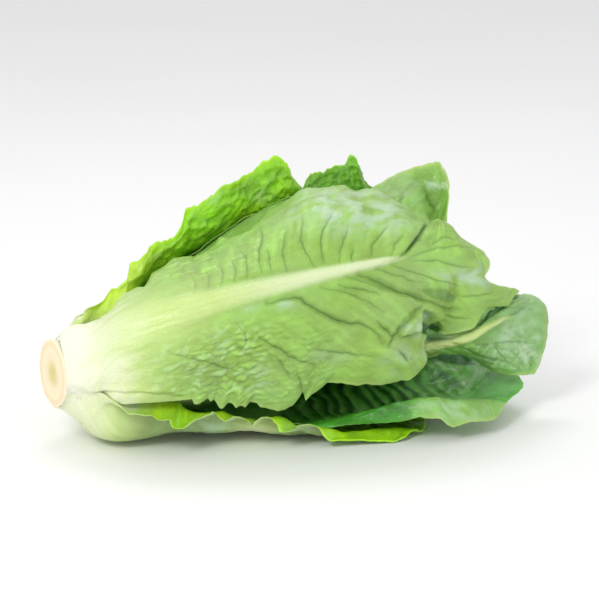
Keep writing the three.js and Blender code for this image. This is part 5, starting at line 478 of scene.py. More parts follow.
# Lines read off the photograph's frame for the visible leaves, in pixels.
# groove: (line, half width px, depth mm). Negative depth raises a fold.
# step: (line, reach px, height mm), raised on the line's left as it is drawn.
# edge: margins, (side of the net, line, reach inwards mm)
DETAIL = {
    "leaf_front_outer": dict(
        rib=([(60, 362), (75, 353), (90, 345), (125, 332), (160, 321), (200, 308.5), (240, 296.5), (280, 286), (320, 276), (360, 267), (385, 262), (405, 258)],
             [(60, 30), (90, 24), (125, 18), (160, 13.5), (200, 11), (250, 9), (300, 7.6), (340, 6), (380, 4.2), (400, 2.4), (412, .8)], (415, 60, 150)),
        groove=[
            ([(314, 267), (306, 254), (301, 241), (302, 230), (303.7, 218)], 1.5, .75),
            ([(324, 264), (321, 252), (320, 243.8), (323, 231), (331, 217)], 1.6, .95),
            ([(287, 272), (284, 260), (283, 251), (286, 231)], 1.5, .7),
            ([(271.8, 272), (269.5, 262), (268, 251.4)], 1.4, .6),
            ([(261.6, 274.4), (259, 260), (259, 251.4), (262.9, 237.4), (260.4, 226)], 1.5, .8),
            ([(247.6, 279.5), (247, 270), (246.3, 259), (242.5, 254)], 1.4, .7),
            ([(338, 263), (338.5, 256), (339.4, 250), (345.8, 237.4), (347, 228)], 1.7, .6),
            ([(352, 261.6), (351, 258), (353.5, 250)], 1.8, .9),
            ([(371.3, 256.5), (371.3, 247.6), (379, 237.4), (386, 228)], 1.7, .7),
            ([(235, 284), (236, 272), (233, 262)], 1.5, .45),
            ([(222, 288), (224, 276), (221, 266)], 1.5, .4),
            ([(209, 292), (210, 281), (207, 272)], 1.5, .35),
            ([(196, 296), (197, 287), (193, 279)], 1.5, .3),
            ([(391, 256), (394, 246), (402, 236)], 1.6, .4),
            ([(428, 221), (421, 232), (413, 244), (405, 253), (397, 259)], 1.7, 1.7),
            ([(412, 256), (430, 250), (455, 247), (476, 251)], 1.8, .35), ([(414, 261), (436, 261), (452, 266), (470, 268)], 1.8, .4),
            ([(372, 268), (395, 275), (420, 283)], 1.5, .45), ([(390, 266), (412, 272), (436, 281), (460, 286)], 1.5, .45),
            ([(345, 277), (366, 283), (388, 292)], 1.5, .5), ([(430, 246), (444, 238), (456, 240)], 2.0, .45),
            ([(440, 312), (455, 318), (468, 318)], 1.8, .5), ([(462, 296), (478, 296), (492, 292)], 1.8, .45),
            ([(268, 304.2), (285, 299), (299.9, 297.9), (307.6, 304.2), (320.3, 311.9), (339.4, 320.8), (350.9, 324.6),
              (358.6, 323), (371.3, 328.5), (377.7, 334.8), (384, 345)], 2.3, 1.8),
            ([(259, 337.4), (269.3, 343.8), (282, 350.2), (288.4, 356.5), (298.6, 360.4), (313.9, 364.2)], 2.2, 1.3),
            ([(206.8, 361.6), (218.3, 366.7), (234.8, 370.6)], 1.8, .9),
            ([(240, 350), (246, 342), (245, 332), (236, 324)], 1.8, .6),
            ([(312.7, 347.6), (326.7, 350.8), (352.2, 354), (372, 357)], 1.8, .7),
            ([(338, 286), (356, 289), (379, 294)], 1.8, .9),
            ([(320, 288), (345, 293), (368, 302), (384, 312)], 2.0, .6),
            ([(357.7, 275), (372, 279), (391.9, 289), (411, 295.4), (427.6, 300.5), (441.6, 306.9), (457, 309.4)], 2.6, 2.3),
            ([(297, 372), (300, 381), (302, 391)], 2.0, 1.0),
            ([(278, 358), (284, 368), (290, 378)], 1.6, .7),
            ([(170, 351), (188, 358), (206, 361)], 1.8, .6),
            ([(394, 338), (388, 332), (378, 322)], 2.0, 1.3),
            ([(399, 350), (403, 355), (407, 360)], 1.8, 1.4),
            ([(388, 346), (393, 338), (399, 329), (406, 320), (413, 313), (421, 305)], 1.3, 1.3),
            ([(420, 331), (411, 334), (400, 337)], 1.8, .9),
            ([(95, 390), (120, 392.5), (150, 393), (182, 396)], 1.6, .6),
            ([(376, 268), (386, 263), (398, 261)], 1.6, .4),
        ],
        fold=[
            ([(349.6, 290), (362, 302), (373.9, 315.7)], 3.2, 1.0),
            ([(424, 340), (425, 350), (423, 362)], 6.0, 1.8),
            ([(430, 234), (440, 227), (450, 228)], 4.0, 1.2), ([(418, 276), (432, 282), (450, 284)], 4.0, 1.0),
            ([(452, 256), (466, 250), (480, 254)], 4.0, 1.0), ([(300, 212), (318, 203), (334, 206)], 6.0, 1.2), ([(346, 204), (356, 212), (360, 224)], 6.0, 1.0),
            ([(384, 204), (392, 212), (404, 214)], 6.0, 1.2),
            ([(432.7, 268.6), (454.4, 272.4), (472.2, 267.3), (487.6, 262)], 4.5, 2.4),
            ([(213, 346), (218, 354), (222, 363)], 3.0, 1.1),
            ([(257, 372), (258, 380), (260, 389)], 3.4, 1.2),
            ([(267, 372), (271, 380), (276, 388)], 3.4, 1.2),
            ([(240, 352), (244, 360), (248, 366)], 2.8, .9),
            ([(259, 336), (270, 341), (283, 349)], 2.2, 1.0),
            ([(273, 303), (285, 303), (296, 306)], 3.8, 1.2),
            ([(250, 308), (262, 309)], 4.0, .7),
            ([(272, 326), (282, 330), (292, 336)], 3.4, .8),
            ([(296, 322), (305, 326), (316, 332)], 3.0, .7),
            ([(330, 312), (340, 316)], 3.0, .6),
            ([(110, 295), (120, 293), (131, 297)], 2.6, .8),
            ([(92, 386), (104, 387), (118, 389), (136, 388), (152, 390), (168, 390), (184, 392)], 2.6, .9),
            ([(113, 352), (130, 345), (152, 340), (176, 336)], 4.0, .6),
            ([(206, 330), (214, 336), (219, 345)], 2.6, .8),
            ([(206, 346), (212, 352), (214, 360)], 2.4, .8),
            ([(122, 362), (132, 366), (141, 374)], 3.0, .6),
            ([(142, 348), (150, 356), (156, 366)], 3.0, .6),
            ([(318, 352), (328, 356)], 4.5, .8),
        ],
        step=[
            ([(404, 255), (407.2, 248.2), (416, 238), (425, 226.5), (428, 222)], 16, 2.6),
            ([(268, 304.2), (299.9, 297.9), (320.3, 311.9), (350.9, 324.6), (377.7, 334.8)], 22, 1.4),
            ([(394, 338), (406, 321), (419, 309)], 9, -2.6),
        ],
        dent=[((436, 295), (16, 6), 3.0), ((452, 299), (9, 5), 1.4), ((424, 291), (8, 4), 1.2), ((430, 324), (9, 9), 3.0), ((246, 301), (14, 5), -.6), ((352, 215), (26, 16), -1.6),
              ((332, 240), (16, 18), -.8), ((400, 218), (14, 12), -1.2), ((395, 355), (22, 14), -1.8), ((210, 340), (18, 9), -.8)],
        warp=[((494, 322), (-5, -7), 13), ((522, 300), (-8, -2), 12), ((437, 346), (-12, -4), 13)],
        edge=[(0, [(425, 337), (436, 333.5), (447, 336), (454, 334.5), (462, 331.5), (468, 330.5), (474, 328), (480, 321.5), (486, 315),
                   (491, 308), (500, 306), (512, 298)], 8, (.885, 1.1)),
              (0, [(104, 399), (123, 404), (140, 403), (160, 402), (180, 400.5), (192, 399), (194, 404), (199, 404), (207.4, 398.6),
                   (210.6, 401.4), (213.8, 399), (217, 404), (221.5, 409.5), (227.2, 403), (232.3, 402.5), (236, 408), (240.6, 405),
                   (245, 407.6), (250, 402), (256.5, 402.5), (259.7, 407), (268, 408.2), (278.2, 410.7), (285.9, 408.8), (293.5, 404),
                   (299.9, 395), (302.2, 390.3), (305.6, 400), (310, 395.4), (318.4, 390.3), (324.1, 385.9), (326.7, 383), (339.4, 382.7),
                   (354.7, 385.2), (365, 384), (379, 385), (393, 382), (404, 379), (412, 377.5)], 9, (0, .80)),
              (1, [(46, 345), (57, 339), (63, 333.5), (69, 328), (76, 326), (86, 325), (100, 319), (108, 313), (112, 309), (118, 300), (123.8, 295), (138.4, 287), (143.5, 289), (148.6, 281), (152.4, 274), (165.2, 266.6), (174, 258.5),
                   (188.3, 257), (196.6, 256.5), (205.5, 253), (213.2, 245), (219.5, 236.5), (234.8, 238), (246.3, 237.4), (251.4, 231),
                   (260.4, 220.8), (269.3, 210.6), (278.2, 206.1), (288.4, 199.1), (298.6, 190.8), (307.6, 188), (321.6, 188.3),
                   (333, 185.7), (344.5, 185.1), (349, 190), (354, 192.5), (365, 190.2), (378, 190), (391, 198), (402, 206),
                   (417, 219), (425, 226), (430, 221), (438, 218.5), (447, 223), (459, 236), (474, 245.5)], 9)],
    ),
    "leaf_top_back": dict(
        groove=[
            ([(150, 262), (163, 252), (178, 246)], 2.2, .8), ([(187, 236), (190, 222), (196, 212)], 2.0, 1.0),
            ([(190, 246), (206, 232), (222, 226)], 2.4, .9), ([(215, 208), (226, 204), (236, 207)], 2.0, 1.0),
            ([(248, 200), (246, 188), (252, 176)], 2.0, 1.0), ([(120, 290), (130, 282), (142, 276)], 2.0, .9),
            ([(262, 196), (270, 184), (280, 172)], 2.0, 1.0), ([(232, 219), (244, 213), (249, 203)], 1.6, .6),
        ],
        fold=[
            ([(196, 240), (208, 236), (214, 228)], 4, 1.4), ([(205, 222), (222, 216)], 4, 1.2), ([(258, 200), (262, 190)], 4, 1.4),
            ([(160, 262), (176, 250)], 3.4, 1.2), ([(276, 185), (284, 172)], 3.6, 1.2), ([(228, 200), (236, 190)], 4, 1.0),
        ],
        roll=[(0, [(58, 0), (74, 1), (130, 1), (160, .6), (200, .3), (240, 0)], 0.0, 1.0, 7.0)],
        edge=[(0, [(50, 344), (58, 341), (66, 334), (70.8, 327.8), (75.3, 317.6), (83.6, 313.8), (88, 308.9), (93.8, 306.8), (102.7, 301.3), (106.5, 295.3), (111.6, 288),
                   (115.5, 288.9), (123.8, 281.9), (128.2, 278), (128.9, 265), (131, 262), (138.4, 260.8), (142.2, 256.4), (146.7, 253.2),
                   (149.3, 247), (156, 242), (163, 241), (172, 238), (180, 228.5), (183.2, 218.3), (184.5, 209), (189, 207.4),
                   (200.4, 204.2), (205.5, 198.5), (210.6, 196.6), (217, 191.5), (220.8, 185.7), (228.5, 183.8), (237.4, 180),
                   (245, 175), (253, 172), (262, 163), (270, 158), (278, 155), (283, 160), (287, 163), (291, 170), (296, 179)], 8)],
    ),
    "leaf_top_back_inner": dict(
        groove=[([(312, 186), (316, 178), (322, 172)], 1.8, .9), ([(330, 186), (334, 176), (338, 168)], 1.8, 1.0),
                ([(346, 186), (350, 174), (352, 164)], 1.8, .9)],
        fold=[([(322, 184), (326, 175)], 3.2, 1.2), ([(340, 184), (345, 172)], 3.2, 1.4), ([(356, 184), (357, 172)], 3.0, 1.0)],
        edge=[(0, [(299, 187), (303, 180), (307, 176), (313, 174), (319, 171), (324, 172), (330, 167), (337, 164), (343, 165), (347, 162),
                   (349, 156), (353, 155), (356, 160), (354, 163), (359, 168), (362, 176), (366, 188)], 7)],
    ),
    "leaf_top_front": dict(
        groove=[([(402, 196), (399, 206), (396, 214)], 2.2, .9), ([(424, 190), (432, 202), (440, 212)], 3.0, 1.2)],
        fold=[([(404, 188), (418, 184.5), (431.4, 184.4), (449.3, 190.8)], 3.4, 1.8)],
        dent=[((436, 202), (9, 12), 2.2), ((392, 200), (5, 3), 1.5), ((392, 178), (16, 7), -.6)],
    ),
    "leaf_front_inner": dict(
        groove=[([(506.7, 304.3), (492, 316), (482.4, 320.9), (469.7, 329.8)], 2.0, .8), ([(452, 344), (470, 352), (488, 362)], 1.6, .3),
                ([(500, 322), (516, 312), (530, 304)], 2.0, .7), ([(476, 345), (500, 342), (528, 342)], 1.5, .5),
                ([(492, 340), (498, 352), (508, 362)], 1.6, .5)],
        fold=[([(425, 346), (450, 341.5), (470, 338), (487, 328), (507, 317), (514, 313)], 3.4, 1.6),
              ([(452, 347), (480, 344), (504, 343)], 2.2, .8), ([(524, 362), (516, 366), (506, 368)], 4.5, 1.4), ([(500, 346), (508, 350)], 3, .6)],
        dent=[((508, 334), (14, 6), 1.4), ((431, 324), (14, 11), 4.0)],
        rib=([(418, 346.5), (430, 344.5), (449, 341.5), (470, 336.5), (485, 327.5), (500, 320), (512.6, 316)], [(418, 7), (430, 6.8), (450, 5.6), (470, 4.6), (488, 3.0), (512, 1.4)], (516, 420, 424)),
        edge=[(0, [(385, 358), (400, 349), (426, 346.5), (440, 345.5), (454.6, 347), (466, 353), (477.6, 361.5), (494.8, 371), (510, 374.5), (524.7, 375), (534, 374)], 13)],
    ),
    "leaf_bottom_inner": dict(
        groove=[([(426, 362), (444, 364), (460, 374), (472, 390)], 4.5, -1.2), ([(428, 385), (440, 378), (452, 374)], 1.6, .8), ([(444, 392), (452, 384), (462, 380)], 1.6, .8)],
        fold=[],
        pleat=True,
        dent=[((366, 427), (40, 5), 2.5)],
        edge=[(0, [(418, 420), (430, 418.5), (440, 418.5), (445, 422), (449, 426),
                   (454.6, 427.3), (460, 425.5), (469.5, 422), (481, 421.5), (490, 420.5), (498, 419), (503, 415)], 7)],
    ),
    "leaf_bottom_outer": dict(
        groove=[],
        roll=[(0, [(96, 0), (120, 1), (180, 1), (205, .55), (240, .25), (300, .2), (325, .22), (345, .24), (375, .34), (402, .36), (416, .2), (428, .1)], 13.5, 4.0)],
        fold=[],
        edge=[(0, [(40, 398), (58, 395), (74, 391.5), (88, 391.5), (98, 392), (106, 395.5), (113, 400.5), (123, 407), (129, 413), (138.4, 413.5), (147, 415), (152, 414.5), (157.6, 419), (165, 419.6),
                   (170, 418), (173, 427), (183, 427.3), (187, 426), (192, 422), (199.6, 419), (207, 415), (213.7, 412), (217.5, 415.8),
                   (225.2, 420.9), (233, 417), (240, 417.2), (247, 420), (251.5, 425), (259, 417.2), (266.8, 415.3), (271.9, 417.8),
                   (277, 423), (280.2, 431), (283.4, 431.8), (291, 431.2), (297.4, 426.5), (308.9, 424.8), (317.8, 427.4), (322.9, 434),
                   (329.3, 440.5), (337, 438.9), (361.2, 439.5), (380, 440.5), (393, 441.5), (404.5, 437.6), (412, 436.5), (420, 435)], 6)],
    ),
}

# per leaf: grid, strength of the blisters (mm), of the ruffled margin (mm), of the side veins, and the two faces'
# greens (sRGB)
LOOK = {
    "leaf_front_outer": dict(grid=(282, 168), blister=.68, ruffle=.5, vein=.22, out=(143, 187, 80), inn=(96, 170, 34), slot="leaf_outer", mint=.2, white=74, even=110, teeth=.55),
    # the lower leaf's white base is toned down and its outer green darkened: painted shade on its underside
    "leaf_bottom_outer": dict(grid=(224, 104), blister=.25, ruffle=.8, vein=.25, out=(138, 168, 94), inn=(142, 206, 6), slot="leaf_pale", mint=.25, white=62, whiteness=.8, even=60, tuck=.62),
    "leaf_bottom_inner": dict(grid=(230, 112), blister=.3, ruffle=.45, vein=.25, rib_in=.12, out=(134, 186, 88), inn=(66, 150, 38), slot="leaf_dark", mint=.3, white=40, painted_light=1, teeth=.3),
    "leaf_top_back": dict(grid=(220, 104), blister=1.25, ruffle=1.4, vein=.5, out=(150, 195, 85), inn=(134, 204, 34), slot="leaf_bright", mint=.08, white=16, even=60, base=(206, 240, 60)),
    "leaf_top_back_inner": dict(grid=(150, 84), blister=1.2, ruffle=1.2, vein=.5, out=(120, 180, 70), inn=(140, 216, 92), slot="leaf_dark", mint=.15),
    "leaf_top_front": dict(grid=(150, 90), blister=.3, ruffle=.4, vein=.3, rib_out=.15, out=(124, 172, 70), inn=(110, 172, 52), slot="leaf_soft", mint=.25),
    "leaf_front_inner": dict(grid=(180, 96), blister=.55, ruffle=.5, vein=.45, out=(112, 166, 74), inn=(60, 130, 34), slot="leaf_soft", mint=.45, tone=.1, teeth=.3),
    "leaf_back_outer": dict(grid=(190, 110), blister=.8, ruffle=1.2, vein=.8, out=(136, 184, 78), inn=(110, 172, 44), slot="leaf_outer", mint=.5),
    "leaf_back_inner": dict(grid=(110, 70), blister=.6, ruffle=1.2, vein=.5, out=(140, 190, 84), inn=(104, 170, 44), slot="leaf_soft", mint=.4),
    "leaf_bottom_heart": dict(grid=(90, 50), blister=.6, ruffle=1.0, vein=.45, out=(120, 180, 60), inn=(110, 180, 50), slot="leaf_soft", mint=.2, short=.86),
}


def linear(c):
    out = []
    for x in c:
        x = x / 255.0
        out.append(x / 12.92 if x <= 0.04045 else ((x + 0.055) / 1.055) ** 2.4)
    return tuple(out) + (1.0,)


# ---------------------------------------------------------------------------
# Materials
# ---------------------------------------------------------------------------
class Nodes:
    def __init__(self, name):
        self.mat = bpy.data.materials.new(name)
        self.mat.use_nodes = True
        self.t = self.mat.node_tree
        self.t.nodes.clear()
        self.out = self.t.nodes.new("ShaderNodeOutputMaterial")
        self.bsdf = self.t.nodes.new("ShaderNodeBsdfPrincipled")
        self.link(self.bsdf.outputs[0], self.out.inputs[0])

    def link(self, a, b):
        self.t.links.new(a, b)

    def put(self, socket, value):
        if isinstance(value, bpy.types.NodeSocket):
            self.link(value, socket)
        else:
            socket.default_value = value

    def attribute(self, name):
        n = self.t.nodes.new("ShaderNodeAttribute")
        n.attribute_name = name
        return n.outputs["Fac"]

    def noise(self, scale, detail=3.0, roughness=0.5, distortion=0.0, vector=None, seed=0.0):
        n = self.t.nodes.new("ShaderNodeTexNoise")
        n.noise_dimensions = "4D"
        n.inputs["Scale"].default_value = scale
        n.inputs["Detail"].default_value = detail
        n.inputs["Roughness"].default_value = roughness
        n.inputs["Distortion"].default_value = distortion
        n.inputs["W"].default_value = seed
        self.link(vector if vector is not None else self.place(), n.inputs["Vector"])
        return n.outputs["Fac"]

    def cellular(self, scale, feature="DISTANCE_TO_EDGE", vector=None):
        n = self.t.nodes.new("ShaderNodeTexVoronoi")
        n.feature = feature
        n.inputs["Scale"].default_value = scale
        self.link(vector if vector is not None else self.place(), n.inputs["Vector"])
        return n.outputs["Distance"]

    def place(self):
        if not hasattr(self, "_place"):
            self._place = self.t.nodes.new("ShaderNodeTexCoord").outputs["Object"]
        return self._place

    def ramp(self, fac, stops):
        n = self.t.nodes.new("ShaderNodeValToRGB")
        e = n.color_ramp.elements
        while len(e) < len(stops):
            e.new(0.5)
        for s, (p, c) in zip(e, stops):
            s.position = p
            s.color = c if isinstance(c, tuple) else (c, c, c, 1)
        self.put(n.inputs[0], fac)
        return n.outputs[0]

    def math(self, op, a, b=0.0, clamp=False):
        n = self.t.nodes.new("ShaderNodeMath")
        n.operation = op
        n.use_clamp = clamp
        self.put(n.inputs[0], a)
        self.put(n.inputs[1], b)
        return n.outputs[0]

    def mix(self, fac, a, b, kind="MIX"):
        n = self.t.nodes.new("ShaderNodeMix")
        n.data_type = "RGBA"
        n.blend_type = kind
        self.put(n.inputs[0], fac)
        self.put(n.inputs[6], a)
        self.put(n.inputs[7], b)
        return n.outputs[2]

    def bump(self, height, strength, distance):
        n = self.t.nodes.new("ShaderNodeBump")
        n.inputs["Strength"].default_value = strength
        n.inputs["Distance"].default_value = distance
        self.link(height, n.inputs["Height"])
        self.link(n.outputs[0], self.bsdf.inputs["Normal"])


def leaf_material(name, look, seed):
    N = Nodes(name)
    side, pale, rib, vein, margin, painted_sheen, near, keen, painted_shade, tone, mottle_and_painted_light, painted_light, young = (
        N.attribute(a) for a in ("side", "pale", "rib", "vein", "margin", "painted_sheen", "near", "keen", "painted_shade", "tone", "mottle_and_painted_light", "painted_light", "young"))
    # crisp dark line along the drawn veins and creases: a painted shadow in the colour, a real dip in the bump
    crisp = N.math("MULTIPLY", N.ramp(N.math("DIVIDE", N.math("ABSOLUTE", near), 4.0), [(.06, 1.0), (.27, 0.0)]), keen)
    big = N.noise(26, 3, 0.5, 0.4, seed=seed)
    fine = N.noise(170, 4, 0.6, 0.2, seed=seed + 3)
    speck = N.noise(700, 2, 0.5, 0.0, seed=seed + 7)

    def shade(c, k, warm=0.0):
        r, g, b = c
        return linear((min(255, r * k + warm * 18), min(255, g * k + warm * 6), max(0, b * k - warm * 14)))

    o, i = look["out"], look["inn"]
    outer = N.mix(N.ramp(big, [(.34, 0.0), (.66, 1.0)]), shade(o, .90, .35), shade(o, 1.07, -.15))
    inner = N.mix(N.ramp(big, [(.34, 0.0), (.66, 1.0)]), shade(i, .80, .1), shade(i, 1.16, .25))
    colour = N.mix(side, inner, outer)
    # lighter and darker by the mottle: random mottling and streaks, with painted highlights and painted shade on the
    # front leaves' blisters
    colour = N.mix(N.math("MULTIPLY", N.ramp(mottle_and_painted_light, [(.5, 0.0), (1.0, 1.0)]), .75), colour, N.mix(side, shade(i, 1.35, .2), shade(o, 1.22, -.3)))
    colour = N.mix(N.math("MULTIPLY", N.ramp(mottle_and_painted_light, [(0.0, 1.0), (.5, 0.0)]), .75), colour, N.mix(side, shade(i, .62), shade(o, .80, .4)))
    # painted light: a lighter green on the shaded leaf below, on its pleat ridges
    colour = N.mix(painted_light, colour, linear((120, 196, 84)))
    # painted light: the inner face near the base brightened to a bright yellow-green where it lies in shade
    if "base" in look:
        colour = N.mix(N.math("MULTIPLY", young, .9), colour, linear(look["base"]))
    # small islands between the finest veins
    net = N.ramp(N.cellular(430), [(.0, 0.0), (.09, 1.0)])
    colour = N.mix(N.math("MULTIPLY", N.math("SUBTRACT", 1.0, net), .16), colour, N.mix(side, shade(i, 1.35, .3), shade(o, 1.16, .2)))
    colour = N.mix(N.math("MULTIPLY", N.ramp(fine, [(.42, 0.0), (.75, 1.0)]), .30), colour, N.mix(side, shade(i, .72), shade(o, .86, .3)))
    # the waxy bloom on the outer face, a pale mint that is partly a painted sheen of reflected light, and the painted
    # sheen patches
    bloom_and_sheen = N.math("MULTIPLY", N.math("MULTIPLY", N.ramp(N.noise(17, 4, .62, .8, seed=seed + 11), [(.46, 0.0), (.72, 1.0)]), side), look["mint"])
    bloom_and_sheen = N.math("ADD", bloom_and_sheen, N.math("MULTIPLY", painted_sheen, .9), clamp=True)
    colour = N.mix(bloom_and_sheen, colour, linear((176, 206, 166)))
    # darker along veins, creases, pleat valleys and blister hollows: the veins' own green and painted shade
    colour = N.mix(N.math("MULTIPLY", vein, .55), colour, N.mix(side, shade(i, .6), shade(o, .74, .1)))
    # painted shadow line along the drawn veins and creases
    colour = N.mix(N.math("MULTIPLY", crisp, .55), colour, N.mix(side, shade(i, .62), linear((56, 112, 30))))
    colour = N.mix(N.math("MULTIPLY", margin, .5), colour, N.mix(side, shade(i, 1.25, .5), linear((196, 222, 140))))
    ribs = N.mix(N.noise(90, 3, .5, .3, seed=seed + 2), linear((182, 206, 112)), linear((200, 220, 140)))
    ribs = N.mix(tone, ribs, linear((212, 224, 178)))
    colour = N.mix(rib, colour, ribs)
    white = N.mix(N.noise(60, 3, .5, .3, seed=seed + 5), linear((236, 240, 206)), linear((246, 246, 230)))
    cream = N.mix(N.noise(75, 3, .5, .3, seed=seed + 6), linear((190, 216, 124)), linear((206, 226, 150)))
    colour = N.mix(N.ramp(pale, [(0.0, 0.0), (.6, 1.0)]), colour, cream)
    colour = N.mix(N.ramp(pale, [(.50, 0.0), (.97, look.get("whiteness", 1.0))]), colour, white)
    # painted shade: deep green where little light falls
    colour = N.mix(painted_shade, colour, linear((16, 92, 14)))
    N.link(colour, N.bsdf.inputs["Base Color"])
    gloss = N.ramp(N.noise(120, 3, .55, .2, seed=seed + 13), [(.3, .34), (.7, .50)])
    N.link(gloss, N.bsdf.inputs["Roughness"])
    N.bsdf.inputs["Specular IOR Level"].default_value = 0.5
    N.bsdf.inputs["Coat Weight"].default_value = 0.18
    N.bsdf.inputs["Coat Roughness"].default_value = 0.28
    N.bsdf.inputs["Subsurface Weight"].default_value = 0.22
    N.bsdf.inputs["Subsurface Radius"].default_value = (0.9, 1.0, 0.35)
    N.bsdf.inputs["Subsurface Scale"].default_value = 0.0035
    height = N.math("ADD", N.math("MULTIPLY", net, .5), N.math("ADD", N.math("MULTIPLY", fine, .9), N.math("MULTIPLY", speck, .12)))
    height = N.math("SUBTRACT", height, N.math("MULTIPLY", crisp, 1.2))
    N.bump(height, .45, .0009)
    return N.mat


# ---------------------------------------------------------------------------
# Closed mesh from two matching grids
# ---------------------------------------------------------------------------
def shell(name, inner, outer, flip, values):
    nu, nv, _ = inner.shape
    count = nu * nv
    ix = np.arange(count).reshape(nu, nv)
    a, b, c, d = ix[:-1, :-1], ix[1:, :-1], ix[1:, 1:], ix[:-1, 1:]
    outerq = np.stack([a, b, c, d], -1).reshape(-1, 4) + count
    innerq = np.stack([a, d, c, b], -1).reshape(-1, 4)
    rim = np.concatenate([ix[:-1, 0], ix[-1, :-1], ix[:0:-1, -1], ix[0, :0:-1]])
    nxt = np.roll(rim, -1)
    rimq = np.stack([nxt + count, rim + count, rim, nxt], -1)
    quads = np.concatenate([outerq, innerq, rimq])
    if flip:
        quads = quads[:, ::-1]
    me = bpy.data.meshes.new(name)
    me.from_pydata((np.concatenate([inner.reshape(-1, 3), outer.reshape(-1, 3)]) / 1000.0).tolist(), [], quads.tolist())
    me.shade_smooth()
    for key, (vin, vout) in values.items():
        at = me.attributes.new(key, "FLOAT", "POINT")
        at.data.foreach_set("value", np.concatenate([np.broadcast_to(vin, (nu, nv)).ravel(), np.broadcast_to(vout, (nu, nv)).ravel()]).astype(np.float32))
    me.update()
    ob = bpy.data.objects.new(name, me)
    scene.collection.objects.link(ob)
    return ob


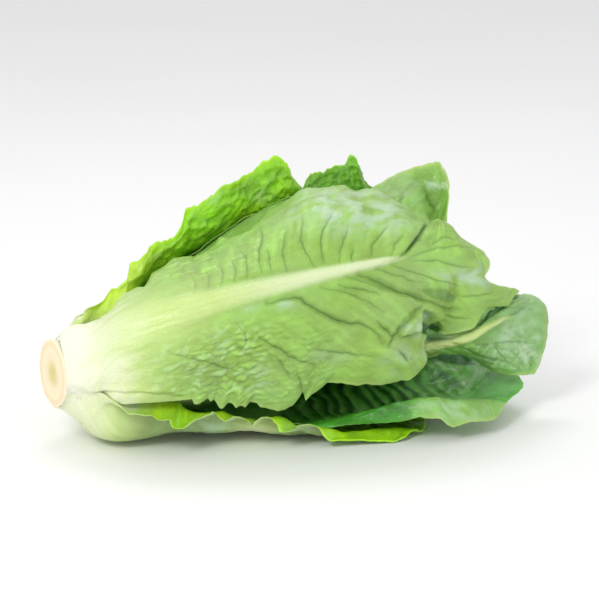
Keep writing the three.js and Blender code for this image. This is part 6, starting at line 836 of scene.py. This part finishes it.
def build_leaf(index, name, start, rib, outward, net):
    hidden = "heart" in name
    look = LOOK.get(name)
    if look is None:
        k = int(name.split("_")[-1]) - 1
        t = k / 8.0
        mixc = lambda p, q: tuple(p[j] * (1 - t) + q[j] * t for j in range(3))
        look = dict(grid=(92, 50), blister=.45, ruffle=1.0, vein=.4, out=mixc((156, 200, 96), (224, 228, 140)),
                    inn=mixc((140, 190, 70), (216, 224, 120)), slot="leaf_heart", mint=.2)
    det = DETAIL.get(name, {})
    nu, nv = look["grid"]
    seed = 40 + 31 * index
    P, n, Pu, Pv = surface(np.array(net, float), nu, nv, look.get("short", 1.0))
    n = n * outward
    if look.get("even"):
        d0 = P[..., 0] - CUT_X - start
        k = (smooth((d0 - 3) / 9) * smooth((66 - d0) / 22))[..., None]
        Q = P.copy()
        for _ in range(look["even"]):
            Q[1:-1] = (Q[:-2] + 2 * Q[1:-1] + Q[2:]) / 4
        P = P * (1 - k) + Q * k
        Pu, Pv = np.gradient(P, axis=0), np.gradient(P, axis=1)
        n = np.cross(Pu, Pv)
        n *= outward / np.linalg.norm(n, axis=-1, keepdims=True)
    mid = nv // 2
    step_v = np.linalg.norm(np.diff(P, axis=1), axis=-1)
    w = np.concatenate([np.zeros((nu, 1)), np.cumsum(step_v, axis=1)], axis=1)
    v = np.linspace(-1, 1, nv)[None, :]
    centre = (w[:, (nv - 1) // 2:(nv - 1) // 2 + 1] + w[:, nv // 2:nv // 2 + 1]) / 2
    w = w - centre
    step_u = np.linalg.norm(np.diff(P, axis=0), axis=-1)
    s_each = np.concatenate([np.zeros((1, nv)), np.cumsum(step_u, axis=0)], axis=0)
    s = np.broadcast_to(s_each[:, mid:mid + 1], (nu, nv))
    to_tip = s_each[-1:] - s_each
    left, right = w - w[:, :1], w[:, -1:] - w
    rim = np.minimum(np.minimum(left, right), to_tip)
    d = P[..., 0] - CUT_X - start
    wr = table(d, RIB_WIDTH)
    ribs = np.exp(-(v / wr) ** 2)
    thick = rib * table(d, RIB_HEIGHT) * ribs
    q = seen(P)
    body = smooth((d - 28) / 60.0)                     # no crumpling at the clasping base
    blade = 1 - np.exp(-(np.abs(v) / (wr * 1.15)) ** 4)  # nor on the midrib
    plane = CUT_X + 3.5 - .125 * P[..., 1]
    tt = P[..., 0] - plane
    P[..., 0] = plane + np.where(tt > 9, tt, .5 + 8.5 * (np.clip(tt + 6, 0, 15) / 15) ** 1.7)
    if "tuck" in look:
        P = P - n * (look["tuck"] * thick * smooth((150 - d) / 50))[..., None]
    # ---- margins drawn to their lines
    uu = np.linspace(0, 1, nu)
    for which, line, reach, *part in det.get("edge", []):
        L = np.array(line, float)
        col = 0 if which == 0 else -1
        x, y = q[:, col, 0], q[:, col, 1]
        u0, u1 = part[0] if part else (-1, 2)
        inside = (x > L[0, 0]) & (x < L[-1, 0]) & (uu >= u0) & (uu <= u1)
        dy = np.where(inside, np.interp(x, L[:, 0], L[:, 1]) - y, 0)
        ease = smooth((x - L[0, 0]) / 12) * smooth((L[-1, 0] - x) / 12)
        dy = np.clip(dy * ease, -26, 26)
        far = left if which == 0 else right
        grip = np.exp(-(far / reach) ** 2) * 0.65 + np.exp(-(far / (reach * 2.6)) ** 2) * 0.35
        P = P - (dy[:, None] * grip)[..., None] * PX * UP
    for (cx, cy), (mx, my), radius in det.get("warp", []):
        g = np.exp(-(((q[..., 0] - cx) ** 2 + (q[..., 1] - cy) ** 2) / radius ** 2))[..., None] * smooth((125 - to_tip) / 20)[..., None]
        P = P + g * (mx * PX * RIGHT - my * PX * UP)
    if "roll" in det:
        # the margin rolls outwards, so that the inner face shows as a strip above it
        q = seen(P)
        for axis, when, high, out, *_ in det["roll"]:
            far = left if axis == 0 else right
            k = np.interp(q[..., 0], [a for a, b in when], [b for a, b in when])
            if len(det["roll"][0]) > 4:
                near_base = smooth((q[..., 0] - 62) / 12) * smooth((158 - q[..., 0]) / 46)
                P = P + (k * (1 - .8 * near_base) * det["roll"][0][4] * np.exp(-((far - 11) / 9.0) ** 2))[..., None] * BACK
                # at the base the margin leans back and the blade folds in behind the next leaf
                P = P + (near_base * (12.5 * np.exp(-((far - 19) / 9.5) ** 2) - 7.0 * np.exp(-(far / 6.0) ** 2)))[..., None] * BACK
                P = P - (near_base * 6.5 * np.exp(-((far - 17.5) / 8.5) ** 2))[..., None] * UP
            P = P + (k * high * np.exp(-((far - 10.5) / 6.5) ** 2) * (1 - np.exp(-(far / 4.0) ** 2)))[..., None] * UP + (k * out * np.exp(-(far / 7.0) ** 2))[..., None] * BACK
    if name == "leaf_top_back":
        n = np.cross(np.gradient(P, axis=0), np.gradient(P, axis=1))
        n *= outward / np.linalg.norm(n, axis=-1, keepdims=True)
    q = seen(P)
    wob = np.stack([rough(q[..., 0] / 9, q[..., 1] / 9, seed + 201, 2), rough(q[..., 0] / 9, q[..., 1] / 9, seed + 202, 2)], -1)
    true_q = q
    q = q + 1.5 * wob
    h = np.zeros((nu, nv))
    vein = np.zeros((nu, nv))
    near = np.full((nu, nv), 6.0)                      # signed distance to the nearest drawn vein, px
    keen = np.zeros((nu, nv))
    # ---- veins and creases that the photograph shows
    for line, width, depth in det.get("groove", []):
        dist, side, how = along(q, line)
        taper = np.sqrt(np.clip(np.sin(np.pi * np.clip(how * .86 + .10, 0, 1)), 0, 1))
        g = np.exp(-(dist / width) ** 2) * taper
        h -= depth * g
        h += depth * .42 * np.exp(-((dist - width * 2.6) / (width * 1.9)) ** 2) * taper
        # darker green along the drawn veins and creases: the veins' own green and painted shade in the grooves
        vein = np.maximum(vein, g * min(1.0, .35 + depth * .4))
        closer = dist < np.abs(near)
        near = np.where(closer, side * dist, near)
        keen = np.where(closer, taper * smooth((3.4 - dist) / 1.0) * min(.9, .5 + .2 * depth), keen)
    for line, width, height in det.get("fold", []):
        dist, side, how = along(q, line)
        taper = np.sqrt(np.clip(np.sin(np.pi * np.clip(how * .8 + .1, 0, 1)), 0, 1))
        h += height * np.exp(-(dist / width) ** 2) * taper
    for line, reach, height in det.get("step", []):
        dist, side, how = along(q, line)
        taper = np.clip(np.sin(np.pi * np.clip(how * .9 + .05, 0, 1)), 0, 1)
        h += -side * height * .5 * np.tanh(dist / 1.4) * np.exp(-(dist / reach) ** 2) * taper
    for (cx, cy), (rx, ry), depth in det.get("dent", []):
        h -= depth * np.exp(-((q[..., 0] - cx) / rx) ** 2 - ((q[..., 1] - cy) / ry) ** 2)
    q = true_q
    # ---- side veins in general: they leave the midrib and lean towards the tip
    sgn = np.sign(v) + (v == 0)
    slant = .55 + .35 * smooth(d / 220.0)
    if name == "leaf_front_outer":
        slant = np.where(v < 0, 1.2, .15)
    streak = rough((s - slant * np.abs(w)) / 4.2 + 9 * (np.sign(v) + 1), w / 24, seed + 301, 3)
    streak2 = rough((s - slant * np.abs(w)) / 11.0, w / 30, seed + 305, 2)
    spacing = 13.0
    qv = (s - slant * np.abs(w) - .0035 * w * w + 2.2 * rough(s / 26, w / 26 + 9 * sgn, seed) + 40) / spacing + np.where(sgn > 0, .37, 0)
    jitter = .35 * (hash2(np.round(qv), sgn, seed) - .5)
    dist = np.abs(qv - np.round(qv) - jitter) * spacing * .8
    line = np.exp(-(dist / (1.25 - .5 * np.clip(np.abs(v), 0, 1))) ** 2)
    fade = body * blade * smooth((rim - 1.5) / 9) * smooth((1.05 - np.abs(v)) / .5)
    own = 0.25 if name == "leaf_front_outer" else 1.0
    h -= look["vein"] * 1.6 * line * fade * own
    # darker green along the side veins: their own green and painted shade in the grooves
    vein = np.maximum(vein, .55 * line * fade * own * (look["vein"] + .35))
    # ---- pleats of the dark leaf below
    if det.get("pleat"):
        qq = (q[..., 0] - .75 * (q[..., 1] - 400)) / 14.2 + .9 * wave(s / 30, w / 30, seed + 70) + .34 * rough(s / 15, w / 22, seed + 72, 2)
        depth = 1.5 * smooth((q[..., 0] - 258) / 40) * smooth((470 - q[..., 0]) / 50) * smooth((v + .62) / .3) * smooth((.97 - v) / .2)
        depth = depth * (.6 + .8 * smooth(.5 + 1.3 * rough(s / 19, w / 16, seed + 74, 2)))
        h += .8 * depth * np.cos(2 * np.pi * qq) * smooth((rim - 3) / 8) * smooth(-(P[..., 1] - 8) / 20)
        valley = smooth((.12 - np.cos(2 * np.pi * qq)) / .9) * smooth(depth) * smooth((rim - 3) / 8)
        # painted shade in the pleat valleys
        vein = np.maximum(vein, .9 * (0.5 - 0.5 * np.cos(2 * np.pi * qq)) * smooth(depth) * smooth((rim - 3) / 8))
    # ---- blistered blade between the veins
    bx, by = s / 7.5 + .5 * wave(s / 11, w / 11, seed + 3), w / 6.0 + .5 * wave(s / 9, w / 9, seed + 4)
    if name == "leaf_front_outer":
        bx = (s - slant * .8 * np.abs(w)) / 9.5 + .5 * wave(s / 11, w / 11, seed + 3)
        by = w / 4.6 + .5 * wave(s / 9, w / 9, seed + 4)
    f1, f2, who = cells(bx, by, seed + 21)
    puff = smooth((f2 - f1) / .55)
    c1, c2, who2 = cells(s / 3.4 + 5, w / 3.0, seed + 33)
    small = smooth((c2 - c1) / .6)
    patch = .35 + .65 * smooth((rough(s / 34, w / 30, seed + 51, 2) + .25) / .5)
    if name == "leaf_front_outer":
        low = smooth((q[..., 1] - (372 - .28 * q[..., 0]) - 4) / 18)     # below the midrib
        left_up = (1 - low) * smooth((232 - q[..., 0]) / 40)
        patch = (.35 + .65 * patch) * (.25 + .95 * low * smooth((345 - q[..., 0]) / 60) + .75 * left_up)
    zone = body * blade * smooth(rim / 7)
    h += look["blister"] * patch * zone * ((puff * (.5 + who) - .45) * 1.5 + .45 * (small - .5) * (.4 + who2))
    # painted shade in the hollows between the blisters
    vein = np.maximum(vein, (.18 if name == "leaf_front_outer" else .3) * zone * patch * (1 - smooth((f2 - f1) / .16)))
    h += (.30 * streak + .45 * streak2) * zone * look.get("streak", .8)
    mottle_and_painted_light = np.clip(.5 + .42 * streak * zone + .30 * rough(s / 13, w / 10, seed + 311, 3) + .22 * streak2 * zone, 0, 1)
    # painted highlight on the blister tops, painted shade in the hollows between them
    if name == "leaf_front_outer":
        pillow_highlight = puff * smooth((who - .35) / .4) * zone * smooth((300 - q[..., 0]) / 60) * smooth((q[..., 0] - 120) / 50)
        mottle_and_painted_light = np.clip(mottle_and_painted_light + .35 * pillow_highlight - .25 * zone * patch * (1 - smooth((f2 - f1) / .25)), 0, 1)
    # small blisters: the surface is raised a little, and a painted sheen lies on them in the colour (lighter mottle,
    # pale mint)
    blister_sheen = np.zeros((nu, nv))
    if name == "leaf_front_outer":
        blister_sheen = smooth((rough(s / 6.5, w / 4.6, seed + 331, 3) - .10) / .22) * smooth((q[..., 0] - 96) / 26) * smooth((285 - q[..., 0]) / 50) * low * smooth((rim - 3) / 6)
        mottle_and_painted_light = np.clip(mottle_and_painted_light + .30 * blister_sheen, 0, 1)
        h += .22 * blister_sheen
    if name == "leaf_front_inner":
        blister_sheen = smooth((rough(s / 4.2, w / 3.6, seed + 331, 3) - .10) / .2) * smooth((q[..., 0] - 458) / 16) * smooth((q[..., 1] - 336) / 12) * smooth((rim - 2) / 5)
        mottle_and_painted_light = np.clip(mottle_and_painted_light + .35 * blister_sheen, 0, 1)
        h += .30 * blister_sheen
    # ---- slow waves, and the ruffled margin
    h += body * (.55 * look["blister"] + .35) * 1.5 * rough(s / 48, w / 44, seed + 61, 2) * smooth(rim / 16)
    edge = np.exp(-(np.minimum(left, right) / 9.0) ** 1.4)
    whichside = np.where(left < right, 0, 50)
    h += look["ruffle"] * body * edge * (1.9 * wave(s / 17 + whichside, s * 0 + .5, seed + 81) + .9 * wave(s / 6.5 + whichside, s * 0 + .5, seed + 82))
    etip = np.exp(-(to_tip / 8.0) ** 1.4)
    h += look["ruffle"] * etip * (1.6 * wave(w / 15, w * 0 + .5, seed + 85) + .7 * wave(w / 6, w * 0 + .5, seed + 86))
    # ---- small teeth where no line was drawn
    for col, far in ((0, left), (1, right)):
        if any(e[0] == col for e in det.get("edge", [])):
            out = Pv / np.linalg.norm(Pv, axis=-1, keepdims=True) * (-1 if col == 0 else 1)
            tooth = np.abs(2 * ((s / 5.2 + .9 * wave(s / 13, s * 0 + col, seed + 93)) % 1) - 1) - .5
            tooth = tooth * (.55 + wave(s / 11, s * 0 + 2.2, seed + 94))
            P = P + out * ((2.2 * tooth) * look.get("teeth", 1.0) * body * np.exp(-(far / 3.2) ** 2))[..., None]
            continue
        tooth = np.abs(2 * ((s / 8.5 + .8 * wave(s / 20, s * 0 + col, seed + 91)) % 1) - 1) - .5
        big = wave(s / 24, s * 0 + 3.3 * col, seed + 92)
        out = Pv / np.linalg.norm(Pv, axis=-1, keepdims=True) * (-1 if col == 0 else 1)
        P = P + out * ((1.5 * tooth + 3.2 * big) * look["ruffle"] * body * np.exp(-(far / 5.0) ** 2))[..., None]
    tooth = np.abs(2 * ((w / 8.0 + .8 * wave(w / 20, w * 0, seed + 95)) % 1) - 1) - .5
    out = Pu / np.linalg.norm(Pu, axis=-1, keepdims=True)
    P = P + out * ((1.0 * tooth + 2.4 * wave(w / 22, w * 0, seed + 96)) * look["ruffle"] * np.exp(-(to_tip / 6.0) ** 2))[..., None]
    # ---- long fluting along the midrib's flanks
    h += .30 * smooth(d / 30) * ribs * np.cos(np.pi * 2 * w / 5.2 + .7 * wave(s / 30, w / 9, seed + 7)) * smooth((150 - d) / 80) * .5
    for poly, depth in HOLES.get(name, []):
        inside = within(q, poly)
        h -= depth * smooth(inside / 3.2)
    # ---- what the material reads
    span = look.get("white", 62 if not hidden else 90)
    base = 1 - smooth((d + 9 * wave(s / 34, w / 5.5, seed + 5) + 4 * wave(s / 12, w / 8, seed + 6) - 6) / span)
    core = (1 - smooth((d - 12) / (span + 26))) * np.exp(-(v / (wr * 1.2)) ** 2)
    pale = np.clip(np.maximum(base ** 1.2, .75 * core), 0, 1)
    pale_in = pale if hidden else pale * (1 - .85 * np.exp(-(np.minimum(left, right) / 13.0) ** 2) * smooth((d - 14) / 22))
    # the pale lobes of the lower rim: their own pale colour, painted lighter where they lie in the head's shade
    if name == "leaf_bottom_outer":
        pale = np.clip(pale + .85 * np.exp(-((q[..., 0] - 252) / 24) ** 2 - ((q[..., 1] - 431) / 8) ** 2), 0, 1)
    ribm = np.exp(-(v / (wr * .62)) ** 4) * smooth((265 - d) / 90)
    if "rib" in det:
        dist, side, how = along(q, det["rib"][0])
        half = table(q[..., 0], det["rib"][1])
        stop, begin, full = det["rib"][2]
        span = smooth((stop - q[..., 0]) / (38 if begin < 200 else 18))
        ribm = np.exp(-(dist / half) ** 4) * span * smooth((q[..., 0] - begin) / (full - begin))
        h += (1.7 if begin < 200 else .9) * np.exp(-(dist / (half * .85)) ** 2.6) * span * smooth((q[..., 0] - begin - .4 * (full - begin)) / (full - begin))
        h -= .55 * np.exp(-((dist - 1.35 * half) / 2.2) ** 2) * span * smooth((q[..., 0] - begin - .4 * (full - begin)) / (full - begin))
        h += .22 * np.cos(side * dist * 2 * np.pi / 4.6) * ribm * smooth((330 - q[..., 0]) / 120) * smooth((q[..., 0] - 70) / 50)
    margin = np.exp(-(rim / 1.6) ** 1.5)
    painted_shade = np.zeros((nu, nv))
    for poly, k in PAINTED_SHADE.get(name, []):
        painted_shade = np.maximum(painted_shade, k * smooth(within(q, poly) / 3.0 + .05))
    # painted shade in the pleat valleys
    if det.get("pleat"):
        painted_shade = np.maximum(painted_shade, .82 * valley * smooth((424 - q[..., 0]) / 14) * smooth((q[..., 0] - 276) / 26))
    out_in = np.zeros((nu, nv))
    out_out = np.ones((nu, nv))
    if name == "leaf_bottom_inner":
        out_in = .9 * smooth((-.50 - v) / .12) * smooth((q[..., 0] - 395) / 40) * np.ones((nu, nv))
    if name == "leaf_bottom_outer":
        out_out = 1 - .85 * smooth((q[..., 0] - 318) / 22)
    # painted sheen and painted light: pale mint patches
    painted_sheen = np.zeros((nu, nv))
    for (cx, cy), (rx, ry), k in PAINTED_SHEEN.get(name, []):
        painted_sheen += k * np.exp(-((q[..., 0] - cx) / rx) ** 2 - ((q[..., 1] - cy) / ry) ** 2)
    painted_sheen = np.clip(painted_sheen * smooth(.5 + 1.15 * rough(s / 12, w / 9, seed + 15, 4)) * 1.25 + .42 * blister_sheen, 0, 1)
    skin = np.minimum(.75, .32 + rim / 14.0)
    T = np.maximum(skin, thick)
    floor_pad = 0.1
    inner = P + n * h[..., None]
    outer = P + n * (h + T)[..., None]
    if name == "leaf_bottom_outer":
        outer[..., 2] -= .6 * smooth((14 - outer[..., 2]) / 10)
    outer[..., 2] = np.maximum(outer[..., 2], floor_pad)
    inner[..., 2] = np.maximum(inner[..., 2], floor_pad + .45)
    tone = smooth((q[..., 0] - 190) / 130) * look.get("tone", 1.0)
    painted_light = np.zeros((nu, nv))
    # painted light where the leaf below lies in shade, kept off the dark valleys
    if look.get("painted_light"):
        painted_light = .95 * smooth((q[..., 0] - 285) / 30) * smooth((478 - q[..., 0]) / 20) * smooth((v + .5) / .1) * np.clip(1 - 1.15 * vein, 0, 1)
        painted_light = np.maximum(painted_light, .75 * smooth((q[..., 0] - 190) / 15) * smooth((312 - q[..., 0]) / 30) * np.clip(1 - .8 * vein, 0, 1))
    values = dict(side=(out_in, out_out), tone=(tone, tone), mottle_and_painted_light=(mottle_and_painted_light, mottle_and_painted_light), painted_light=(painted_light, 0 * painted_light), young=(1 - smooth((d - 30) / 55), 0 * d), painted_shade=(painted_shade, painted_shade), pale=(pale_in, pale), rib=(ribm * look.get("rib_in", .5), ribm * look.get("rib_out", 1.0)), vein=(vein, vein), margin=(margin, margin), painted_sheen=(painted_sheen, painted_sheen), near=(near, near), keen=(keen, keen))
    ob = shell("blade_" + name[5:], inner, outer, outward < 0, values)
    ob.data.materials.append(leaf_material("look_" + name[5:], look, index * 3.7))
    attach(ob, "root")
    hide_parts(name)
    return ob


def within(q, poly):
    """How far inside a polygon each point lies, in pixels (0 outside)."""
    L = np.array(poly + poly[:1], float)
    dist, _, _ = along(q, L)
    odd = np.zeros(q.shape[:-1], bool)
    for a, b in zip(L[:-1], L[1:]):
        cross = (a[1] > q[..., 1]) != (b[1] > q[..., 1])
        x = a[0] + (q[..., 1] - a[1]) / (b[1] - a[1] if b[1] != a[1] else 1e-9) * (b[0] - a[0])
        odd ^= cross & (q[..., 0] < x)
    return np.where(odd, dist, 0.0)


# where a blade gives way and the dark inside shows: polygon px, depth mm
HOLES = {"leaf_front_outer": [([(420, 306), (405, 319), (393, 337), (408, 335), (421, 333), (421, 320)], -3.2),
                               ([(421, 308), (427, 310), (433, 313), (438, 319), (441, 325), (442, 331), (436, 333), (426, 335), (421.5, 334), (421, 322)], 3.0)]}
# painted shade, deep green where little light falls: polygon px, strength
PAINTED_SHADE = {
    "leaf_front_outer": [([(421, 314), (429, 322), (436, 326), (442, 328), (442, 334), (426, 337), (420, 333)], .95),
                         ([(421, 308), (433, 311), (441, 325), (442, 334), (420, 334)], .35),
                         ([(425, 222), (428, 226), (419, 240), (409, 252), (403, 255), (407, 246), (416, 234)], .7),
                         ([(417, 289), (430, 287), (446, 288), (458, 297), (454, 304), (440, 303), (427, 297)], .42)],
    "leaf_top_back": [([(172, 264), (183, 252), (200, 245), (216, 239), (233, 231), (246, 224), (257, 213), (256, 226), (240, 242), (214, 252), (196, 260)], .5)],
    "leaf_front_inner": [([(425, 335), (449, 336), (474, 329), (491, 307), (504, 303), (508, 308), (494, 316), (482, 326), (468, 334), (449, 340), (426, 344)], .85),
                         ([(508, 305), (514, 294), (522, 294), (517, 300)], .9),
                         ([(452, 348), (478, 352), (500, 356), (494, 366), (474, 362), (462, 352)], .3)],
    "leaf_bottom_inner": [([(420, 346), (446, 346), (470, 356), (479, 366), (466, 368), (446, 364), (424, 359)], .97),
                          ([(430, 368), (448, 370), (462, 382), (470, 392), (452, 388), (438, 378)], .6),
                          ([(325, 433), (345, 424), (372, 420), (392, 422), (402, 430), (380, 433)], .75),
                          ([(318, 436), (340, 420), (366, 411), (392, 405), (410, 402), (414, 416), (408, 432), (380, 437)], .38)],
}


# painted sheen: pale mint highlights and reflections on the wax, and lighter patches where a leaf lies in shade:
# (centre px), (radii px), strength
PAINTED_SHEEN = {
    "leaf_front_outer": [((440, 296), (9, 3.5), .7), ((330, 205), (46, 20), .8), ((385, 215), (34, 20), .7), ((350, 225), (30, 12), .5), ((281, 304), (16, 5), .7),
                         ((262, 380), (12, 14), .5), ((460, 277), (30, 7), .8), ((478, 280), (14, 12), .6), ((330, 356), (20, 6), .4),
                         ((410, 326), (8, 10), 1.0), ((427, 317), (5, 4.5), 1.0), ((131, 295), (10, 3.5), .7), ((398, 356), (20, 18), .5), ((246, 309), (16, 4), .4), ((425, 345), (10, 14), .5), ((214, 348), (10, 12), .4)],
    "leaf_front_inner": [((520, 335), (24, 22), .6), ((530, 358), (18, 8), .6)],
    "leaf_top_front": [((432, 186), (20, 4), .9), ((400, 205), (14, 14), .6)],
    "leaf_bottom_inner": [((436, 362), (11, 2.2), .9), ((453, 368), (9, 3), .9), ((465, 380), (6, 8), .8), ((478, 371), (9, 8), .6), ((462, 412), (24, 8), .7), ((430, 405), (30, 5), .4)],
    "leaf_top_back": [((206, 222), (14, 7), .35), ((262, 196), (14, 9), .4), ((204, 240), (8, 5), .35), ((212, 196), (14, 8), .3)],
    "leaf_bottom_outer": [((130, 422), (34, 8), .3), ((215, 427), (22, 8), .8), ((253, 431), (26, 7), 1.0), ((300, 435), (18, 6), .8)],
}

for index, (name, start, rib, outward, net) in enumerate(LEAVES):
    build_leaf(index, name, start, rib, outward, net)


# ---------------------------------------------------------------------------
# Stem: the core with its cut face
# ---------------------------------------------------------------------------
def axis_height(d):
    return 43 + 33 * smooth((d - 30) / 125.0)


def build_stem():
    sides = 160
    rings = []                                     # (distance from the cut, radius, share of the cut face's radius)
    R = 19.7
    for k in range(1, 34):
        r = R * k / 34.0
        rings.append((.35 + .35 * math.cos(r / R * 3.0) * .6, r, r / R))
    rings += [(.30, R * .99, 1.0), (.9, R + .1, 1.02), (2.2, 19.2, 1.1), (4, 18.5, 1.2), (8, 17.6, 1.3), (16, 16.6, 1.4), (30, 15, 1.5), (45, 13, 1.6),
              (60, 11, 1.7), (72, 9, 1.8), (84, 6.8, 1.9), (92, 4.2, 2.0), (96.6, 1.6, 2.0)]
    a = np.linspace(0, 2 * np.pi, sides, endpoint=False)
    verts, radial, mark = [], [], []
    for d, r, share in rings:
        wob = 1 + (.012 * np.cos(3 * a + 1) + .008 * np.cos(7 * a)) * min(1, share) ** 2
        x = CUT_X + d + (.28 * wave(np.cos(a) * r / 3.2, np.sin(a) * r / 3.2, 5) + .15 * wave(np.cos(a) * r / 1.1, np.sin(a) * r / 1.1, 6) if share <= 1 else 0)
        x = np.maximum(x, CUT_X + .02)
        end = 1 - smooth((d - 1) / 24)
        x = x + end * (3.3 - .125 * r * np.cos(a))
        verts.append(np.stack([x + a * 0, r * wob * np.cos(a), axis_height(d) + 1.2 * end + r * wob * np.sin(a)], -1))
        radial += [share] * sides
    V = np.concatenate(verts)
    tip_a = np.array([[CUT_X + 3.8, 0, axis_height(0) + 1.2]])
    tip_b = np.array([[CUT_X + 96.8, 0, axis_height(96.8)]])
    V = np.concatenate([V, tip_a, tip_b])
    radial += [0.0, 2.0]
    faces = []
    for i in range(len(rings) - 1):
        for k in range(sides):
            b = (k + 1) % sides
            faces.append([i * sides + k, i * sides + b, (i + 1) * sides + b, (i + 1) * sides + k])
    n0, n1 = len(V) - 2, len(V) - 1
    last = (len(rings) - 1) * sides
    for k in range(sides):
        b = (k + 1) % sides
        faces.append([n0, b, k])
        faces.append([n1, last + k, last + b])
    me = bpy.data.meshes.new("core")
    me.from_pydata((V / 1000).tolist(), [], faces)
    me.shade_smooth()
    at = me.attributes.new("radial", "FLOAT", "POINT")
    at.data.foreach_set("value", np.array(radial, np.float32))
    me.update()
    ob = bpy.data.objects.new("core", me)
    scene.collection.objects.link(ob)
    N = Nodes("cut_stem")
    radialn = N.attribute("radial")
    warp = N.math("ADD", radialn, N.math("MULTIPLY", N.math("SUBTRACT", N.noise(110, 3, .55, .3), .5), .16))
    rings_c = N.ramp(N.math("MULTIPLY", warp, .5), [
        (.0, linear((208, 196, 128))), (.09, linear((214, 202, 136))), (.16, linear((226, 212, 158))), (.23, linear((240, 224, 190))),
        (.36, linear((244, 229, 196))), (.43, linear((238, 214, 176))), (.49, linear((244, 226, 194))), (.56, linear((246, 244, 226)))])
    fibre = N.ramp(N.noise(900, 2, .5, 0), [(.35, 0.0), (.7, 1.0)])
    colour = N.mix(N.math("MULTIPLY", fibre, .22), rings_c, linear((236, 212, 172)))
    N.link(colour, N.bsdf.inputs["Base Color"])
    N.link(N.ramp(N.noise(260, 3, .5, 0), [(.3, .42), (.7, .62)]), N.bsdf.inputs["Roughness"])
    N.bsdf.inputs["Subsurface Weight"].default_value = 0.25
    N.bsdf.inputs["Subsurface Radius"].default_value = (1.0, .8, .5)
    N.bsdf.inputs["Subsurface Scale"].default_value = 0.004
    N.bump(N.noise(1100, 3, .6, 0), .35, .0004)
    me.materials.append(N.mat)
    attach(ob, "root")
    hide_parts("stem")


build_stem()

# ---------------------------------------------------------------------------
# Floor, light
# ---------------------------------------------------------------------------
me = bpy.data.meshes.new("ground")
me.from_pydata([(-6, -6, 0), (6, -6, 0), (6, 6, 0), (-6, 6, 0)], [], [(0, 1, 2, 3)])
ground = bpy.data.objects.new("ground", me)
scene.collection.objects.link(ground)
G = Nodes("ground")
G.link(G.mix(G.noise(3, 2), (.86, .86, .86, 1), (.9, .9, .9, 1)), G.bsdf.inputs["Base Color"])
G.bsdf.inputs["Roughness"].default_value = .9
me.materials.append(G.mat)

world = bpy.data.worlds.new("studio")
scene.world = world
world.use_nodes = True
bg = world.node_tree.nodes["Background"]
bg.inputs[0].default_value = (1.0, 1.0, 1.0, 1)
bg.inputs[1].default_value = 0.82


def area(name, place, target, size, power, colour=(1, 1, 1)):
    data = bpy.data.lights.new(name, "AREA")
    data.shape = "RECTANGLE"
    data.size, data.size_y = size
    data.energy = power
    data.color = colour
    ob = bpy.data.objects.new(name, data)
    scene.collection.objects.link(ob)
    ob.location = place
    ob.rotation_euler = (Vector(target) - Vector(place)).to_track_quat("-Z", "Y").to_euler()


area("key", (-.9, -.95, .95), (0, 0, .06), (.38, .38), 9.5, (1, .995, .98))
area("fill", (.9, -1.0, .45), (0, 0, .06), (.6, .5), 1.2, (.97, 1, 1))
area("top", (.05, .55, 1.2), (0, 0, .06), (.6, .5), 3.2)

scene.view_settings.view_transform = "Standard"
